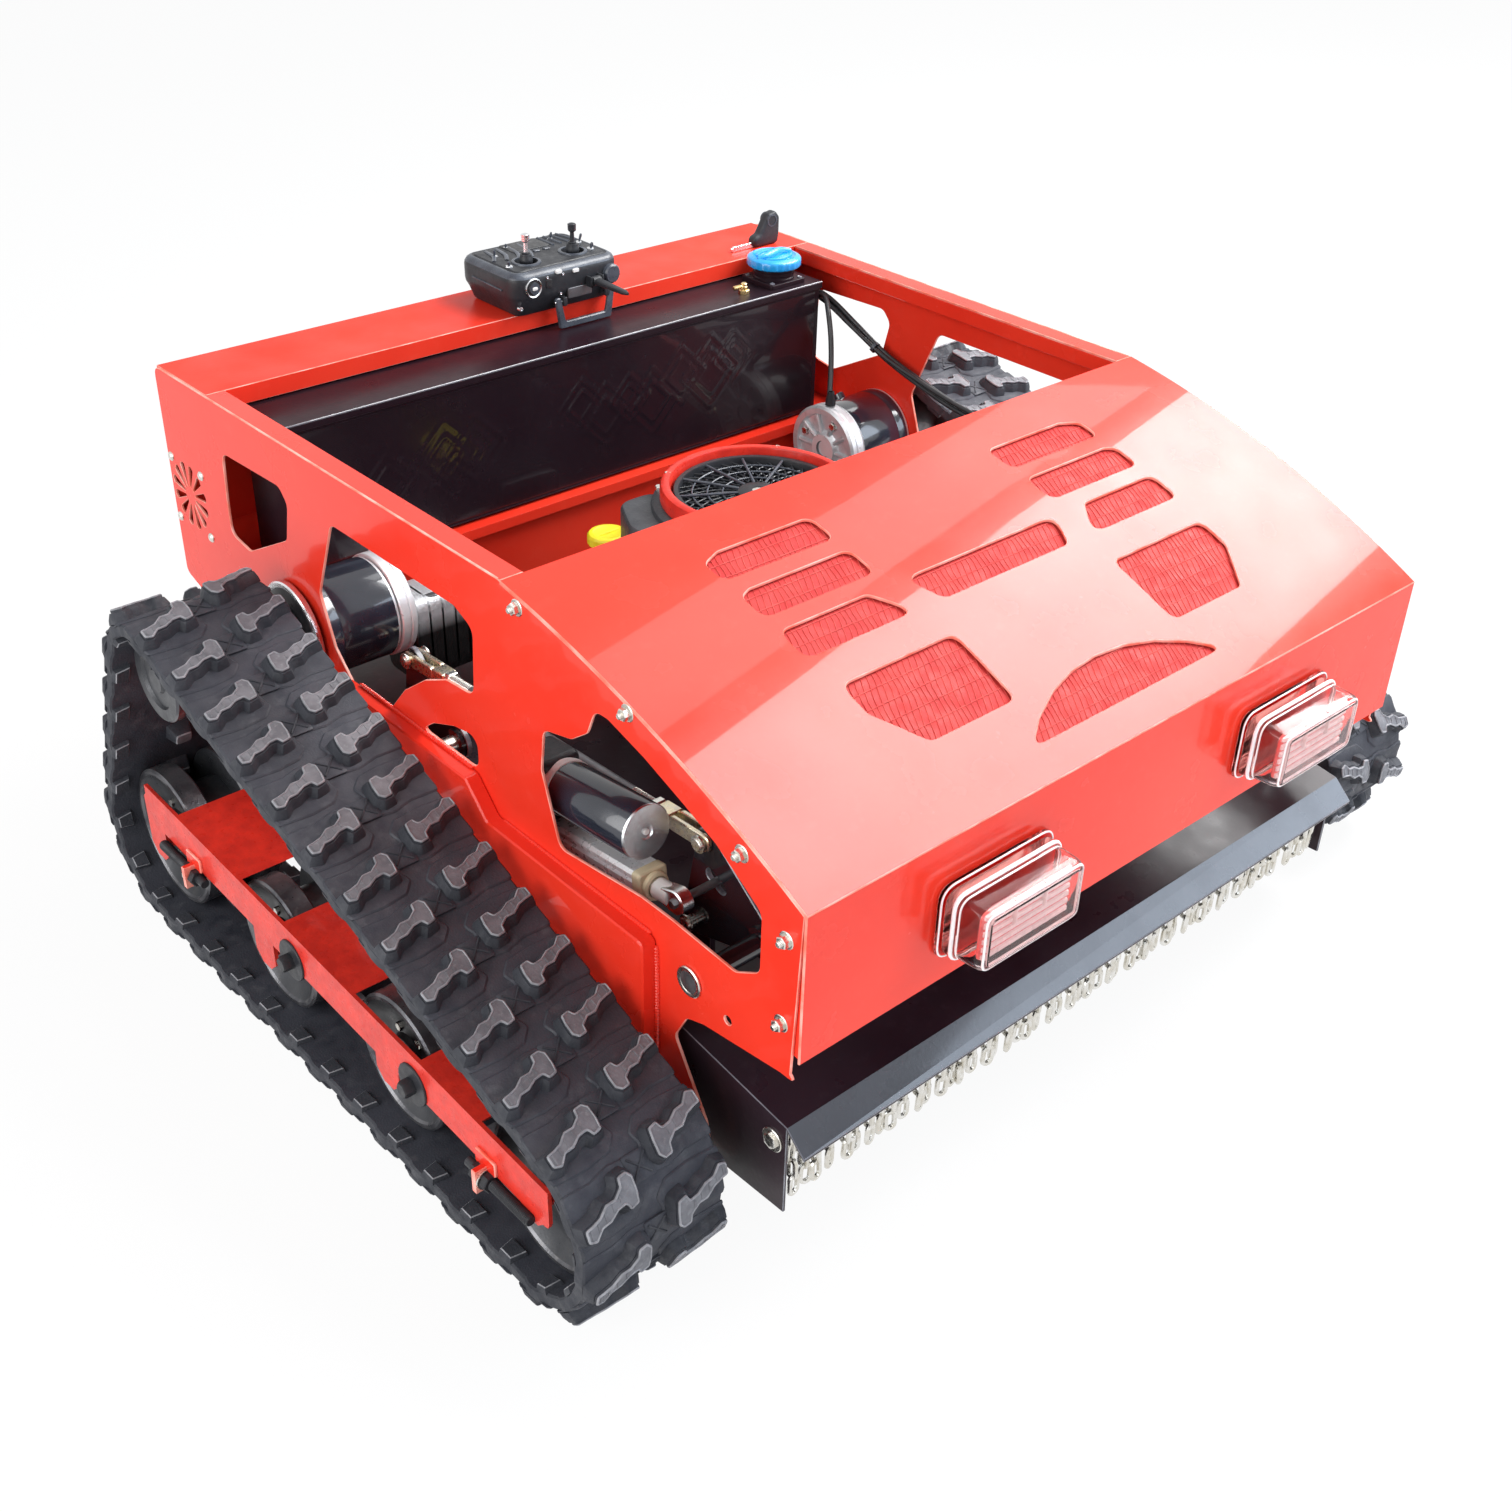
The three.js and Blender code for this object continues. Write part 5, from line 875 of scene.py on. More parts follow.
SQUARE_OUTLINE = rounded(rectangle(-SQUARE.half, SQUARE.half, -SQUARE.half, SQUARE.half), SQUARE.corner, 2)
GUIDE = Sizes(height=16, half_width=13, half_length=11, corner=3)
RIDGE_OUTLINE = [(-8, -11), (8, -8), (8, 8), (-8, 11)]
RIDGE_IN = 11
# How far each outline is moved in at each height over the wheels' line
PAD_LEVELS = [(0, BASE - 1), (0, BELT.carcass - 1.2), (1.6, BELT.carcass)]
FOOT_LEVELS = [(0, BASE), (1.5, BELT.carcass + 3), (4.4, TOP - 4)]
TOP_LEVELS = [(0, BELT.carcass + 2), (0, TOP - 1.6), (0.5, TOP - 0.6), (1.3, TOP - 0.2), (1.9, TOP - 1)]
RIB_LEVELS = [(0, TOP - 1.6), (0, TOP - 0.5)]
SQUARE_LEVELS = [(0, BASE - 1), (0, BELT.carcass + 0.6), (1, BELT.carcass + 1.2)]
GUIDE_LEVELS = [(0, 1), (1, -3), (4, 1.4 - GUIDE.height), (5, -GUIDE.height)]
RIDGE_LEVELS = [(-1, 1), (0.5, -4.4), (1.4, -5.2)]


def lug_rib(share):
    """The outline of a low rib across a lug's bar, at a share of the bar's length."""
    place = share * (len(LUG_LINE) - 1)
    k = min(int(place), len(LUG_LINE) - 2)
    part = place - k
    (w0, t0), (w1, t1) = LUG_LINE[k : k + 2]
    w, t = w0 + (w1 - w0) * part, t0 + (t1 - t0) * part
    half = LUG_HALF[k] + (LUG_HALF[k + 1] - LUG_HALF[k]) * part - LUG_RIB.short
    return rectangle(w - LUG_RIB.half, w + LUG_RIB.half, t - half, t + half)


LUG_RIBS = [lug_rib((k + LUG_RIB.first) / LUG_RIB.count) for k in range(LUG_RIB.count)]


def belt_carcass(piece):
    """The belt itself, with scalloped edges and its outer and inner faces in look 0."""
    rings = []
    for i in range(PITCHES * BELT.steps):
        sides = []
        for shift, x, sign in ((0.0, BELT.inner, 1), (0.5, BELT.inner + BELT.width, -1)):
            phase = (i % BELT.steps) / BELT.steps - shift
            wave = max(0.0, math.cos(FULL * phase)) ** BELT.power
            edge = x + sign * BELT.scallop * (1 - wave)
            corners = [(edge + sign * BELT.slope, 0), (edge, BELT.edge), (edge, BASE - BELT.edge),
                       (edge + sign * BELT.slope, BASE)]
            sides.append([belt_point(a, STEP * i / BELT.steps, height) for a, height in corners])
        rings.append(sides[0] + sides[1][::-1])
    # Every face starts in look 1, the painted side shade; the wide faces go back to look 0.
    piece.faces(rings, 1)
    for face in piece.bm.faces:
        xs = [v.co.x for v in face.verts]
        if max(xs) - min(xs) > BELT.width / 2:
            face.material_index = 0


def track_belt(name, side):
    # Look 1 is painted shade on the sides, and look 3 a painted highlight on the lugs' edges.
    piece = Piece(f"rubber_belt_{name}", "rubber", "rubber_side", "lug", "lug_edge", side=side)
    belt_carcass(piece)

    def raised(place, outline, levels, *looks):
        """An outline stacked through levels of (inset, height), each point placed on the belt."""
        moved = [(inset(outline, by) if by else outline, height) for by, height in levels]
        piece.stack([[place(a, b, height) for a, b in points] for points, height in moved], *looks)

    for i in range(PITCHES):
        for shift, edge, sign in ((0.0, BELT.inner, 1), (0.5, BELT.inner + BELT.width, -1)):
            middle = STEP * (i + shift)

            def on_edge(w, t, height):
                return belt_point(edge + sign * max(w, BELT.margin), middle - sign * t, height)

            raised(on_edge, PAD_OUTLINE, PAD_LEVELS, [1, 0])
            raised(on_edge, LUG_FOOT, FOOT_LEVELS, 1, 1, 1)
            raised(on_edge, LUG_TOP, TOP_LEVELS, [1, 3, 3, 3], 1, 2)
            for rib in LUG_RIBS:
                raised(on_edge, rib, RIB_LEVELS, 2, 2, 2)
        middle = STEP * (i + 0.25)

        def on_middle(a, b, height):
            return belt_point(BELT_MIDDLE + a, middle + b, height)

        raised(on_middle, SQUARE_OUTLINE, SQUARE_LEVELS, [1, 0])
        for direction in BOTH:
            line = [on_middle(s * SQUARE.cross, s * direction * SQUARE.cross, SQUARE_LEVELS[-1][1])
                    for s in BOTH]
            piece.tube(line, SQUARE.cross_wire, 6, 1)
        rings = []
        for by, height in GUIDE_LEVELS:
            a, b = GUIDE.half_width - by, GUIDE.half_length - by
            corners = rounded(rectangle(-a, a, -b, b), GUIDE.corner, 2)
            rings.append([on_middle(*corner, height) for corner in corners])
        piece.stack(rings, [1, 1, 3], 1, 2)
        for x in BOTH:
            reach = x * (BELT.width / 2 - RIDGE_IN)
            raised(lambda a, b, h: on_middle(reach + a, b, h), RIDGE_OUTLINE, RIDGE_LEVELS, [1, 3], 1, 1)
    piece.done(nodes=[f"track_belt_{name}"], angle=35)


IDLER_WHEEL = Sizes(radius=77.5, z=106, hub=48, dish=14)
ROAD_WHEEL = Sizes(radius=69.5, z=98, hub=44, dish=12)
WHEELS = (
    ("front_idler_wheel", "front_idler", "idler_front", IDLER_WHEEL, 142),
    ("rear_idler_wheel", "rear_idler", "idler_rear", IDLER_WHEEL, 812),
    ("front_roller", "road_wheel_front", "roller_front", ROAD_WHEEL, 365.33),
    ("rear_roller", "road_wheel_rear", "roller_rear", ROAD_WHEEL, 588.67),
)
WHEEL = Sizes(width=92, bore=10, web=4, lip=1.6, bevel=3.4, tread=25, chamfer=2, rim=2.5, flank=6, shoulder=9,
              disc=3, boss=5, bolts=6, bolt_share=0.72)
WHEEL_LOOKS = [0, 0, 0, 1, 1, 1, 1, 0, 0, 0, 0, 0, 1, 1, 1, 1, 0, 0, 0, 2, 2, 2]


def track_wheel(label, node, body, size, y, name, side):
    piece = Piece(f"{label}_{name}", "wheel", "wheel_rim", "matte", "zinc", side=side)
    w, r, hub = WHEEL, size.radius, size.hub
    face = w.width - size.dish
    profile = [
        (0, w.bore), (0, hub * 0.55), (w.web, hub * 0.6), (w.web, r - w.shoulder), (w.lip, r - w.flank),
        (w.lip, r - w.rim), (w.bevel, r), (w.tread, r), (w.tread + w.chamfer, r - w.chamfer),
        (w.tread + w.chamfer, hub), (w.width - w.tread - w.chamfer, hub),
        (w.width - w.tread - w.chamfer, r - w.chamfer), (w.width - w.tread, r), (w.width - w.bevel, r),
        (w.width - w.lip, r - w.rim), (w.width - w.lip, r - w.flank), (w.width - w.web, r - w.shoulder + 1),
        (face, r * 0.72), (face - w.disc, hub * 0.9), (face, hub * 0.6), (face + w.boss, hub * 0.52),
        (face + w.boss, w.bore), (0, w.bore),
    ]
    near = BELT_MIDDLE - w.width / 2
    piece.turned(profile, (near, y, size.z), RIGHT, 64, WHEEL_LOOKS)
    for angle in turns(w.bolts):
        piece.bolt(on_ring("x", (y, size.z), hub * w.bolt_share, angle, near + face - 2), RIGHT, 8, 3.5,
                   None, 3)
    piece.done(f"{body}_{name}", nodes=[f"{node}_{name}"])


SPROCKET_PROFILE = [
    (0, 0), (0, 13), (3.2, 13), (3.2, 53), (3.8, 55.4), (5, 56), (9.6, 56), (11.2, 54.6), (11.2, 51),
    (9.8, 49.5), (9.8, 30), (12, 28), (40, 28), (62, 28), (150, 28), (150, 44), (152, 44), (158, 44),
    (160.2, 42), (160.2, 30), (157, 28), (157, 14), (160.2, 12), (160.2, 0),
]
SPROCKET_LOOKS = [0, 0, 0, 1, 1, 1, 1, 1, 1, 2, 2, 0, 0, 0, 0, 2, 4, 4, 2, 2, 2, 2, 2]
TEETH = Sizes(count=6, offset=25, half=6, corner=6, rim=1.4)
# A tooth's corners as (radius, share of the pitch)
TOOTH = [(50.2, -0.12), (50.2, 0.12), (38, 0.34), (38, 0.66)]
HUB_SCREWS = Sizes(count=6, radius=36, level=159.4, profile=[(0, 0), (0, 3.4), (0.6, 3.2), (0.7, 0)])


def drive_sprocket(name, side):
    piece = Piece(f"sprocket_{name}", "steel", "bright", "wheel", "zinc", "wheel_rim", side=side)
    axle = (DRIVE.y, DRIVE.z)
    start = BODY.half + SEAT
    piece.turned(SPROCKET_PROFILE, (start, *axle), RIGHT, ROUND, SPROCKET_LOOKS)
    teeth = [polar(axle, radius, FULL * (i + share) / TEETH.count)
             for i in range(TEETH.count) for radius, share in TOOTH]
    for side_of in BOTH:
        x = BELT_MIDDLE + side_of * TEETH.offset
        piece.plate("x", rounded(teeth, TEETH.corner, 3), (x - TEETH.half, x + TEETH.half), rim=TEETH.rim,
                    look=2, edge=1)
    for angle in turns(HUB_SCREWS.count):
        place = on_ring("x", axle, HUB_SCREWS.radius, angle, start + HUB_SCREWS.level)
        piece.turned(HUB_SCREWS.profile, place, RIGHT, HEX, 3)
    piece.done(f"sprocket_{name}", nodes=[f"drive_sprocket_{name}"])


FRAME = Sizes(outer=590, front=118, rear=826, low=138, high=173, flange=44)
AXLE_BOLTS = Sizes(places=(320, 530), rise=9, across=15, head=11, washer=22)
AXLE_DISC_PROFILE = [(0, 0), (0, 11.6), (1.6, 11.4), (1.8, 0)]
HOOKS = ((206, -1), (724, 1))
# A hook's half outline as (y, z) from its middle, and the rod that it holds
HOOK_HALF = [(15, 14), (15, -2), (5, -4), (5, -22)]
HOOK = Sizes(rise=2, thick=3, corner=3, rim=1, block=(10, 15), block_half=3, block_z=(22, 4))
TIGHTENER = Sizes(out=4, back=24, under=9, length=92, radius=5, thread=34, threads=30, pitch=1.9, crest=5.8,
                  root=5.2, nuts=(12.6, 29), washer=27.2)
NUT_PROFILE = [(0, 0), (0, 9), (0.8, 10), (7, 10), (7.8, 9), (7.8, 0)]


def flange_top(y):
    return FRAME.low + (FRAME.high - FRAME.low) * (y - FRAME.front) / (FRAME.rear - FRAME.front)


def frame_hardware(name, side):
    """Axle bolts along the flange, and at each end a hook with the rod that tightens the belt."""
    piece = Piece(f"frame_hardware_{name}", "matte", "zinc", "red", "red_edge", side=side)
    outer, t = FRAME.outer, TIGHTENER
    for y in AXLE_BOLTS.places:
        z = flange_top(y) - FRAME.flange + AXLE_BOLTS.rise
        piece.bolt((outer - RIM, y, z), RIGHT, AXLE_BOLTS.across, AXLE_BOLTS.head, AXLE_BOLTS.washer, 0,
                   turn=y / 90)
        piece.turned(AXLE_DISC_PROFILE, (outer - 0.2, y, z), RIGHT, 28, 1)
    for y, toward in HOOKS:
        z = flange_top(y) - FRAME.flange + HOOK.rise
        hook = [(y + a, z + b) for a, b in HOOK_HALF] + [(y - a, z + b) for a, b in HOOK_HALF[::-1]]
        piece.plate("x", rounded(hook, HOOK.corner, 3), (outer - RIM, outer + HOOK.thick), rim=HOOK.rim,
                    look=2, edge=3)
        piece.block((outer - HOOK.block[0], outer + HOOK.block[1]),
                    (y - HOOK.block_half, y + HOOK.block_half), (z - HOOK.block_z[0], z + HOOK.block_z[1]),
                    look=2, edge=3)
        start = Vector((outer + t.out, y - toward * t.back, z - t.under))
        line = Vector((0, toward, 0))
        piece.rod(start, start + line * t.length, t.radius, 18, 0)
        ridges = [(t.thread, 4)]
        for i in range(t.threads):
            at = t.thread + i * t.pitch
            ridges += [(at, t.crest), (at + 0.9, t.root)]
        piece.turned([*ridges, (t.length - 1, 4)], start, line, 14, 0)
        for offset in t.nuts:
            piece.turned(NUT_PROFILE, start + line * offset, line, HEX, 0)
        piece.collar(start + line * t.washer, line, (0, 1.8), 5.2, 11, 24, 1)
    piece.done()


# Fuel tank with its neck, cap and fitting, and the battery behind it

TANK = Sizes(half=378, front=829, rear=922, bottom=343.3, top=516, neck_at=(330, 868), neck_top=536, base=58,
             base_plate=6, lip=2.4, lip_height=9, sheet=2.2, side=1.5, corner=5, fillet=2)
TANK_FACE = Sizes(step=3, side=8, under=7, over=12, fade=3, depth=3)
DENTS = [(-262, 420, 34), (-188, 430, 44), (-176, 414, 26), (-150, 432, 40), (0, 442, 34), (34, 424, 40),
         (70, 436, 30), (104, 424, 42), (150, 446, 36), (196, 440, 46), (232, 450, 34)]
DENT = Sizes(height=0.9, half=2.4, inner=0.6, wave=0.35, wave_x=90, wave_z=60)
NECK_PROFILE = [(0, 0), (0, 26), (8, 26), (9, 25), (11, 25), (12, 26), (15, 26), (16, 25), (19.4, 25),
                (19.8, 0)]
NECK_SCREW = Sizes(inside=6, profile=[(0, 0), (0, 3.4), (1.4, 3.2), (2, 2.2), (1.2, 1.2), (1.2, 0)])
CAP_PROFILE = [(0, 0), (0, 31), (1, 33), (2.4, 34), (9, 34), (10.5, 33.2), (12, 31), (13.4, 27), (12.6, 25.5),
               (11.6, 23), (12.2, 14), (13, 0)]
CAP_RIDGE = Sizes(half=28, sway=2.5, level=12.6, crown=2.6, tip=2.4, swell=2.9)
CAP_WAVE = Sizes(half=(24, 17), level=12.4, start=0.5, end=2.6, radius=1.5)
FITTING = Sizes(at=(268, 854), across=12, head=5, spout=9, ribs=4, pitch=2.8)
FITTING_PROFILE = [(4, 0), (4, 4), (7, 4), (7.5, 4.6), (9, 4.6), (9.5, 4), (12, 4), (13, 3), (13, 0)]


def grips(depth, count, low=-math.inf, high=math.inf):
    """Grip notches round a knob between two distances along it, as a wave for turned."""
    def wave(angle, distance):
        return 1 - depth * max(0, math.cos(angle * count)) if low < distance < high else 1

    return wave


def dent_height(x, z):
    height = 0.0
    for cx, cz, size in DENTS:
        away = abs(x - cx) + abs(z - cz)
        for ring in (size, size * DENT.inner):
            off = abs(away - ring) / DENT.half
            if off < 1:
                height = max(height, DENT.height * (1 - off * off) ** 2)
    return height + DENT.wave * noise.noise((x / DENT.wave_x, z / DENT.wave_z, 0))


def tank_face(piece):
    """The pressed front sheet: a grid of points that rise in low diamonds, closed at the back."""
    t, f = TANK, TANK_FACE
    columns = int(2 * (t.half - f.side) / f.step)
    rows = int((t.top - f.over - t.bottom - f.under) / f.step)
    grid = []
    for j in range(rows + 1):
        line = []
        for i in range(columns + 1):
            x = f.side - t.half + i * f.step
            z = t.bottom + f.under + j * f.step
            rise = dent_height(x, z) * min(1, min(i, columns - i, j, rows - j) / f.fade)
            line.append(piece.bm.verts.new((x, t.front + t.lip - SEAT - rise, z)))
        grid.append(line)
    for low, high in zip(grid, grid[1:]):
        for i in range(columns):
            piece.bm.faces.new((low[i], low[i + 1], high[i + 1], high[i])).material_index = 2
    border = grid[0] + [row[-1] for row in grid[1:]] + grid[-1][-2::-1] + [row[0] for row in grid[-2:0:-1]]
    behind = [piece.bm.verts.new(v.co + f.depth * Vector(BACK)) for v in border]
    for i in range(len(border)):
        piece.bm.faces.new((border[i - 1], behind[i - 1], behind[i], border[i]))
    piece.cap([behind])


def fuel_tank():
    piece = Piece("fuel_tank_shell", "tank", "gloss_edge", "tank_face")
    t = TANK
    piece.soft_block((t.side - t.half, t.half - t.side), (t.front + t.lip + 0.4, t.rear),
                     (t.bottom, t.top - 1), t.corner, t.fillet, "x")
    piece.block((-t.half, t.half), (t.front, t.rear), (t.top - t.sheet, t.top), edge=1)
    piece.block((-t.half, t.half), (t.front, t.front + t.lip), (t.top - t.lip_height, t.top - t.side))
    tank_face(piece)
    (x, y), half = t.neck_at, t.base / 2
    on = t.top + t.base_plate
    piece.soft_block((x - half, x + half), (y - half, y + half), (t.top - 1, on), t.corner, 1.2)
    reach = half - NECK_SCREW.inside
    for dx in BOTH:
        for dy in BOTH:
            piece.turned(NECK_SCREW.profile, (x + dx * reach, y + dy * reach, on - RIM), sides=16, look=1)
    piece.turned(NECK_PROFILE, (x, y, t.top))
    piece.bead([(a, t.front + 3, t.bottom + 4) for a in (-340, 0, 340)], 1.6)
    piece.done(nodes=["fuel_tank"], angle=26)


def fuel_cap():
    piece = Piece("fuel_cap_moulding", "blue")
    (x, y), bottom, r, w = TANK.neck_at, TANK.neck_top + SEAT, CAP_RIDGE, CAP_WAVE
    piece.turned(CAP_PROFILE, (x, y, bottom), sides=FINEST, wave=grips(0.022, 24, 1.5, 10))
    ridge = [(x + r.half * u, y + r.sway * math.sin(3 * u), bottom + r.level + r.crown * (1 - u * u))
             for u in evenly(-1, 1, 16)]
    piece.tube(ridge, [r.tip + r.swell * (1 - u * u) for u in evenly(-1, 1, 16)], 14)
    for turn in BOTH:
        wave = [(x + w.half[0] * math.cos(a), y + turn * w.half[1] * math.sin(a), bottom + w.level)
                for a in evenly(w.start, w.end, 10)]
        piece.tube(wave, w.radius, COARSE)
    piece.done("filler_cap", nodes=["fuel_cap"])


def tank_fitting():
    piece = Piece("tank_outlet_fitting", "brass")
    (x, y), z = FITTING.at, TANK.top + SEAT
    piece.bolt((x, y, z), UP, FITTING.across, FITTING.head)
    piece.turned(FITTING_PROFILE, (x, y, z))
    ribs = [(0, 0), (0, 3)]
    for i in range(FITTING.ribs):
        ribs += [(5 + i * FITTING.pitch, 2.3), (7.2 + i * FITTING.pitch, 3)]
    piece.turned([*ribs, (17, 2), (17, 0)], (x, y, z + FITTING.spout), LEFT, SMALL)
    piece.done(nodes=["tank_fitting"])


BATTERY = Sizes(x=(70, 320), y=(936, 1002), bottom=343.3, case=128, lid=(130, 142), corner=5, fillet=2)
CELLS = Sizes(count=6, first=40, pitch=34, level=141, profile=[(0, 0), (0, 9), (2, 9), (3, 8), (3, 0)])
TERMINAL = Sizes(inside=18, profile=[(0, 0), (0, 7), (8, 6.4), (8, 0)], ring=(7.2, 9.5), thick=3)


def battery():
    piece = Piece("battery_case", "matte", "matte_edge", "zinc", "red_mesh")
    (x0, x1), (y0, y1), z, b = BATTERY.x, BATTERY.y, BATTERY.bottom, BATTERY
    piece.soft_block(b.x, b.y, (z, z + b.case), b.corner, b.fillet)
    piece.soft_block((x0 + 1, x1 - 1), (y0 + 1, y1 - 1), (z + b.lid[0], z + b.lid[1]), b.corner, b.fillet)
    for i in range(CELLS.count):
        piece.turned(CELLS.profile, (x0 + CELLS.first + i * CELLS.pitch, (y0 + y1) / 2, z + CELLS.level),
                     sides=24, look=1)
    for x, look in ((x0 + TERMINAL.inside, 3), (x1 - TERMINAL.inside, 1)):
        piece.turned(TERMINAL.profile, (x, y0 + TERMINAL.inside, z + CELLS.level), look=2)
        piece.collar((x, y0 + TERMINAL.inside, z + b.lid[1]), UP, (0, TERMINAL.thick), *TERMINAL.ring, 24,
                     look)
    piece.done(nodes=["battery"])


# Drive motors with their end covers

MOTOR = Sizes(radius=54, length=84, face=421.7, shaft=22, bolt_circle=40)
PLUG = Sizes(x=378, radius=7, ends=((30, -12), (36, -6)))
MOTOR_PROFILE = [(0, 0), (0, 51), (1, 53), (3, 53), (4, 54), (64, 54), (66, 52.8), (68, 52.8), (70, 54),
                 (80.5, 54), (81, 54), (83, 54), (84, 52.5), (84, 0)]
MOTOR_LOOKS = [1, 1, 1, 1, 0, 0, 0, 0, 0, 1, 1, 1, 0]
COVER = Sizes(ribs=10, rib=3.2, inner=20, outer=45, rib_at=(14.5, 15.5), bosses=4, circle=37, boss=7,
              boss_at=14)
COVER_PROFILE = [(0, 0), (0, 55), (1, 56), (9, 56), (10, 54.6), (11, 54.6), (12, 56), (17, 56), (19.6, 53),
                 (19.6, 46), (14.5, 44), (13, 24), (16, 21), (19, 19), (19, 11), (16, 10), (16, 0)]
COVER_LOOKS = [0, 1, 1, 1, 1, 1, 1, 0, 0, 0, 0, 0, 0, 1, 3, 1]


def drive_motor(name, side):
    piece = Piece(f"drive_motor_can_{name}", "motor", "satin", "zinc", side=side)
    y, z = axle = (DRIVE.y, DRIVE.z)
    start = MOTOR.face - MOTOR.length
    piece.turned(MOTOR_PROFILE, (start, y, z), RIGHT, 72, MOTOR_LOOKS)
    piece.rod((MOTOR.face - 4, y, z), (BODY.half, y, z), MOTOR.shaft, ROUND, 1)
    piece.rod(*((PLUG.x, y + back, z + MOTOR.radius + up) for back, up in PLUG.ends), PLUG.radius)
    for angle in turns(4, 0.5):
        piece.bolt(on_ring("x", axle, MOTOR.bolt_circle, angle, INSIDE - 5.5), RIGHT, 10, 5, None, 2)
    piece.done(nodes=[f"drive_motor_{name}"])

    cover = Piece(f"motor_end_cover_{name}", "cast", "satin", "zinc", "steel", side=side)
    c, end = COVER, start - SEAT
    cover.turned(COVER_PROFILE, (end, y, z), LEFT, 72, COVER_LOOKS)
    for angle in turns(c.ribs):
        inner, outer = (on_ring("x", axle, radius, angle, end - at)
                        for radius, at in zip((c.inner, c.outer), c.rib_at))
        cover.rod(inner, outer, c.rib, COARSE)
    for angle in turns(c.bosses, 0.25):
        cover.rod(*(on_ring("x", axle, c.circle, angle, end - c.boss_at + out) for out in (3, 0)), c.boss)
        cover.bolt(on_ring("x", axle, c.circle, angle, end - c.boss_at), LEFT, 9, 5, None, 2)
    cover.done(nodes=[f"motor_end_cap_{name}"])


# Headlights: clear housing with rim lines, red backing with slats, and clear lens

LAMP = Sizes(x=208, z=330, half_width=70, half_height=37.5, base=18, lens=30, rim=6, corner=16, flange=5,
             window_in=8.2, window=2)
HOUSING_RINGS = [(0.9, 13.4, 0.9), (4.6, 2.4, 2.0), (8.5, 1.6, 1.0)]
LENS_RINGS = [(0.9, 28.4, 1.1), (4.4, 2.6, 1.3), (8.6, 3.0, 0.9)]
# The lens's walls, outside then inside, as (behind its face, moved in)
LENS_WALLS = [(30, 0), (12, 0.8), (6, 1.6), (2, 3.4), (0.4, 5.4), (0, 8), (2, 8), (5, 5.4), (12, 3.8),
              (30, 3)]
PANEL = Sizes(half_width=56, half_height=24, corner=8, behind=11, thick=2.4, rows=6, margin=3, divider=0.8,
              divider_front=6.1)
# A slat's corners as (behind the panel's front, share of a row's height)
SLAT = [(1, 0.3), (-2, 0.16), (-2, -0.3), (1, -0.34)]


def lamp_outline(by):
    half_w, half_h = LAMP.half_width - by, LAMP.half_height - by
    box = rectangle(LAMP.x - half_w, LAMP.x + half_w, LAMP.z - half_h, LAMP.z + half_h)
    return rounded(box, LAMP.corner - by / 2, 6)


def lamp_rings(piece, rings, face, outline_at):
    """Bars round a lamp, as (moved in, behind its face, radius)."""
    for by, behind, radius in rings:
        line = [(a, face + behind, b) for a, b in outline_at(by)]
        piece.tube(line, radius, COARSE, 1, closed=True, up=BACK)


def headlight(name, side):
    base = Piece(f"headlight_housing_{name}", "lens_red", "rim_white", side=side)
    back, front = -SEAT, -SEAT - LAMP.base
    base.plate("y", lamp_outline(0), (back - LAMP.flange, back), rim=1.5)
    base.plate("y", lamp_outline(4), (front, back - LAMP.flange - 0.2), rim=1.2)
    lamp_rings(base, HOUSING_RINGS, front, lamp_outline)
    base.done(nodes=[f"headlight_base_{name}"])

    lens = Piece(f"headlight_glass_{name}", "lens", "rim_white", "lamp_red", side=side)
    face = front - SEAT - LAMP.lens
    outline = lamp_outline(LAMP.rim)
    lens.faces([[(a, face + behind, b) for a, b in inset(outline, by)] for behind, by in LENS_WALLS])
    lens.plate("y", inset(outline, LAMP.window_in), (face, face + LAMP.window), rim=0.4)
    lamp_rings(lens, LENS_RINGS, face, lambda by: inset(outline, by))
    x, z, p = LAMP.x, LAMP.z, PANEL
    at = face + p.behind
    panel = rectangle(x - p.half_width, x + p.half_width, z - p.half_height, z + p.half_height)
    lens.plate("y", rounded(panel, p.corner), (at, at + p.thick), look=2)
    row = 2 * p.half_height / p.rows
    for i in range(p.rows):
        level = z - p.half_height + row * (i + 0.5)
        slat = [(at + behind, level + row * share) for behind, share in SLAT]
        lens.plate("x", slat, (x - p.half_width + p.margin, x + p.half_width - p.margin), rim=0.2, look=1)
    for middle in (x - p.half_width / 3, x + p.half_width / 3):
        lens.block((middle - p.divider, middle + p.divider), (at + 1, face + p.divider_front),
                   (z, z + p.half_height - 1), rim=0.2, look=1)
    lens.done(nodes=[f"headlight_lens_{name}"])


# Chain curtain and its rod

CHAIN = Sizes(y=41, z=142, rod=5, strands=52, half=404, wire=2.5, link=26, link_width=14, pitch=17.2,
              lean=0.17, links=4, side=9, stagger=1.5, hang=4.5)
COLLAR = Sizes(half=2, inner=5.6, outer=8)
ROD_END = Sizes(x=411, across=13.4, head=3.2, profile=[(0, 0), (0, 12), (1.2, 12), (1.8, 11.2), (1.8, 0)])


def chain_link(piece, centre, turn, tilt):
    """An oval ring of wire, standing on end."""
    half = CHAIN.link_width / 2 - CHAIN.wire
    straight = CHAIN.link / 2 - CHAIN.wire - half
    line = []
    for start, lift in ((0, straight), (math.pi, -straight)):
        for a in evenly(start, start + math.pi, 6):
            across = half * math.cos(a)
            place = Vector((across * math.cos(turn), across * math.sin(turn), lift + half * math.sin(a)))
            line.append(Vector(centre) + Matrix.Rotation(tilt, 3, "Y") @ place)
    piece.tube(line, CHAIN.wire, COARSE, closed=True, up=(math.sin(turn), -math.cos(turn), 0))


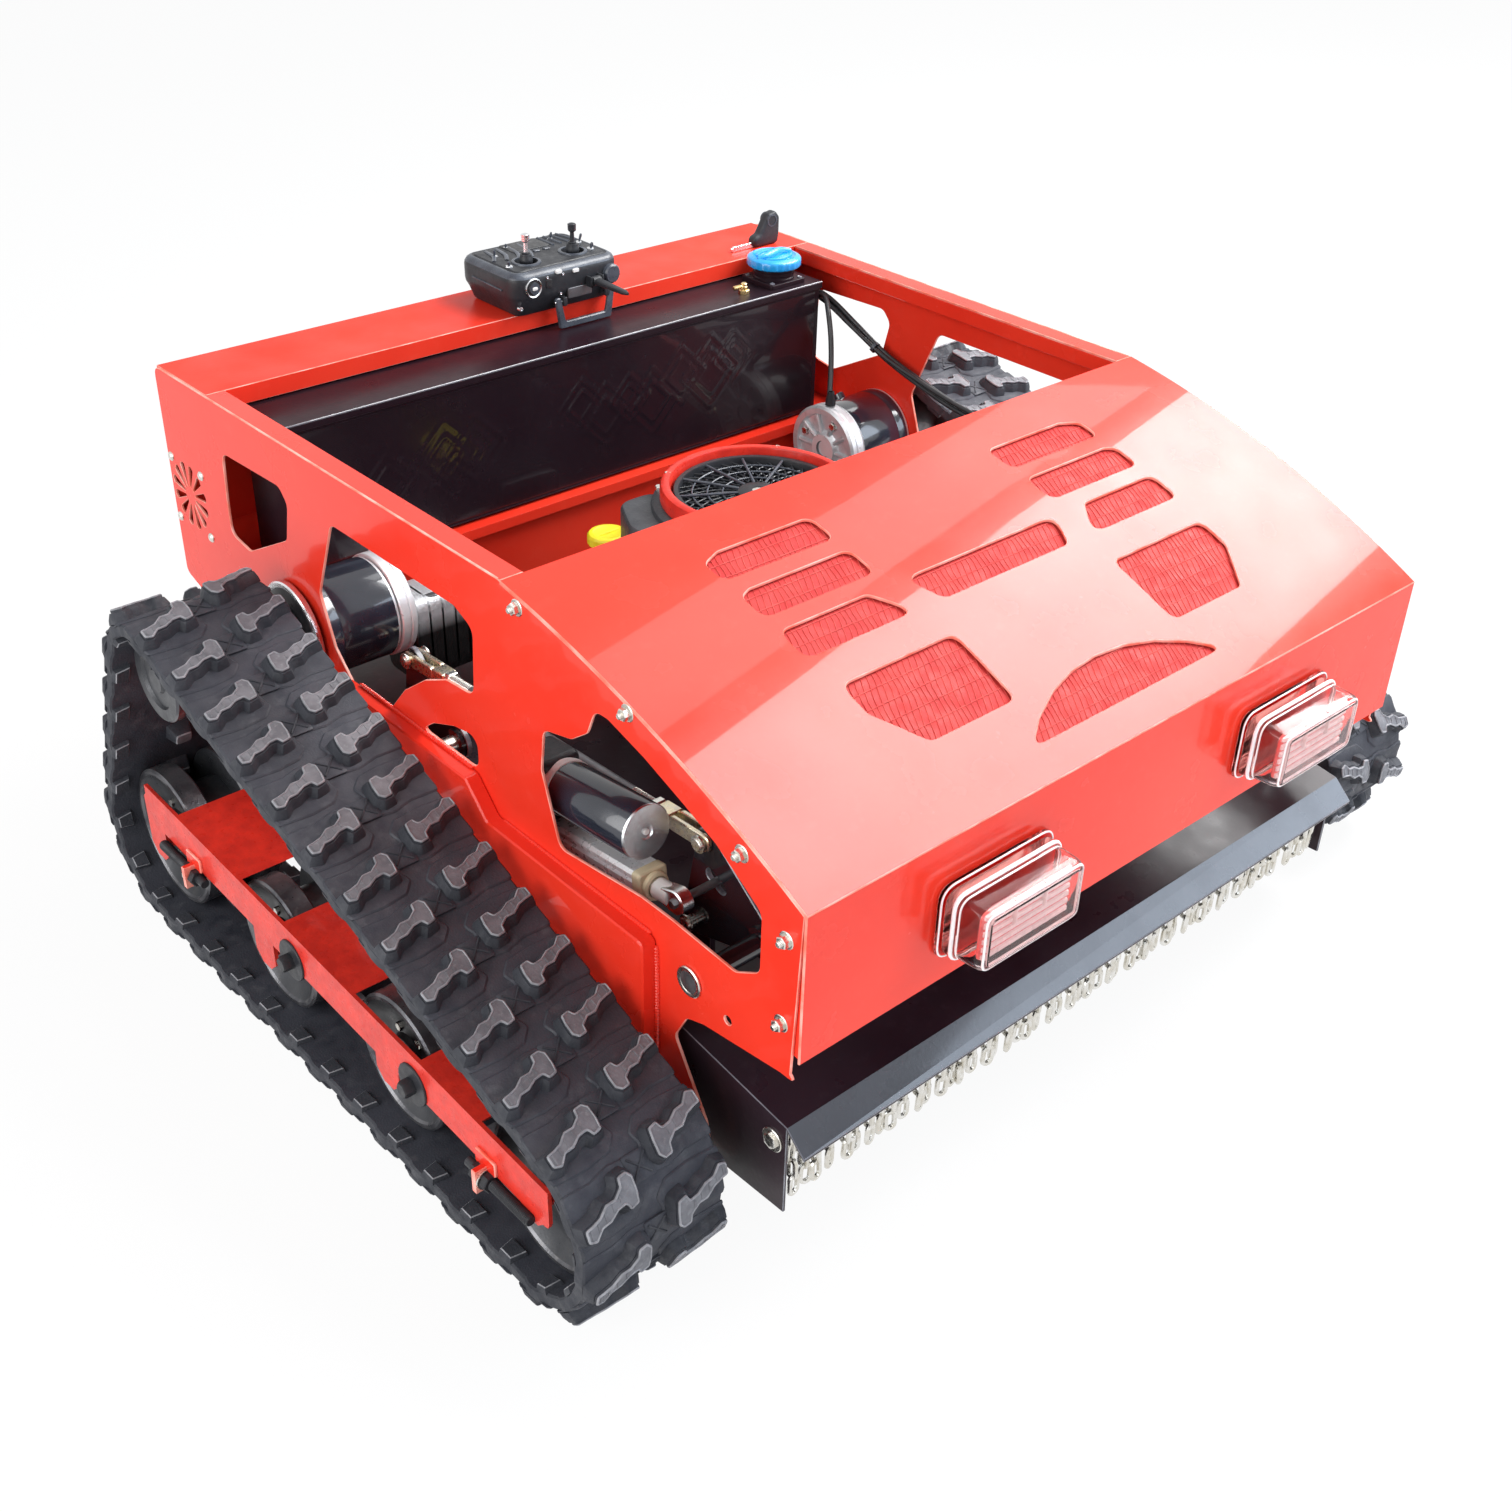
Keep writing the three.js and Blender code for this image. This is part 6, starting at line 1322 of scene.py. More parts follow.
def chain_curtain():
    piece = Piece("chain_curtain_links", "zinc")
    c = CHAIN
    for i, x in enumerate(evenly(c.side - c.half, c.half - c.side, c.strands - 1)):
        row = 1 if i % 2 else -1
        sway = 0.06 * math.sin(2.1 * i) + 0.03 * math.sin(5.3 * i)
        for k in range(c.links):
            turn = 0.35 * math.sin(1.7 * i + k) if k % 2 else math.pi / 2
            level = c.z - c.hang - k * c.pitch
            stagger = row * c.stagger if k else 0
            place = (x + sway * (c.z - level), c.y - c.lean * (c.z - level) + stagger, level)
            chain_link(piece, place, turn, sway)
    for x in evenly(COLLAR.half - c.half, c.half - COLLAR.half, c.strands // 2):
        piece.collar((x, c.y, c.z), RIGHT, (-COLLAR.half, COLLAR.half), COLLAR.inner, COLLAR.outer)
    piece.done("curtain", nodes=["chain_curtain"])
    rod = Piece("chain_hanger_rod", "zinc")
    end = ROD_END.x + SEAT
    rod.rod((-end, c.y, c.z), (end, c.y, c.z), c.rod)
    for direction in BOTH:
        rod.turned(ROD_END.profile, (direction * end, c.y, c.z), (direction, 0, 0), 28)
        rod.bolt((direction * (end + 1.6), c.y, c.z), (direction, 0, 0), ROD_END.across, ROD_END.head)
    rod.done("deck", nodes=["chain_rod"])


# Engine

ENGINE = Sizes(y=527, housing=331, top=437, foot=187, blade=84)
CENTRE = (0, ENGINE.y)
HOUSING_PROFILE = [(0, 12.5), (0, 111), (2, 113.4), (98, 114), (103, 112), (105.6, 107), (106, 104),
                   (106, 95.5), (105, 94.2), (61, 94.2), (61, 12.5), (0, 12.5)]
# The housing's square corner behind its left side, as (x, y from the engine's middle), and what it clears
CORNER = [(-60, 98), (-110.4, 98), (-138, 46), (-138, -57), (-60, -57)]
CORNER_SIZES = Sizes(radius=24, clear=101, arc=100, inner=-60.01, fillet=5, low=2, high=7)
HOUSING_BOLTS = Sizes(angles=(2.2, 3.4, 4.4, 5.6, 0.4), circle=108, across=8, head=4)
FINS = Sizes(count=9, first=2.35, pitch=0.16, circle=113.6, low=22, length=58, radius=1.6)


def blower_housing():
    piece = Piece("blower_housing_casting", "engine", "matte_edge", "zinc")
    y, c = ENGINE.y, CORNER_SIZES
    piece.turned(HOUSING_PROFILE, (*CENTRE, ENGINE.housing), sides=FINEST)
    corner = rounded([(a, y + b) for a, b in CORNER], c.radius, 6)
    outer = [point for point in corner if point[0] < c.inner and math.dist(point, CENTRE) > c.clear]
    first, last = (math.atan2(b - y, a) % FULL for a, b in (outer[0], outer[-1]))
    arc = [polar(CENTRE, c.arc, angle) for angle in evenly(last, first, 14)]
    piece.soft_plate("z", outer + arc, (ENGINE.housing + c.low, ENGINE.top - c.high), c.fillet)
    for angle in HOUSING_BOLTS.angles:
        place = on_ring("z", CENTRE, HOUSING_BOLTS.circle, angle, ENGINE.top - 2)
        piece.bolt(place, UP, HOUSING_BOLTS.across, HOUSING_BOLTS.head, None, 2)
    for i in range(FINS.count):
        x, fin_y = polar(CENTRE, FINS.circle, FINS.first + i * FINS.pitch)
        low, high = ((x, fin_y, ENGINE.housing + FINS.low + up) for up in (0, FINS.length))
        piece.rod(low, high, FINS.radius, COARSE, 1)
    piece.done("deck", nodes=["blower_housing"], angle=30)


RING_PROFILE = [(0, 93.2), (0, 103.6), (1.5, 104), (14, 104), (17, 102.5), (18.4, 100), (18.7, 97),
                (18, 94.4), (16, 93.2), (0, 93.2)]
RING_SCREWS = Sizes(count=4, circle=98.6, level=17.6,
                    profile=[(0, 0), (0, 3.2), (0.8, 3), (1, 2), (0.6, 1), (0.6, 0)])


def screen_ring():
    piece = Piece("red_screen_ring", "red_rough", "zinc")
    bottom = ENGINE.top + SEAT
    piece.turned(RING_PROFILE, (*CENTRE, bottom), sides=FINEST)
    for angle in turns(RING_SCREWS.count, 0.4):
        place = on_ring("z", CENTRE, RING_SCREWS.circle, angle, bottom + RING_SCREWS.level)
        piece.turned(RING_SCREWS.profile, place, sides=14, look=1)
    piece.done("deck", nodes=["screen_ring"])


SCREEN = Sizes(low=405, high=448, ribs=12, rib=(22, 84.5, 2.5, 1.5), spirals=40, inner=25, reach=59,
               bends=((0.55, 6.0, 0), (-0.55, 8.5, 1)), wire=0.9, rings=(38, 54, 70), ring_under=4,
               ring_wire=1, fins=8, fin_turn=0.2, fin_half=1.2)
SCREEN_RIM = [(0, 0), (0, 89), (1, 90), (42, 90), (43, 89), (43, 84.5), (41, 83.5), (4, 83.5), (4, 0)]
SCREEN_HUB = [(4, 0), (4, 24), (36, 24), (41, 22), (43, 18), (43, 7), (41, 6), (41, 0)]
SCREEN_FIN = [(25, 4), (83, 4), (83, 32), (25, 32)]


def fan_screen():
    """Rotating screen: rim, hub, radial ribs and a spiral mesh of thin bars over a dark plate."""
    piece = Piece("fan_screen_disc", "matte", "matte_edge", "zinc")
    s = SCREEN
    piece.turned(SCREEN_RIM, (*CENTRE, s.low), sides=FINEST)
    piece.turned(SCREEN_HUB, (*CENTRE, s.low))
    piece.bolt((*CENTRE, s.high - 2.4), UP, 13, 2, None, 2)
    inner, outer, under, wire = s.rib
    for angle in turns(s.ribs):
        piece.rod(*(on_ring("z", CENTRE, radius, angle, s.high - under) for radius in (inner, outer)), wire,
                  COARSE, 1)
    for angle in turns(s.spirals):
        for bend, under, look in s.bends:
            line = [on_ring("z", CENTRE, s.inner + s.reach * share, angle + bend * share, s.high - under)
                    for share in evenly(0, 1, 5)]
            piece.tube(line, s.wire, 5, look)
    for radius in s.rings:
        ring = [on_ring("z", CENTRE, radius, angle, s.high - s.ring_under) for angle in turns(ROUND)]
        piece.tube(ring, s.ring_wire, HEX, 1, closed=True)
    for angle in turns(s.fins):
        start = len(piece.bm.verts)
        piece.plate("y", SCREEN_FIN, (-s.fin_half, s.fin_half), rim=0.3)
        turn = Matrix.Rotation(angle + s.fin_turn, 4, "Z")
        piece.move_since(start, Matrix.Translation((*CENTRE, s.low)) @ turn)
    piece.done("cutter", nodes=["fan_screen"])


BLOCK = Sizes(half=(85, 88), corner=26, bore=12.6, flange_at=12, band=(40, 46), band_out=2.4, rim=2)
FOOT_PROFILE = [(0, 12.6), (0, 96), (9, 96), (12, 93), (12, 12.6), (0, 12.6)]
FOOT_BOLTS = Sizes(count=6, circle=86, level=11.6, across=13, head=6, washer=10)
BLOCK_RIBS = Sizes(first=-60, pitch=20, count=7, half=2, y=(-91, -86), low=52, high=8, rim=0.8)
HEAD = Sizes(half=48, rear=195, low=222, high=322, start=80, fins=11, fin_first=96, fin_pitch=8.4, fin=2.6,
             corner=8, cover=12, bolts=((-32, 20), (32, 20), (-32, 80), (32, 80)))
FILLER = Sizes(x=-92, y=141, low=232, top=360, radius=11, collar=(350, 11, 13, 6), branch=245,
               branch_to=(-30, 50))
INTAKE = Sizes(x=(84, 106), y=-30, level=70, radius=22)
OIL_CAP_PROFILE = [(0, 0), (0, 21), (1.2, 22.8), (3, 23), (10, 23), (12.4, 21), (13.4, 17), (12.4, 15),
                   (12, 0)]
OIL_CAP_BAR = Sizes(half=15, level=12.2, radii=[1.2, 1.7, 1.8, 1.7, 1.2])


def engine_block():
    piece = Piece("engine_block_casting", "engine", "zinc", "steel", "cable")
    y, foot, top = ENGINE.y, ENGINE.foot + SEAT, ENGINE.housing - SEAT
    piece.turned(FOOT_PROFILE, (*CENTRE, foot), sides=64)
    for angle in turns(FOOT_BOLTS.count, 0.5):
        place = on_ring("z", CENTRE, FOOT_BOLTS.circle, angle, foot + FOOT_BOLTS.level)
        piece.bolt(place, UP, FOOT_BOLTS.across, FOOT_BOLTS.head, FOOT_BOLTS.washer, 1)
    half_x, half_y = BLOCK.half
    outline = rounded(rectangle(-half_x, half_x, y - half_y, y + half_y), BLOCK.corner, 6)
    bore = circle(*CENTRE, BLOCK.bore, 24)
    piece.plate("z", outline, (foot + BLOCK.flange_at, top), [bore], rim=BLOCK.rim)
    piece.plate("z", inset(outline, -BLOCK.band_out), [foot + level for level in BLOCK.band], [bore], rim=1.5)
    b, h, f = BLOCK_RIBS, HEAD, FILLER
    for i in range(b.count):
        x = b.first + i * b.pitch
        piece.block((x - b.half, x + b.half), (y + b.y[0], y + b.y[1]), (foot + b.low, top - b.high),
                    rim=b.rim)
    rear = y + h.rear
    piece.block((9 - h.half, h.half - 9), (y + h.start, rear - 8), (h.low + 6, h.high - 6), rim=2)
    for i in range(h.fins):
        at = y + h.fin_first + i * h.fin_pitch
        piece.plate("y", rounded(rectangle(-h.half, h.half, h.low, h.high), h.corner, 4), (at, at + h.fin))
    piece.soft_block((6 - h.half, h.half - 6), (rear - h.cover, rear), (h.low + 6, h.high - 6), h.corner,
                     2.5, "y", 2)
    for dx, dz in h.bolts:
        piece.bolt((dx, rear - 3, h.low + dz), BACK, 9, 3, None, 1)
    at = y + f.y
    level, inner, outer, thick = f.collar
    piece.rod((f.x, at, f.low), (f.x, at, f.top - SEAT), f.radius, 24)
    piece.collar((f.x, at, level), UP, (0, thick), inner, outer, 24, 3)
    piece.rod((f.x, at, f.branch), (f.branch_to[0], y + f.branch_to[1], f.branch), f.radius + 1, 24)
    start, end = ((x, y + INTAKE.y, foot + INTAKE.level) for x in INTAKE.x)
    piece.rod(start, end, INTAKE.radius, 32, rim=2)
    piece.done("deck", nodes=["engine_block"])


def oil_cap():
    piece = Piece("oil_cap_moulding", "yellow")
    x, y, z = FILLER.x, ENGINE.y + FILLER.y, FILLER.top
    piece.turned(OIL_CAP_PROFILE, (x, y, z), sides=72, wave=grips(0.03, 18, 1, 11))
    line = [(x + OIL_CAP_BAR.half * u, y, z + OIL_CAP_BAR.level) for u in evenly(-1, 1, 4)]
    piece.tube(line, OIL_CAP_BAR.radii, 10)
    piece.done("deck", nodes=["oil_cap"])


MUFFLER = Sizes(x=(-305, -165), y=(735, 795), z=(226, 327), corner=16, fillet=3, seams=9, seam=2.4, seam_in=6,
                end=3, pipe=12, stub_in=34)
EXHAUST = [(-180, 742, 272), (-178, 718, 272), (-160, 708, 272), (-90, 704, 272), (-48.3, 704, 272)]
EXHAUST_COLLAR = Sizes(back=5.2, thick=5, outer=19)


def muffler():
    # The box's aluminium turns dark towards the bottom: painted shade.
    piece = Piece("muffler_box", "sooty", "zinc", "steel")
    m = MUFFLER
    (x0, x1), (y0, y1), (z0, z1) = m.x, m.y, m.z
    piece.soft_block((x0 + m.end, x1 - m.end), m.y, m.z, m.corner, m.fillet, "x")
    outline = rounded(rectangle(y0, y1, z0, z1), m.corner)
    for x in evenly(x0 + m.seam_in, x1 - m.seam_in, m.seams - 1):
        piece.plate("x", outline, (x - m.seam, x + m.seam), rim=1.2)
    for x in (x0, x1 - m.end):
        piece.plate("x", inset(outline, m.end), (x, x + m.end), rim=1)
    piece.tube(smooth_path(EXHAUST, 6), m.pipe, 20, 2)
    x, y, z = EXHAUST[-1]
    piece.collar((x - EXHAUST_COLLAR.back, y, z), RIGHT, (0, EXHAUST_COLLAR.thick), m.pipe,
                 EXHAUST_COLLAR.outer, 28, 2)
    stub = (x0 + m.stub_in, y0 + 18)
    piece.rod((*stub, z1 - 2), (*stub, z1 - 0.4), 13, 28, 2)
    piece.done("deck", nodes=["muffler"], angle=35)


SHAFT_PROFILE = [(0, 0), (0, 11), (1, 12), (319, 12), (320.7, 10.5), (320.7, 0)]
CARRIER_PROFILE = [(0, 12), (0, 69), (1, 70), (7, 70), (8, 69), (8, 44), (28, 43), (30, 41), (30, 12)]
BLADE = Sizes(radius=385, width=62, thick=6, bore=12.3, bolt_x=55)


def shaft_and_blade():
    piece = Piece("crankshaft_and_carrier", "bright", "zinc")
    b, y, z = BLADE, ENGINE.y, ENGINE.blade
    on_blade = z + b.thick + SEAT
    piece.turned(SHAFT_PROFILE, (*CENTRE, z), sides=36)
    piece.turned(CARRIER_PROFILE, (*CENTRE, on_blade), sides=64, look=1)
    for side in BOTH:
        piece.bolt((side * b.bolt_x, y, on_blade + 7.6), UP, 14, 8, 12, 1)
    piece.done("cutter", nodes=["crankshaft"])
    blade = Piece("cutting_blade_plate", "steel", "bright")
    half, cut = b.width / 2, b.width / 3
    outline = [(-b.radius, y - half), (b.radius, y - half), (b.radius, y + cut),
               (b.radius - b.width, y + half), (b.width - b.radius, y + half), (-b.radius, y + cut)]
    blade.plate("z", outline, (z, z + b.thick), [circle(*CENTRE, b.bore, 24)], rim=2, edge=1)
    blade.done("cutter", nodes=["cutting_blade"])


# Lift linkage

CRANK = Sizes(x=338, plate=6, front=PIVOT, rear=(600, 237), shaft=10, hub=18, hang=(90, -30), hang_radius=15,
              tie=(75, 66), tie_radius=12, slot=(61, 29), slot_half=8, pin=6, out=12)
PIN_COLLAR = Sizes(inner=5.5, outer=8.6, thick=1.4, at=(2, 3.4))
HUB_PROFILE = [(0, 10), (0, 16), (5, 15), (6, 10)]
BUSH_PROFILE = [(0, 10), (0, 14.4), (0.6, 15), (7.4, 15), (8, 14.4), (8, 10)]


def crank_plate(piece, at, slotted):
    c, (y, z) = CRANK, at
    x0, x1 = c.x, c.x + c.plate
    arms = [(y + dy, z + dz) for dy, dz in (c.hang, c.tie)]
    around = [(y, z, c.hub), (*arms[0], c.hang_radius), (*arms[1], c.tie_radius)]
    holes = []
    if slotted:
        dy, dz = c.slot
        share = c.slot_half / math.hypot(dy, dz)
        holes.append(strap([(y + dy * (1 + s * share), z + dz * (1 + s * share), c.pin) for s in BOTH]))
    piece.plate("x", strap(around), (x0, x1), holes, rim=0.8, edge=1)
    for arm in arms:
        piece.rod((x0 - c.out, *arm), (x1 + c.out, *arm), c.pin, 24, 2)
        for x in (x0 - c.out + PIN_COLLAR.at[0], x1 + c.out - PIN_COLLAR.at[1]):
            piece.collar((x, *arm), RIGHT, (0, PIN_COLLAR.thick), PIN_COLLAR.inner, PIN_COLLAR.outer, look=2)
    piece.turned(HUB_PROFILE, (x1 - RIM, y, z), RIGHT, 32)


def lift_cranks():
    shaft = Piece("front_lift_shaft_assembly", "gloss", "gloss_edge", "zinc")
    y, z = CRANK.front
    crank_plate(shaft, CRANK.front, True)
    copy = {v: shaft.bm.verts.new((-v.co.x, v.co.y, v.co.z)) for v in list(shaft.bm.verts)}
    for face in list(shaft.bm.faces):
        shaft.bm.faces.new([copy[v] for v in reversed(face.verts)]).material_index = face.material_index
    end = BODY.half + RIM
    shaft.rod((-end, y, z), (end, y, z), CRANK.shaft, 32)
    for direction in BOTH:
        shaft.turned(BUSH_PROFILE, (direction * (INSIDE - SEAT), y, z), (-direction, 0, 0), 32, 2)
        shaft.bolt((direction * (INSIDE - 4.4), y - 14, z), FRONT, 6, 3, None, 2)
    shaft.done("front_lift", nodes=["front_lift_shaft"])
    for name, side in SIDES.items():
        piece = Piece(f"rear_crank_plate_{name}", "gloss", "gloss_edge", "zinc", side=side)
        crank_plate(piece, CRANK.rear, False)
        piece.rod((CRANK.x, *CRANK.rear), (INSIDE - SEAT, *CRANK.rear), CRANK.shaft, 32, 2)
        piece.done(f"rear_lift_{name}", nodes=[f"rear_crank_{name}"])


TIE = Sizes(rod=6, open=45, tail=20, arm=5, half=7.5, nose=9, gap=3.5, eye=6.2, thread=8, threads=16, pitch=2)
TIE_NUT_PROFILE = [(0, 5.8), (0, 9), (1, 10), (7, 10), (8, 9), (8, 5.8), (0, 5.8)]


def tie_rod(name, side):
    piece = Piece(f"tie_rod_with_clevises_{name}", "zinc", "steel", "gold_zinc", side=side)
    t, middle = TIE, CRANK.x + CRANK.plate / 2
    a, b = (Vector((middle, y + CRANK.tie[0], z + CRANK.tie[1])) for y, z in (CRANK.front, CRANK.rear))
    along = (b - a).normalized()
    end = t.open + t.tail
    piece.rod(a + along * (end - t.tail / 2), b - along * (end - t.tail / 2), t.rod, 24, 1)
    reach = t.gap + t.arm
    for start, direction in ((a, along), (b, -along)):
        turn = Matrix((Vector(RIGHT), direction, Vector(RIGHT).cross(direction))).transposed().to_4x4()
        first = len(piece.bm.verts)
        nose = rounded(rectangle(-t.nose, t.open, -t.half, t.half), 5, 4)
        for s in BOTH:
            piece.plate("x", nose, (s * t.gap, s * reach), [circle(0, 0, t.eye, 24)], rim=1, look=2)
        tail = rounded(rectangle(t.open - 1, end, -t.half, t.half), 2, 3)
        piece.plate("x", tail, (-reach, reach), rim=1.2, look=2)
        piece.move_since(first, Matrix.Translation(start) @ turn)
        on = start + direction * (end - RIM)
        piece.turned(TIE_NUT_PROFILE, on, direction, HEX)
        ridges = []
        for i in range(t.threads):
            ridges += [(t.thread + i * t.pitch, 6.3), (t.thread + 1 + i * t.pitch, 5.9)]
        piece.turned([*ridges, (41, 5.6)], on, direction, 16)
    piece.done(f"tie_{name}", nodes=[f"tie_rod_{name}"])


ACTUATOR = Sizes(x=385, at=(391, 271), pin=(195, 292), rise=52, motor_end=158, tube_end=163, tube_start=24,
                 gear_half=20, cover=(19, 22), gland=16, rear_pin=6, rod=9.8, sleeve=9.9, eye=(12, 9),
                 eye_back=14, eye_half=7)
# Outlines beside the actuator as (along it, above it)
GEARBOX = [(-12, -20), (26, -22), (30, -14), (30, 24), (40, 30), (40, 78), (34, 82), (-4, 82), (-12, 60)]
GEAR_COVER = [(-7, -14), (22, -16), (24, 26), (34, 36), (34, 72), (0, 76)]
GEAR_SCREWS = [(-2, -8), (18, -10), (28, 66), (4, 70)]
SCREW_PROFILE = [(0, 0), (0, 2.4), (0.8, 2), (0.8, 0)]
# The tube's section as (out, above): its underside with one groove, and a flank with two, which is mirrored
TUBE_UNDER = [(-12.5, -15.5), (-4, -15.5), (-3, -13), (3, -13), (4, -15.5), (12.5, -15.5)]
TUBE_FLANK = [(15.5, -12.5), (15.5, -6), (12.9, -5), (12.9, -1.4), (15.5, -0.4), (15.5, 4.4), (12.9, 5.4),
              (12.9, 8.4), (15.5, 9.4), (15.5, 12.5), (12.5, 15.5)]
GLAND_PROFILE = [(0, 10.3), (0, 14), (5, 13.5), (6, 12), (6, 10.3), (0, 10.3)]
ACTUATOR_MOTOR_PROFILE = [(28, 0), (28, 24), (38, 24), (38.4, 27), (40, 27), (47, 27), (47.6, 26), (50, 26),
                          (50.6, 26.4), (156, 26.4), (157.6, 25.4), (157.6, 7), (156, 6), (156, 0)]
ACTUATOR_MOTOR_LOOKS = [1, 1, 5, 5, 5, 5, 1, 1, 1, 2, 2, 2, 2]


def actuator(name, side):
    a = ACTUATOR
    (py, pz), (ey, ez) = a.at, a.pin
    reach = math.hypot(ey - py, ez - pz)
    ahead = Vector((0, (ey - py) / reach, (ez - pz) / reach))
    above = Vector((0, ahead.z, -ahead.y))
    origin = Vector((a.x, py, pz))
    basis = Matrix.Translation(origin) @ Matrix((Vector(RIGHT), above, ahead)).transposed().to_4x4()

    def on(along, rise=0.0, out=0.0):
        return origin + ahead * along + above * rise + Vector((out, 0, 0))

    def beside(outline):
        return [tuple(on(u, v))[1:] for u, v in outline]

    def bar_along(piece, section, span, rim, look):
        """A bar whose cross-section is an outline in (out, above)."""
        start = len(piece.bm.verts)
        piece.plate("z", section, span, rim=rim, look=look)
        piece.move_since(start, basis)

    body = Piece(f"actuator_gearbox_{name}", "steel", "motor", "bright", "groove", "beige", "white", "matte",
                 side=side)
    body.soft_plate("x", rounded(beside(GEARBOX), 6), (a.x - a.gear_half, a.x + a.gear_half), 4, 6)
    for direction in BOTH:
        span = [a.x + direction * out for out in a.cover]
        body.plate("x", rounded(beside(GEAR_COVER), 5), span, rim=1, look=6)
        for u, v in GEAR_SCREWS:
            body.turned(SCREW_PROFILE, on(u, v, direction * (a.cover[1] - 0.4)), (direction, 0, 0), 12, 2)
    section = TUBE_UNDER + TUBE_FLANK + [(-out, up) for out, up in TUBE_FLANK[::-1]]
    bar_along(body, section, (a.tube_start, a.tube_end - 12), 0.4, 3)
    gland = rounded(rectangle(-a.gland, a.gland, -a.gland, a.gland), 5, 4)
    bar_along(body, gland, (a.tube_end - 13, a.tube_end - 1), 1.5, 4)
    body.turned(GLAND_PROFILE, on(a.tube_end - 2), ahead, 32, 4)
    body.turned(ACTUATOR_MOTOR_PROFILE, on(0, a.rise), ahead, 64, ACTUATOR_MOTOR_LOOKS)
    body.rod(on(a.motor_end - 3, a.rise), on(a.motor_end, a.rise), 3, 16, 5)
    body.rod(on(0), (INSIDE - SEAT, py, pz), a.rear_pin, 24, 2)
    body.bolt((INSIDE - SEAT - 9, py, pz), RIGHT, 16, 6, None, 2)
    body.done(f"actuator_{name}", nodes=[f"actuator_body_{name}"])

    rod = Piece(f"actuator_plunger_{name}", "white", "bright", "steel", side=side)
    rod.rod(on(80), on(reach - 11), a.rod, 36, 1)
    rod.rod(on(a.tube_end + 4.4), on(reach - 9), a.sleeve, 36, rim=1.5)
    ends = beside([(reach, 0), (reach - a.eye_back, 0)])
    eye = strap([(*place, radius) for place, radius in zip(ends, a.eye)])
    rod.plate("x", eye, (a.x - a.eye_half, a.x + a.eye_half), rim=1.2, look=1)
    rod.rod((CRANK.x - 6, ey, ez), (a.x, ey, ez), 4, SMALL, 2)
    rod.bolt((a.x + 6.6, ey, ez), RIGHT, 8, 3.4, None, 2)
    rod.done(f"plunger_{name}", nodes=[f"actuator_rod_{name}"])


# Transmitter with its sticks, antenna and handle

REMOTE = Sizes(x=28, y=944, half=76, depth=112, floor=538.3, top=592.3, front=888, corner=22, stick_x=33,
               stick_y=924)
# The case's sections from its floor up, as (moved in, above the floor)
CASE_LEVELS = [(14, 0), (11, 0.6), (9, 3), (4, 16), (0.6, 22), (0, 25), (0, 41), (0.8, 45), (3, 48.4),
               (6.5, 50.6), (9, 51), (10, 50.6), (11.5, 50.6), (12.4, 51.6), (14, 51.8)]
# The case's rounded top edge takes look 1, a painted highlight.
CASE_LOOKS = [0, 0, 0, 0, 0, 0, 0, 1, 1, 1, 0, 0, 0, 0]
WELL = Sizes(radius=13.5, low=8, high=2.2, rim=2.6, spread=1.5, sides=32)
WELL_RIM_PROFILE = [(0, 13.5), (0, 17.5), (1.6, 17), (2.2, 15.4), (1.8, 13.5), (0, 13.5)]
# Switches as (right of the middle, behind the middle, radius, length)
SWITCHES = [(-58, -22, 3.2, 8), (-50, 18, 2.6, 10), (56, -24, 3.2, 9), (60, 4, 2.6, 12), (40, 34, 2.4, 10),
            (-22, 36, 2.4, 7)]
SWITCH = Sizes(under=4, forward=0.18, outward=300)
TOP_PLATE = Sizes(half=26, y=(14, 46), z=(3, 1.2), corner=4, fillet=0.8)
RIDGES = 4
# A ridge on the top as a line of (across, behind the middle, under the top), and the shift to the next one
LEFT_RIDGE = Sizes(line=[(-62, 2, 2.2), (-53, 16, 1.6), (-48, 40, 2.4)], shift=[(15, -4), (15, -2), (15, 0)])
RIGHT_RIDGE = Sizes(line=[(62, 12, 2.2), (56, 44, 2.2)], shift=[(-11, 0), (-9, 0)])
TRIMS = Sizes(pitch=14, half=4, y=(3, 8), z=(3, 0.8))
KNOB = Sizes(x=-50, z=34, looks=[0, 2, 2, 2, 4, 0, 1],
             profile=[(-2, 0), (-2, 11.4), (1.4, 11.4), (2, 10.4), (1.2, 9), (1.2, 7.4), (3.4, 6.6),
                      (3.4, 0)])
# Screws on the front as (right of the middle, behind the front, above the floor, radius)
FRONT_SCREWS = [(-66, 3, 12, 2.6), (-30, 0, 42, 1.8), (-8, 0, 42, 1.8), (66, 3, 34, 2.4), (-12, 0, 20, 1.6)]
# Raised marks on the front as (across, behind the front, above the floor, corner, fillet, look)
FRONT_MARKS = [
    ((-53.4, -46.6), (-4.4, -2), (32, 36), 1.9, 0.6, 3),
    ((-18, -10), (-1.6, 2), (44, 48), 1.2, 0.4, 3),
    ((6, 14), (-1.6, 2), (41, 45), 1.2, 0.4, 3),
    ((-2, 32), (-0.9, 3), (12, 24), 2, 0.4, 5),
    ((-32, -24), (-0.8, 3), (30, 40), 1.5, 0.3, 4),
]
WHEEL_KNOB = Sizes(inside=16, z=30, profile=[(-3, 0), (-3, 12), (4, 11.4), (6, 9.6), (6, 0)])
# Ears of the antenna and the handle as (middle, out from it, half thickness, behind the front, height,
# fillet)
EARS = [(62, 8, 1.5, (-10, 2), (560, 572), 0.5), (50, 30, 2.5, (-4, 12), (544, 554), 0.6)]
HANDLE_PIN = Sizes(x=50, z=549, out=(27.5, 43), radius=1.6)
GRIP = Sizes(out=76.2, y=(912, 930, 950, 970), z=30, rise=0.5, radius=1.2)


def moved(span, by):
    return [value + by for value in span]


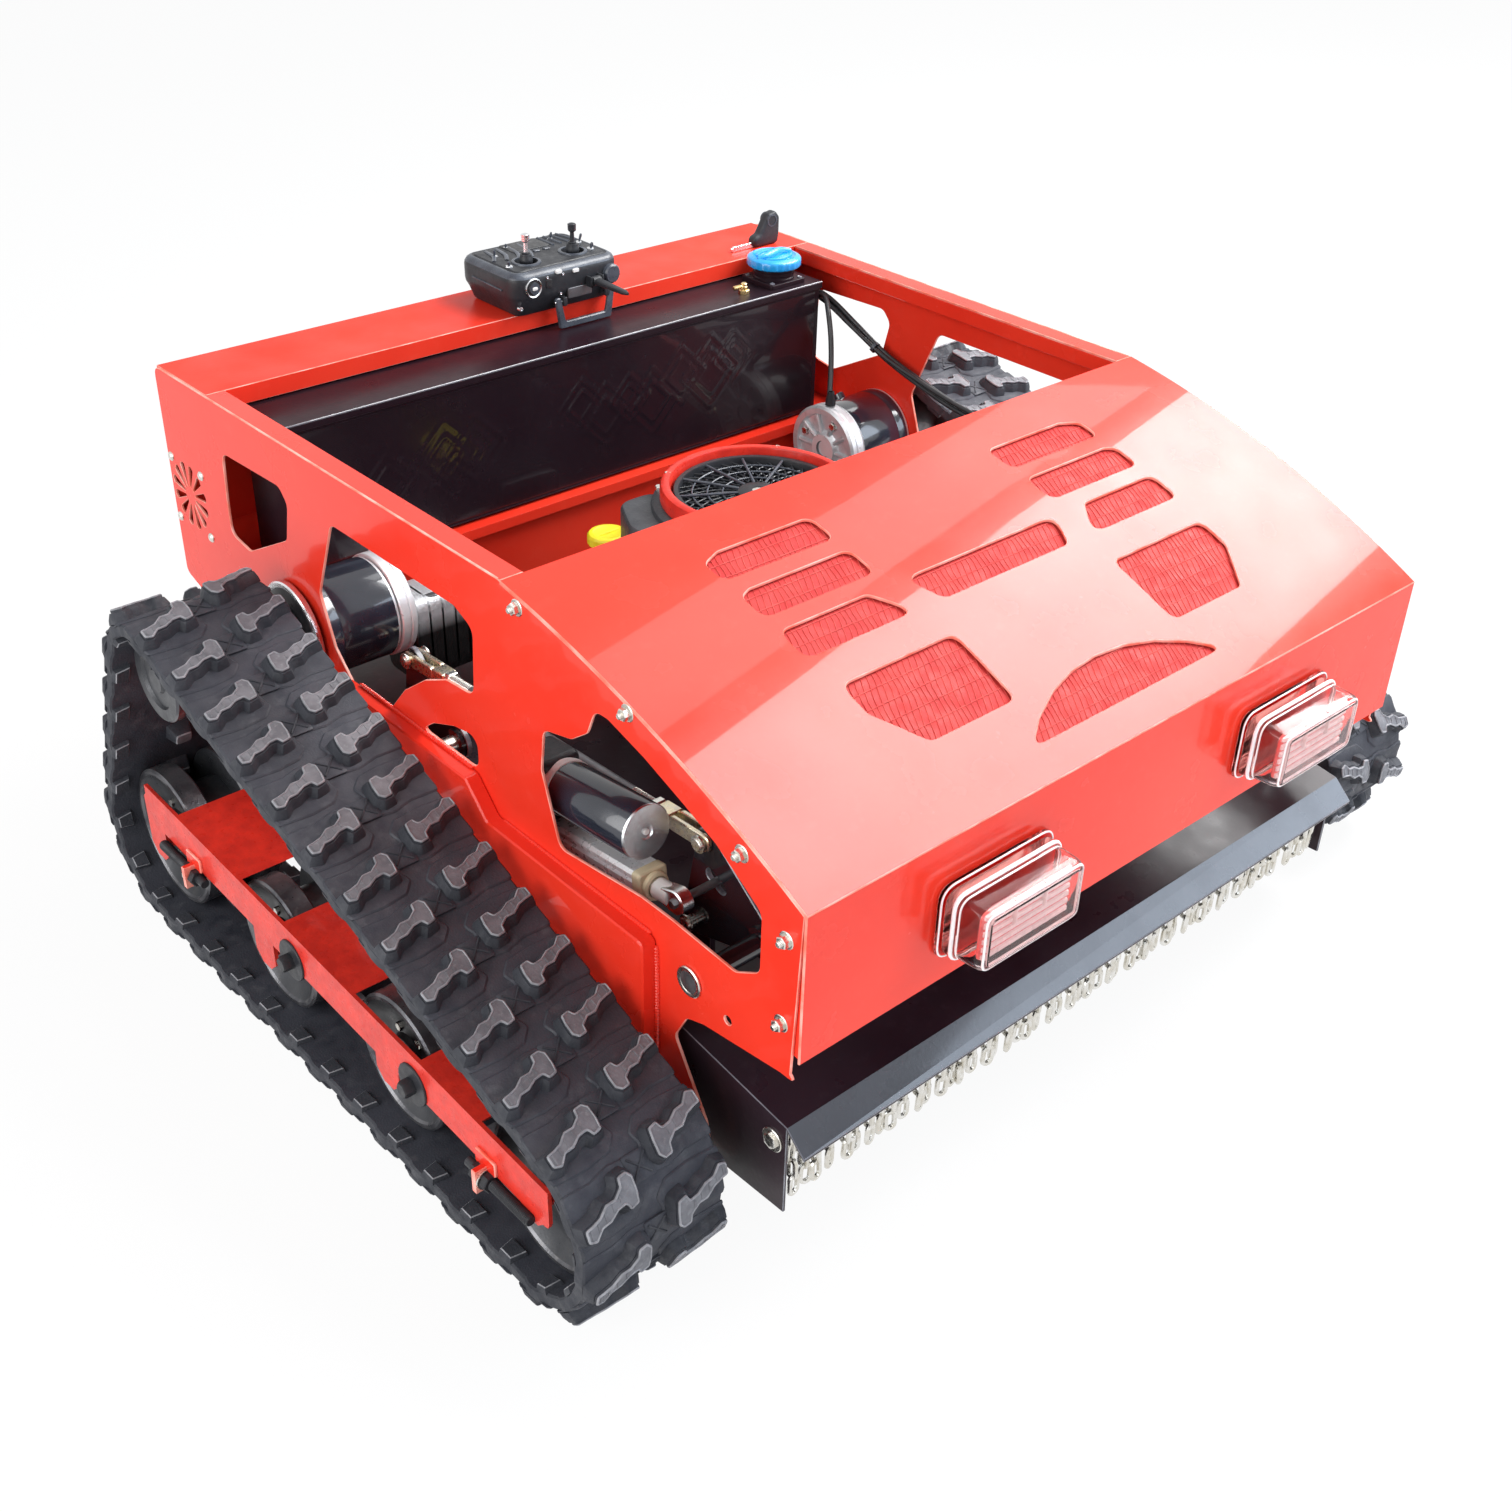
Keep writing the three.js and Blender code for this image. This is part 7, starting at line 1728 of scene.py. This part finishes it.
def ridge(kind, i):
    return [(REMOTE.x + a + i * da, REMOTE.y + b + i * db, REMOTE.top - under)
            for (a, b, under), (da, db) in zip(kind.line, kind.shift)]


def switch(piece, dx, dy, r, length):
    """A nut on the top, with a lever that leans outward and forward."""
    at = (REMOTE.x + dx, REMOTE.y + dy, REMOTE.top - SWITCH.under)
    piece.turned([(0, 0), (0, r + 1.6), (2.4, r + 1.2), (3, r), (3, 0)], at, sides=HEX, look=2)
    lever = [(2, 0), (2, r * 0.42), (length - 2, r * 0.62), (length, r * 0.4), (length, 0)]
    piece.turned(lever, at, (dx / SWITCH.outward, -SWITCH.forward, 1), 16, 1)


def transmitter_top(piece, edge):
    """The top face round two stick wells, with switches, a flat plate, ridges and trim buttons."""
    x, y, top = REMOTE.x, REMOTE.y, REMOTE.top
    loops = [edge]
    for side in BOTH:
        centre = (x + side * REMOTE.stick_x, REMOTE.stick_y)
        hole = circle(*centre, WELL.radius, WELL.sides)[::-1]
        rings = [[(a, b, top - WELL.high) for a, b in hole],
                 [(a, b, top - WELL.low) for a, b in inset(hole, -WELL.spread)]]
        ring = piece.faces(rings, closed=False)
        piece.cap([ring[-1]], 4)
        loops.append(ring[0])
        piece.turned(WELL_RIM_PROFILE, (*centre, top - WELL.rim), sides=40, look=1)
    piece.cap(loops)
    for facts in SWITCHES:
        switch(piece, *facts)
    p = TOP_PLATE
    piece.soft_block((x - p.half, x + p.half), moved(p.y, y), [top - z for z in p.z], p.corner, p.fillet,
                     look=4)
    for i in range(RIDGES):
        piece.tube(smooth_path(ridge(LEFT_RIDGE, i), 5), 2.6, 10, 1, flat=0.5)
        piece.tube(ridge(RIGHT_RIDGE, i), 1.8, COARSE, 1)
    for dx in (-TRIMS.pitch, 0, TRIMS.pitch):
        piece.block((x + dx - TRIMS.half, x + dx + TRIMS.half), moved(TRIMS.y, y), [top - z for z in TRIMS.z],
                    look=1)


def transmitter():
    piece = Piece("transmitter_case", "matte", "matte_edge", "bright", "white", "cable", "steel")
    r = REMOTE
    x, front, floor = r.x, r.front, r.floor
    plan = rounded(rectangle(x - r.half, x + r.half, r.y - r.depth / 2, r.y + r.depth / 2), r.corner, 7)
    rings = [[(a, b, floor + level) for a, b in inset(plan, by)] for by, level in CASE_LEVELS]
    made = piece.faces(rings, CASE_LOOKS, closed=False)
    piece.cap([made[0]])
    transmitter_top(piece, made[-1])
    piece.turned(KNOB.profile, (x + KNOB.x, front, floor + KNOB.z), FRONT, 36, KNOB.looks)
    for dx, dy, dz, radius in FRONT_SCREWS:
        profile = [(-4, 0), (-4, radius), (0.6, radius), (0.8, radius / 2), (0.2, 0)]
        piece.turned(profile, (x + dx, front + dy, floor + dz), FRONT, 14, 2)
    for xs, ys, zs, corner, fillet, look in FRONT_MARKS:
        piece.soft_block(moved(xs, x), moved(ys, front), moved(zs, floor), corner, fillet, "y", look)
    place = (x + r.half - WHEEL_KNOB.inside, front, floor + WHEEL_KNOB.z)
    piece.turned(WHEEL_KNOB.profile, place, FRONT, 32, 1, wave=grips(0.05, 14))
    for side in BOTH:
        for middle, out, half, ys, zs, fillet in EARS:
            ear = middle + side * out
            piece.soft_block((ear - half, ear + half), moved(ys, front), zs, 0.8, fillet)
        pin = HANDLE_PIN
        piece.rod(*((pin.x + side * out, front, pin.z) for out in pin.out), pin.radius, 16, 2)
        grip = [(x + side * GRIP.out, y, floor + GRIP.z + GRIP.rise * k) for k, y in enumerate(GRIP.y)]
        piece.tube(grip, GRIP.radius, COARSE, 1)
    piece.done("transmitter", nodes=["remote_body"], angle=34)


STICK_PROFILE = [(0, 0), (0, 3.4), (14, 2.6), (20, 2.4), (22, 4.8), (29.4, 5), (30, 4), (28.6, 0)]
BOOT = Sizes(radius=8, step=0.31, steps=7,
             neck=[(5.6, 6.6), (7, 6.2), (7.4, 4.8), (8.8, 4.9), (9.4, 3.8), (9.8, 0)])
STICK_LOOKS = {"left": ("bright", "cast_silver"), "right": ("matte", "matte_black")}
ANTENNA = Sizes(x=62, out=6.3, z=566, barrel=5.8, barrel_radius=5.6, length=60, width=(5.8, 2),
                thick=(3.8, 1.3), tip=(2.6, 1.2), square=0.7, steps=8, sides=16)
HANDLE_OUTLINE = [(93, 554), (87, 517), (13, 517), (7, 554), (15, 554), (21, 525), (79, 525), (85, 554)]
HANDLE = Sizes(y=(885.5, 890.5), corner=3.4, rim=1.2)


def sticks():
    low = -math.pi / 2
    boot = [(BOOT.radius * math.sin(a), BOOT.radius * math.cos(a))
            for a in evenly(low, low + BOOT.step * BOOT.steps, BOOT.steps)]
    for name, (look, slot) in STICK_LOOKS.items():
        at = (REMOTE.x + SIDES[name] * REMOTE.stick_x, REMOTE.stick_y, REMOTE.top)
        piece = Piece(f"stick_{name}_with_boot", look, "matte")
        piece.turned(STICK_PROFILE, at, sides=COARSE)
        piece.turned(boot + BOOT.neck, at, sides=28, look=1)
        piece.done(f"stick_{name}", nodes=[f"remote_stick_{name}"])


def squared(value):
    """A cosine or sine bent toward a square's."""
    return math.copysign(abs(value) ** ANTENNA.square, value)


def antenna():
    piece = Piece("antenna_blade", "matte")
    a = ANTENNA
    y = REMOTE.front - a.out
    piece.rod((a.x - a.barrel, y, a.z), (a.x + a.barrel, y, a.z), a.barrel_radius, 28)
    rings = []
    for share in evenly(0, 1, a.steps):
        last = share == 1
        width, thick = (size[0] - size[1] * share - tip * last
                        for size, tip in zip((a.width, a.thick), a.tip))
        rings.append([(a.x + width * squared(math.cos(angle)), y - a.length * share,
                       a.z + thick * squared(math.sin(angle))) for angle in turns(a.sides)])
    piece.stack(rings)
    piece.done("antenna", nodes=["remote_antenna"])


def carrying_handle():
    piece = Piece("carrying_handle", "matte_edge")
    piece.plate("y", rounded(HANDLE_OUTLINE, HANDLE.corner, 4), HANDLE.y, rim=HANDLE.rim)
    piece.done("handle", nodes=["remote_handle"])


KEY = Sizes(low=348, y=932, size=44, tall=42, half=7, corner=7, fillet=4.5, ring_at=(30, 31),
            ring=(7.4, 6, 8), blade=6, tip=-33.6, teeth=7, pitch=4.4, blade_half=1.5)
KEY_SHARES = [(0.02, 0), (0.96, 0), (1, 0.3), (1, 0.8), (0.84, 1), (0.56, 0.94), (0.36, 0.6), (0.24, 0.4),
              (0, 0.3)]


def ignition_key():
    piece = Piece("ignition_key_with_head", "matte", "bright", "matte_edge")
    k, floor = KEY, BODY.top + SEAT
    outline = rounded(shaped((k.low, floor, k.size, k.tall), KEY_SHARES), k.corner, 6)
    piece.soft_plate("y", outline, (k.y - k.half, k.y + k.half), k.fillet, 0, 4)
    (across, up), (half, inner, outer) = k.ring_at, k.ring
    piece.collar((k.low + across, k.y, floor + up), BACK, (-half, half), inner, outer, 28, 2)
    blade = [(k.tip, 2.2), (k.tip + 3.6, 0), (k.blade, 0), (k.blade, 7)]
    for i in range(k.teeth):
        at = -2 - i * k.pitch
        blade += [(at, 6.8), (at - k.pitch / 2, 6 if i % 2 else 5.4)]
    blade.append((k.tip, 4.4))
    piece.plate("y", [(k.low + a, floor + b) for a, b in blade], (k.y - k.blade_half, k.y + k.blade_half),
                rim=0.4, look=1)
    piece.done("key", nodes=["ignition_key"])


# Cables: three in a tied bundle, and one down to the motor

HARNESS = [(324.4, 962, 440), (352, 955, 456), (388, 925, 482), (397, 880, 490), (398, 840, 486),
           (400, 792, 464), (403, 740, 440), (404, 680, 424), (403, 600, 410), (401, 500, 406),
           (398, 400, 410), (395, 300, 420), (385, 200, 414), (350, 110, 384), (290, 60, 356),
           (235, 34, 338), (212, 20, 331), (208, 8, 330)]
BUNDLE = Sizes(strands=3, radius=2.9, spread=3.6, sway=0.5, sway_rate=0.21, twist=0.05)
TIES = Sizes(at=(22, 46, 70, 94, 118), half=2, inner=6.1, outer=7, tail=(6.5, 10), tail_radius=1.2)
MOTOR_ROUTE = [(386.8, 848, 490), (385.5, 836, 494), (380, 823, 494), (370, 808, 484), (362, 794, 462),
               (354, 783, 440), (344, 772, 420), (334, 762, 402), (329, 756, 393), (329, 755, 386.4)]
MOTOR_CABLE = Sizes(radius=3.4, boot=18, profile=[(0, 3.2), (0, 4.2), (12, 6.4), (17, 6.6), (17.6, 3.2)])


def directions(line, i):
    """Along a line at one of its points, level beside it, and above it."""
    along = (line[min(i + 1, len(line) - 1)] - line[max(i - 1, 0)]).normalized()
    side = along.cross(Vector(UP)).normalized()
    return along, side, side.cross(along)


def cables():
    piece = Piece("harness_bundle", "cable", "matte_edge")
    b, line = BUNDLE, smooth_path(HARNESS, 8)
    for strand in range(b.strands):
        points = []
        for i, point in enumerate(line):
            side, up = directions(line, i)[1:]
            angle = FULL * strand / b.strands + i * b.twist
            spread = b.spread + b.sway * math.sin(i * b.sway_rate + strand)
            points.append(point + (side * math.cos(angle) + up * math.sin(angle)) * spread)
        piece.tube(points, b.radius)
    for i in TIES.at:
        along, side = directions(line, i)[:2]
        piece.collar(line[i], along, (-TIES.half, TIES.half), TIES.inner, TIES.outer, 24, 1)
        piece.rod(*(line[i] + side * out for out in TIES.tail), TIES.tail_radius, COARSE, 1)
    piece.done(nodes=["harness_right"])
    motor = Piece("motor_power_cable", "cable", "matte")
    motor.tube(smooth_path(MOTOR_ROUTE, 8), MOTOR_CABLE.radius, 16)
    x, y, z = MOTOR_ROUTE[-1]
    motor.turned(MOTOR_CABLE.profile, (x, y, z + MOTOR_CABLE.boot), DOWN, 24, 1)
    motor.done(nodes=["motor_cable_right"])


FLAP = Sizes(forward=0.5, below=166)


def deck():
    """The deck keeps its shape. The faces that lean forward low on it take the flap's finish, whose lighter
    bluish colour is a painted sky reflection.
    """
    pan = keep("deck_pan", "deck", "gloss_edge", "flap_painted_sky", bevel=0.8)
    for face in pan.data.polygons:
        if face.normal.z > 0 and -face.normal.y > FLAP.forward and face.center.z < FLAP.below * MM:
            face.material_index = 2


# Light, floor and background

SKY = Sizes(colour=(0.93, 0.96, 1, 1), strength=0.42)
FLOOR = Sizes(half=14, colour=(0.94, 0.94, 0.94, 1), glow=0.93)
WHITE = (1, 1, 1)
# Lamps as (place in metres, turn in degrees, power, size, colour)
LAMPS = {
    "softbox_over_hood": ((2.2, -0.3, 2.5), (0, 0, 22), 190, (3.0, 1.5), WHITE),
    "strip_over_hood": ((1.78, 0.8, 2.5), (0, 0, 22), 14, (3.0, 0.5), WHITE),
    "softbox_left": ((-3.0, -0.4, 1.6), (0, -70, 0), 80, (2.4, 2.8), WHITE),
    "softbox_front": ((2.8, -3.3, 2.3), (65, 0, 40), 112, (4.2, 1.8), (0.72, 0.84, 1)),
}


def lamp(name, at, turn, power, size, colour):
    data = bpy.data.lights.new(name, "AREA")
    data.shape = "RECTANGLE"
    data.size, data.size_y = size
    data.energy = power
    data.color = colour
    made = bpy.data.objects.new(name, data)
    made.location = at
    made.rotation_euler = [math.radians(angle) for angle in turn]
    bpy.context.scene.collection.objects.link(made)


def shown_rays(nodes):
    """1 for rays that show the background itself: seen by the camera, in gloss or through glass."""
    rays = nodes.add("ShaderNodeLightPath")
    total = rays.outputs["Is Camera Ray"]
    for name in ("Is Glossy Ray", "Is Transmission Ray"):
        both = nodes.add("ShaderNodeMath", operation="MAXIMUM")
        nodes.link(total, both.inputs[0])
        nodes.link(rays.outputs[name], both.inputs[1])
        total = both.outputs[0]
    return total


def blended(nodes, first, second):
    """A node that mixes two shaders."""
    mix = nodes.add("ShaderNodeMixShader")
    nodes.link(first.outputs[0], mix.inputs[1])
    nodes.link(second.outputs[0], mix.inputs[2])
    return mix


def background():
    world = bpy.data.worlds.new("studio")
    bpy.context.scene.world = world
    world.use_nodes = True
    nodes = Nodes(world.node_tree)
    lit, shown = nodes.add("ShaderNodeBackground"), nodes.add("ShaderNodeBackground")
    nodes.fill(lit, {"Color": SKY.colour, "Strength": SKY.strength})
    nodes.fill(shown, {"Color": (*WHITE, 1)})
    mix = blended(nodes, lit, shown)
    nodes.link(shown_rays(nodes), mix.inputs["Fac"])
    nodes.link(mix.outputs[0], nodes.add("ShaderNodeOutputWorld").inputs["Surface"])


def pale_finish():
    """Matt for the light that falls on it, and nearly white to the eye."""
    pale = bpy.data.materials.new("pale_floor")
    pale.use_nodes = True
    nodes = Nodes(pale.node_tree)
    matt, glow = nodes.add("ShaderNodeBsdfDiffuse"), nodes.add("ShaderNodeEmission")
    nodes.fill(matt, {"Color": FLOOR.colour})
    soft = blended(nodes, matt, glow)
    nodes.fill(soft, {"Fac": FLOOR.glow})
    mix = blended(nodes, matt, soft)
    nodes.link(shown_rays(nodes), mix.inputs["Fac"])
    nodes.link(mix.outputs[0], nodes.add("ShaderNodeOutputMaterial").inputs["Surface"])
    return pale


def studio():
    background()
    half = FLOOR.half
    mesh = bpy.data.meshes.new("floor")
    corners = [(a, b, 0) for a, b in rectangle(-half, half, -half, half)]
    mesh.from_pydata(corners, [], [(0, 1, 2, 3)])
    mesh.materials.append(pale_finish())
    floor = bpy.data.objects.new("floor", mesh)
    bpy.context.scene.collection.objects.link(floor)
    for name, facts in LAMPS.items():
        lamp(name, *facts)
    bpy.context.scene.view_settings.view_transform = "Standard"


place_camera()
front_hood()
hood_mesh()
for side_name, sign in SIDES.items():
    side_panel(side_name, sign)
keep("rear_panel", "red_satin", "red_edge", bevel=0.7)
keep("tank_tray", "red_satin", "red_edge", bevel=0.6)
for side_name, sign in SIDES.items():
    track_belt(side_name, sign)
for side_name, sign in SIDES.items():
    for wheel in WHEELS:
        track_wheel(*wheel, side_name, sign)
    drive_sprocket(side_name, sign)
    keep(f"track_frame_{side_name}", "red_rough", "red_edge", bevel=0.7)
    frame_hardware(side_name, sign)
fuel_tank()
fuel_cap()
tank_fitting()
battery()
for side_name, sign in SIDES.items():
    drive_motor(side_name, sign)
    headlight(side_name, sign)
    tie_rod(side_name, sign)
    actuator(side_name, sign)
chain_curtain()
blower_housing()
screen_ring()
fan_screen()
engine_block()
oil_cap()
muffler()
shaft_and_blade()
lift_cranks()
transmitter()
sticks()
antenna()
carrying_handle()
ignition_key()
cables()
deck()
studio()
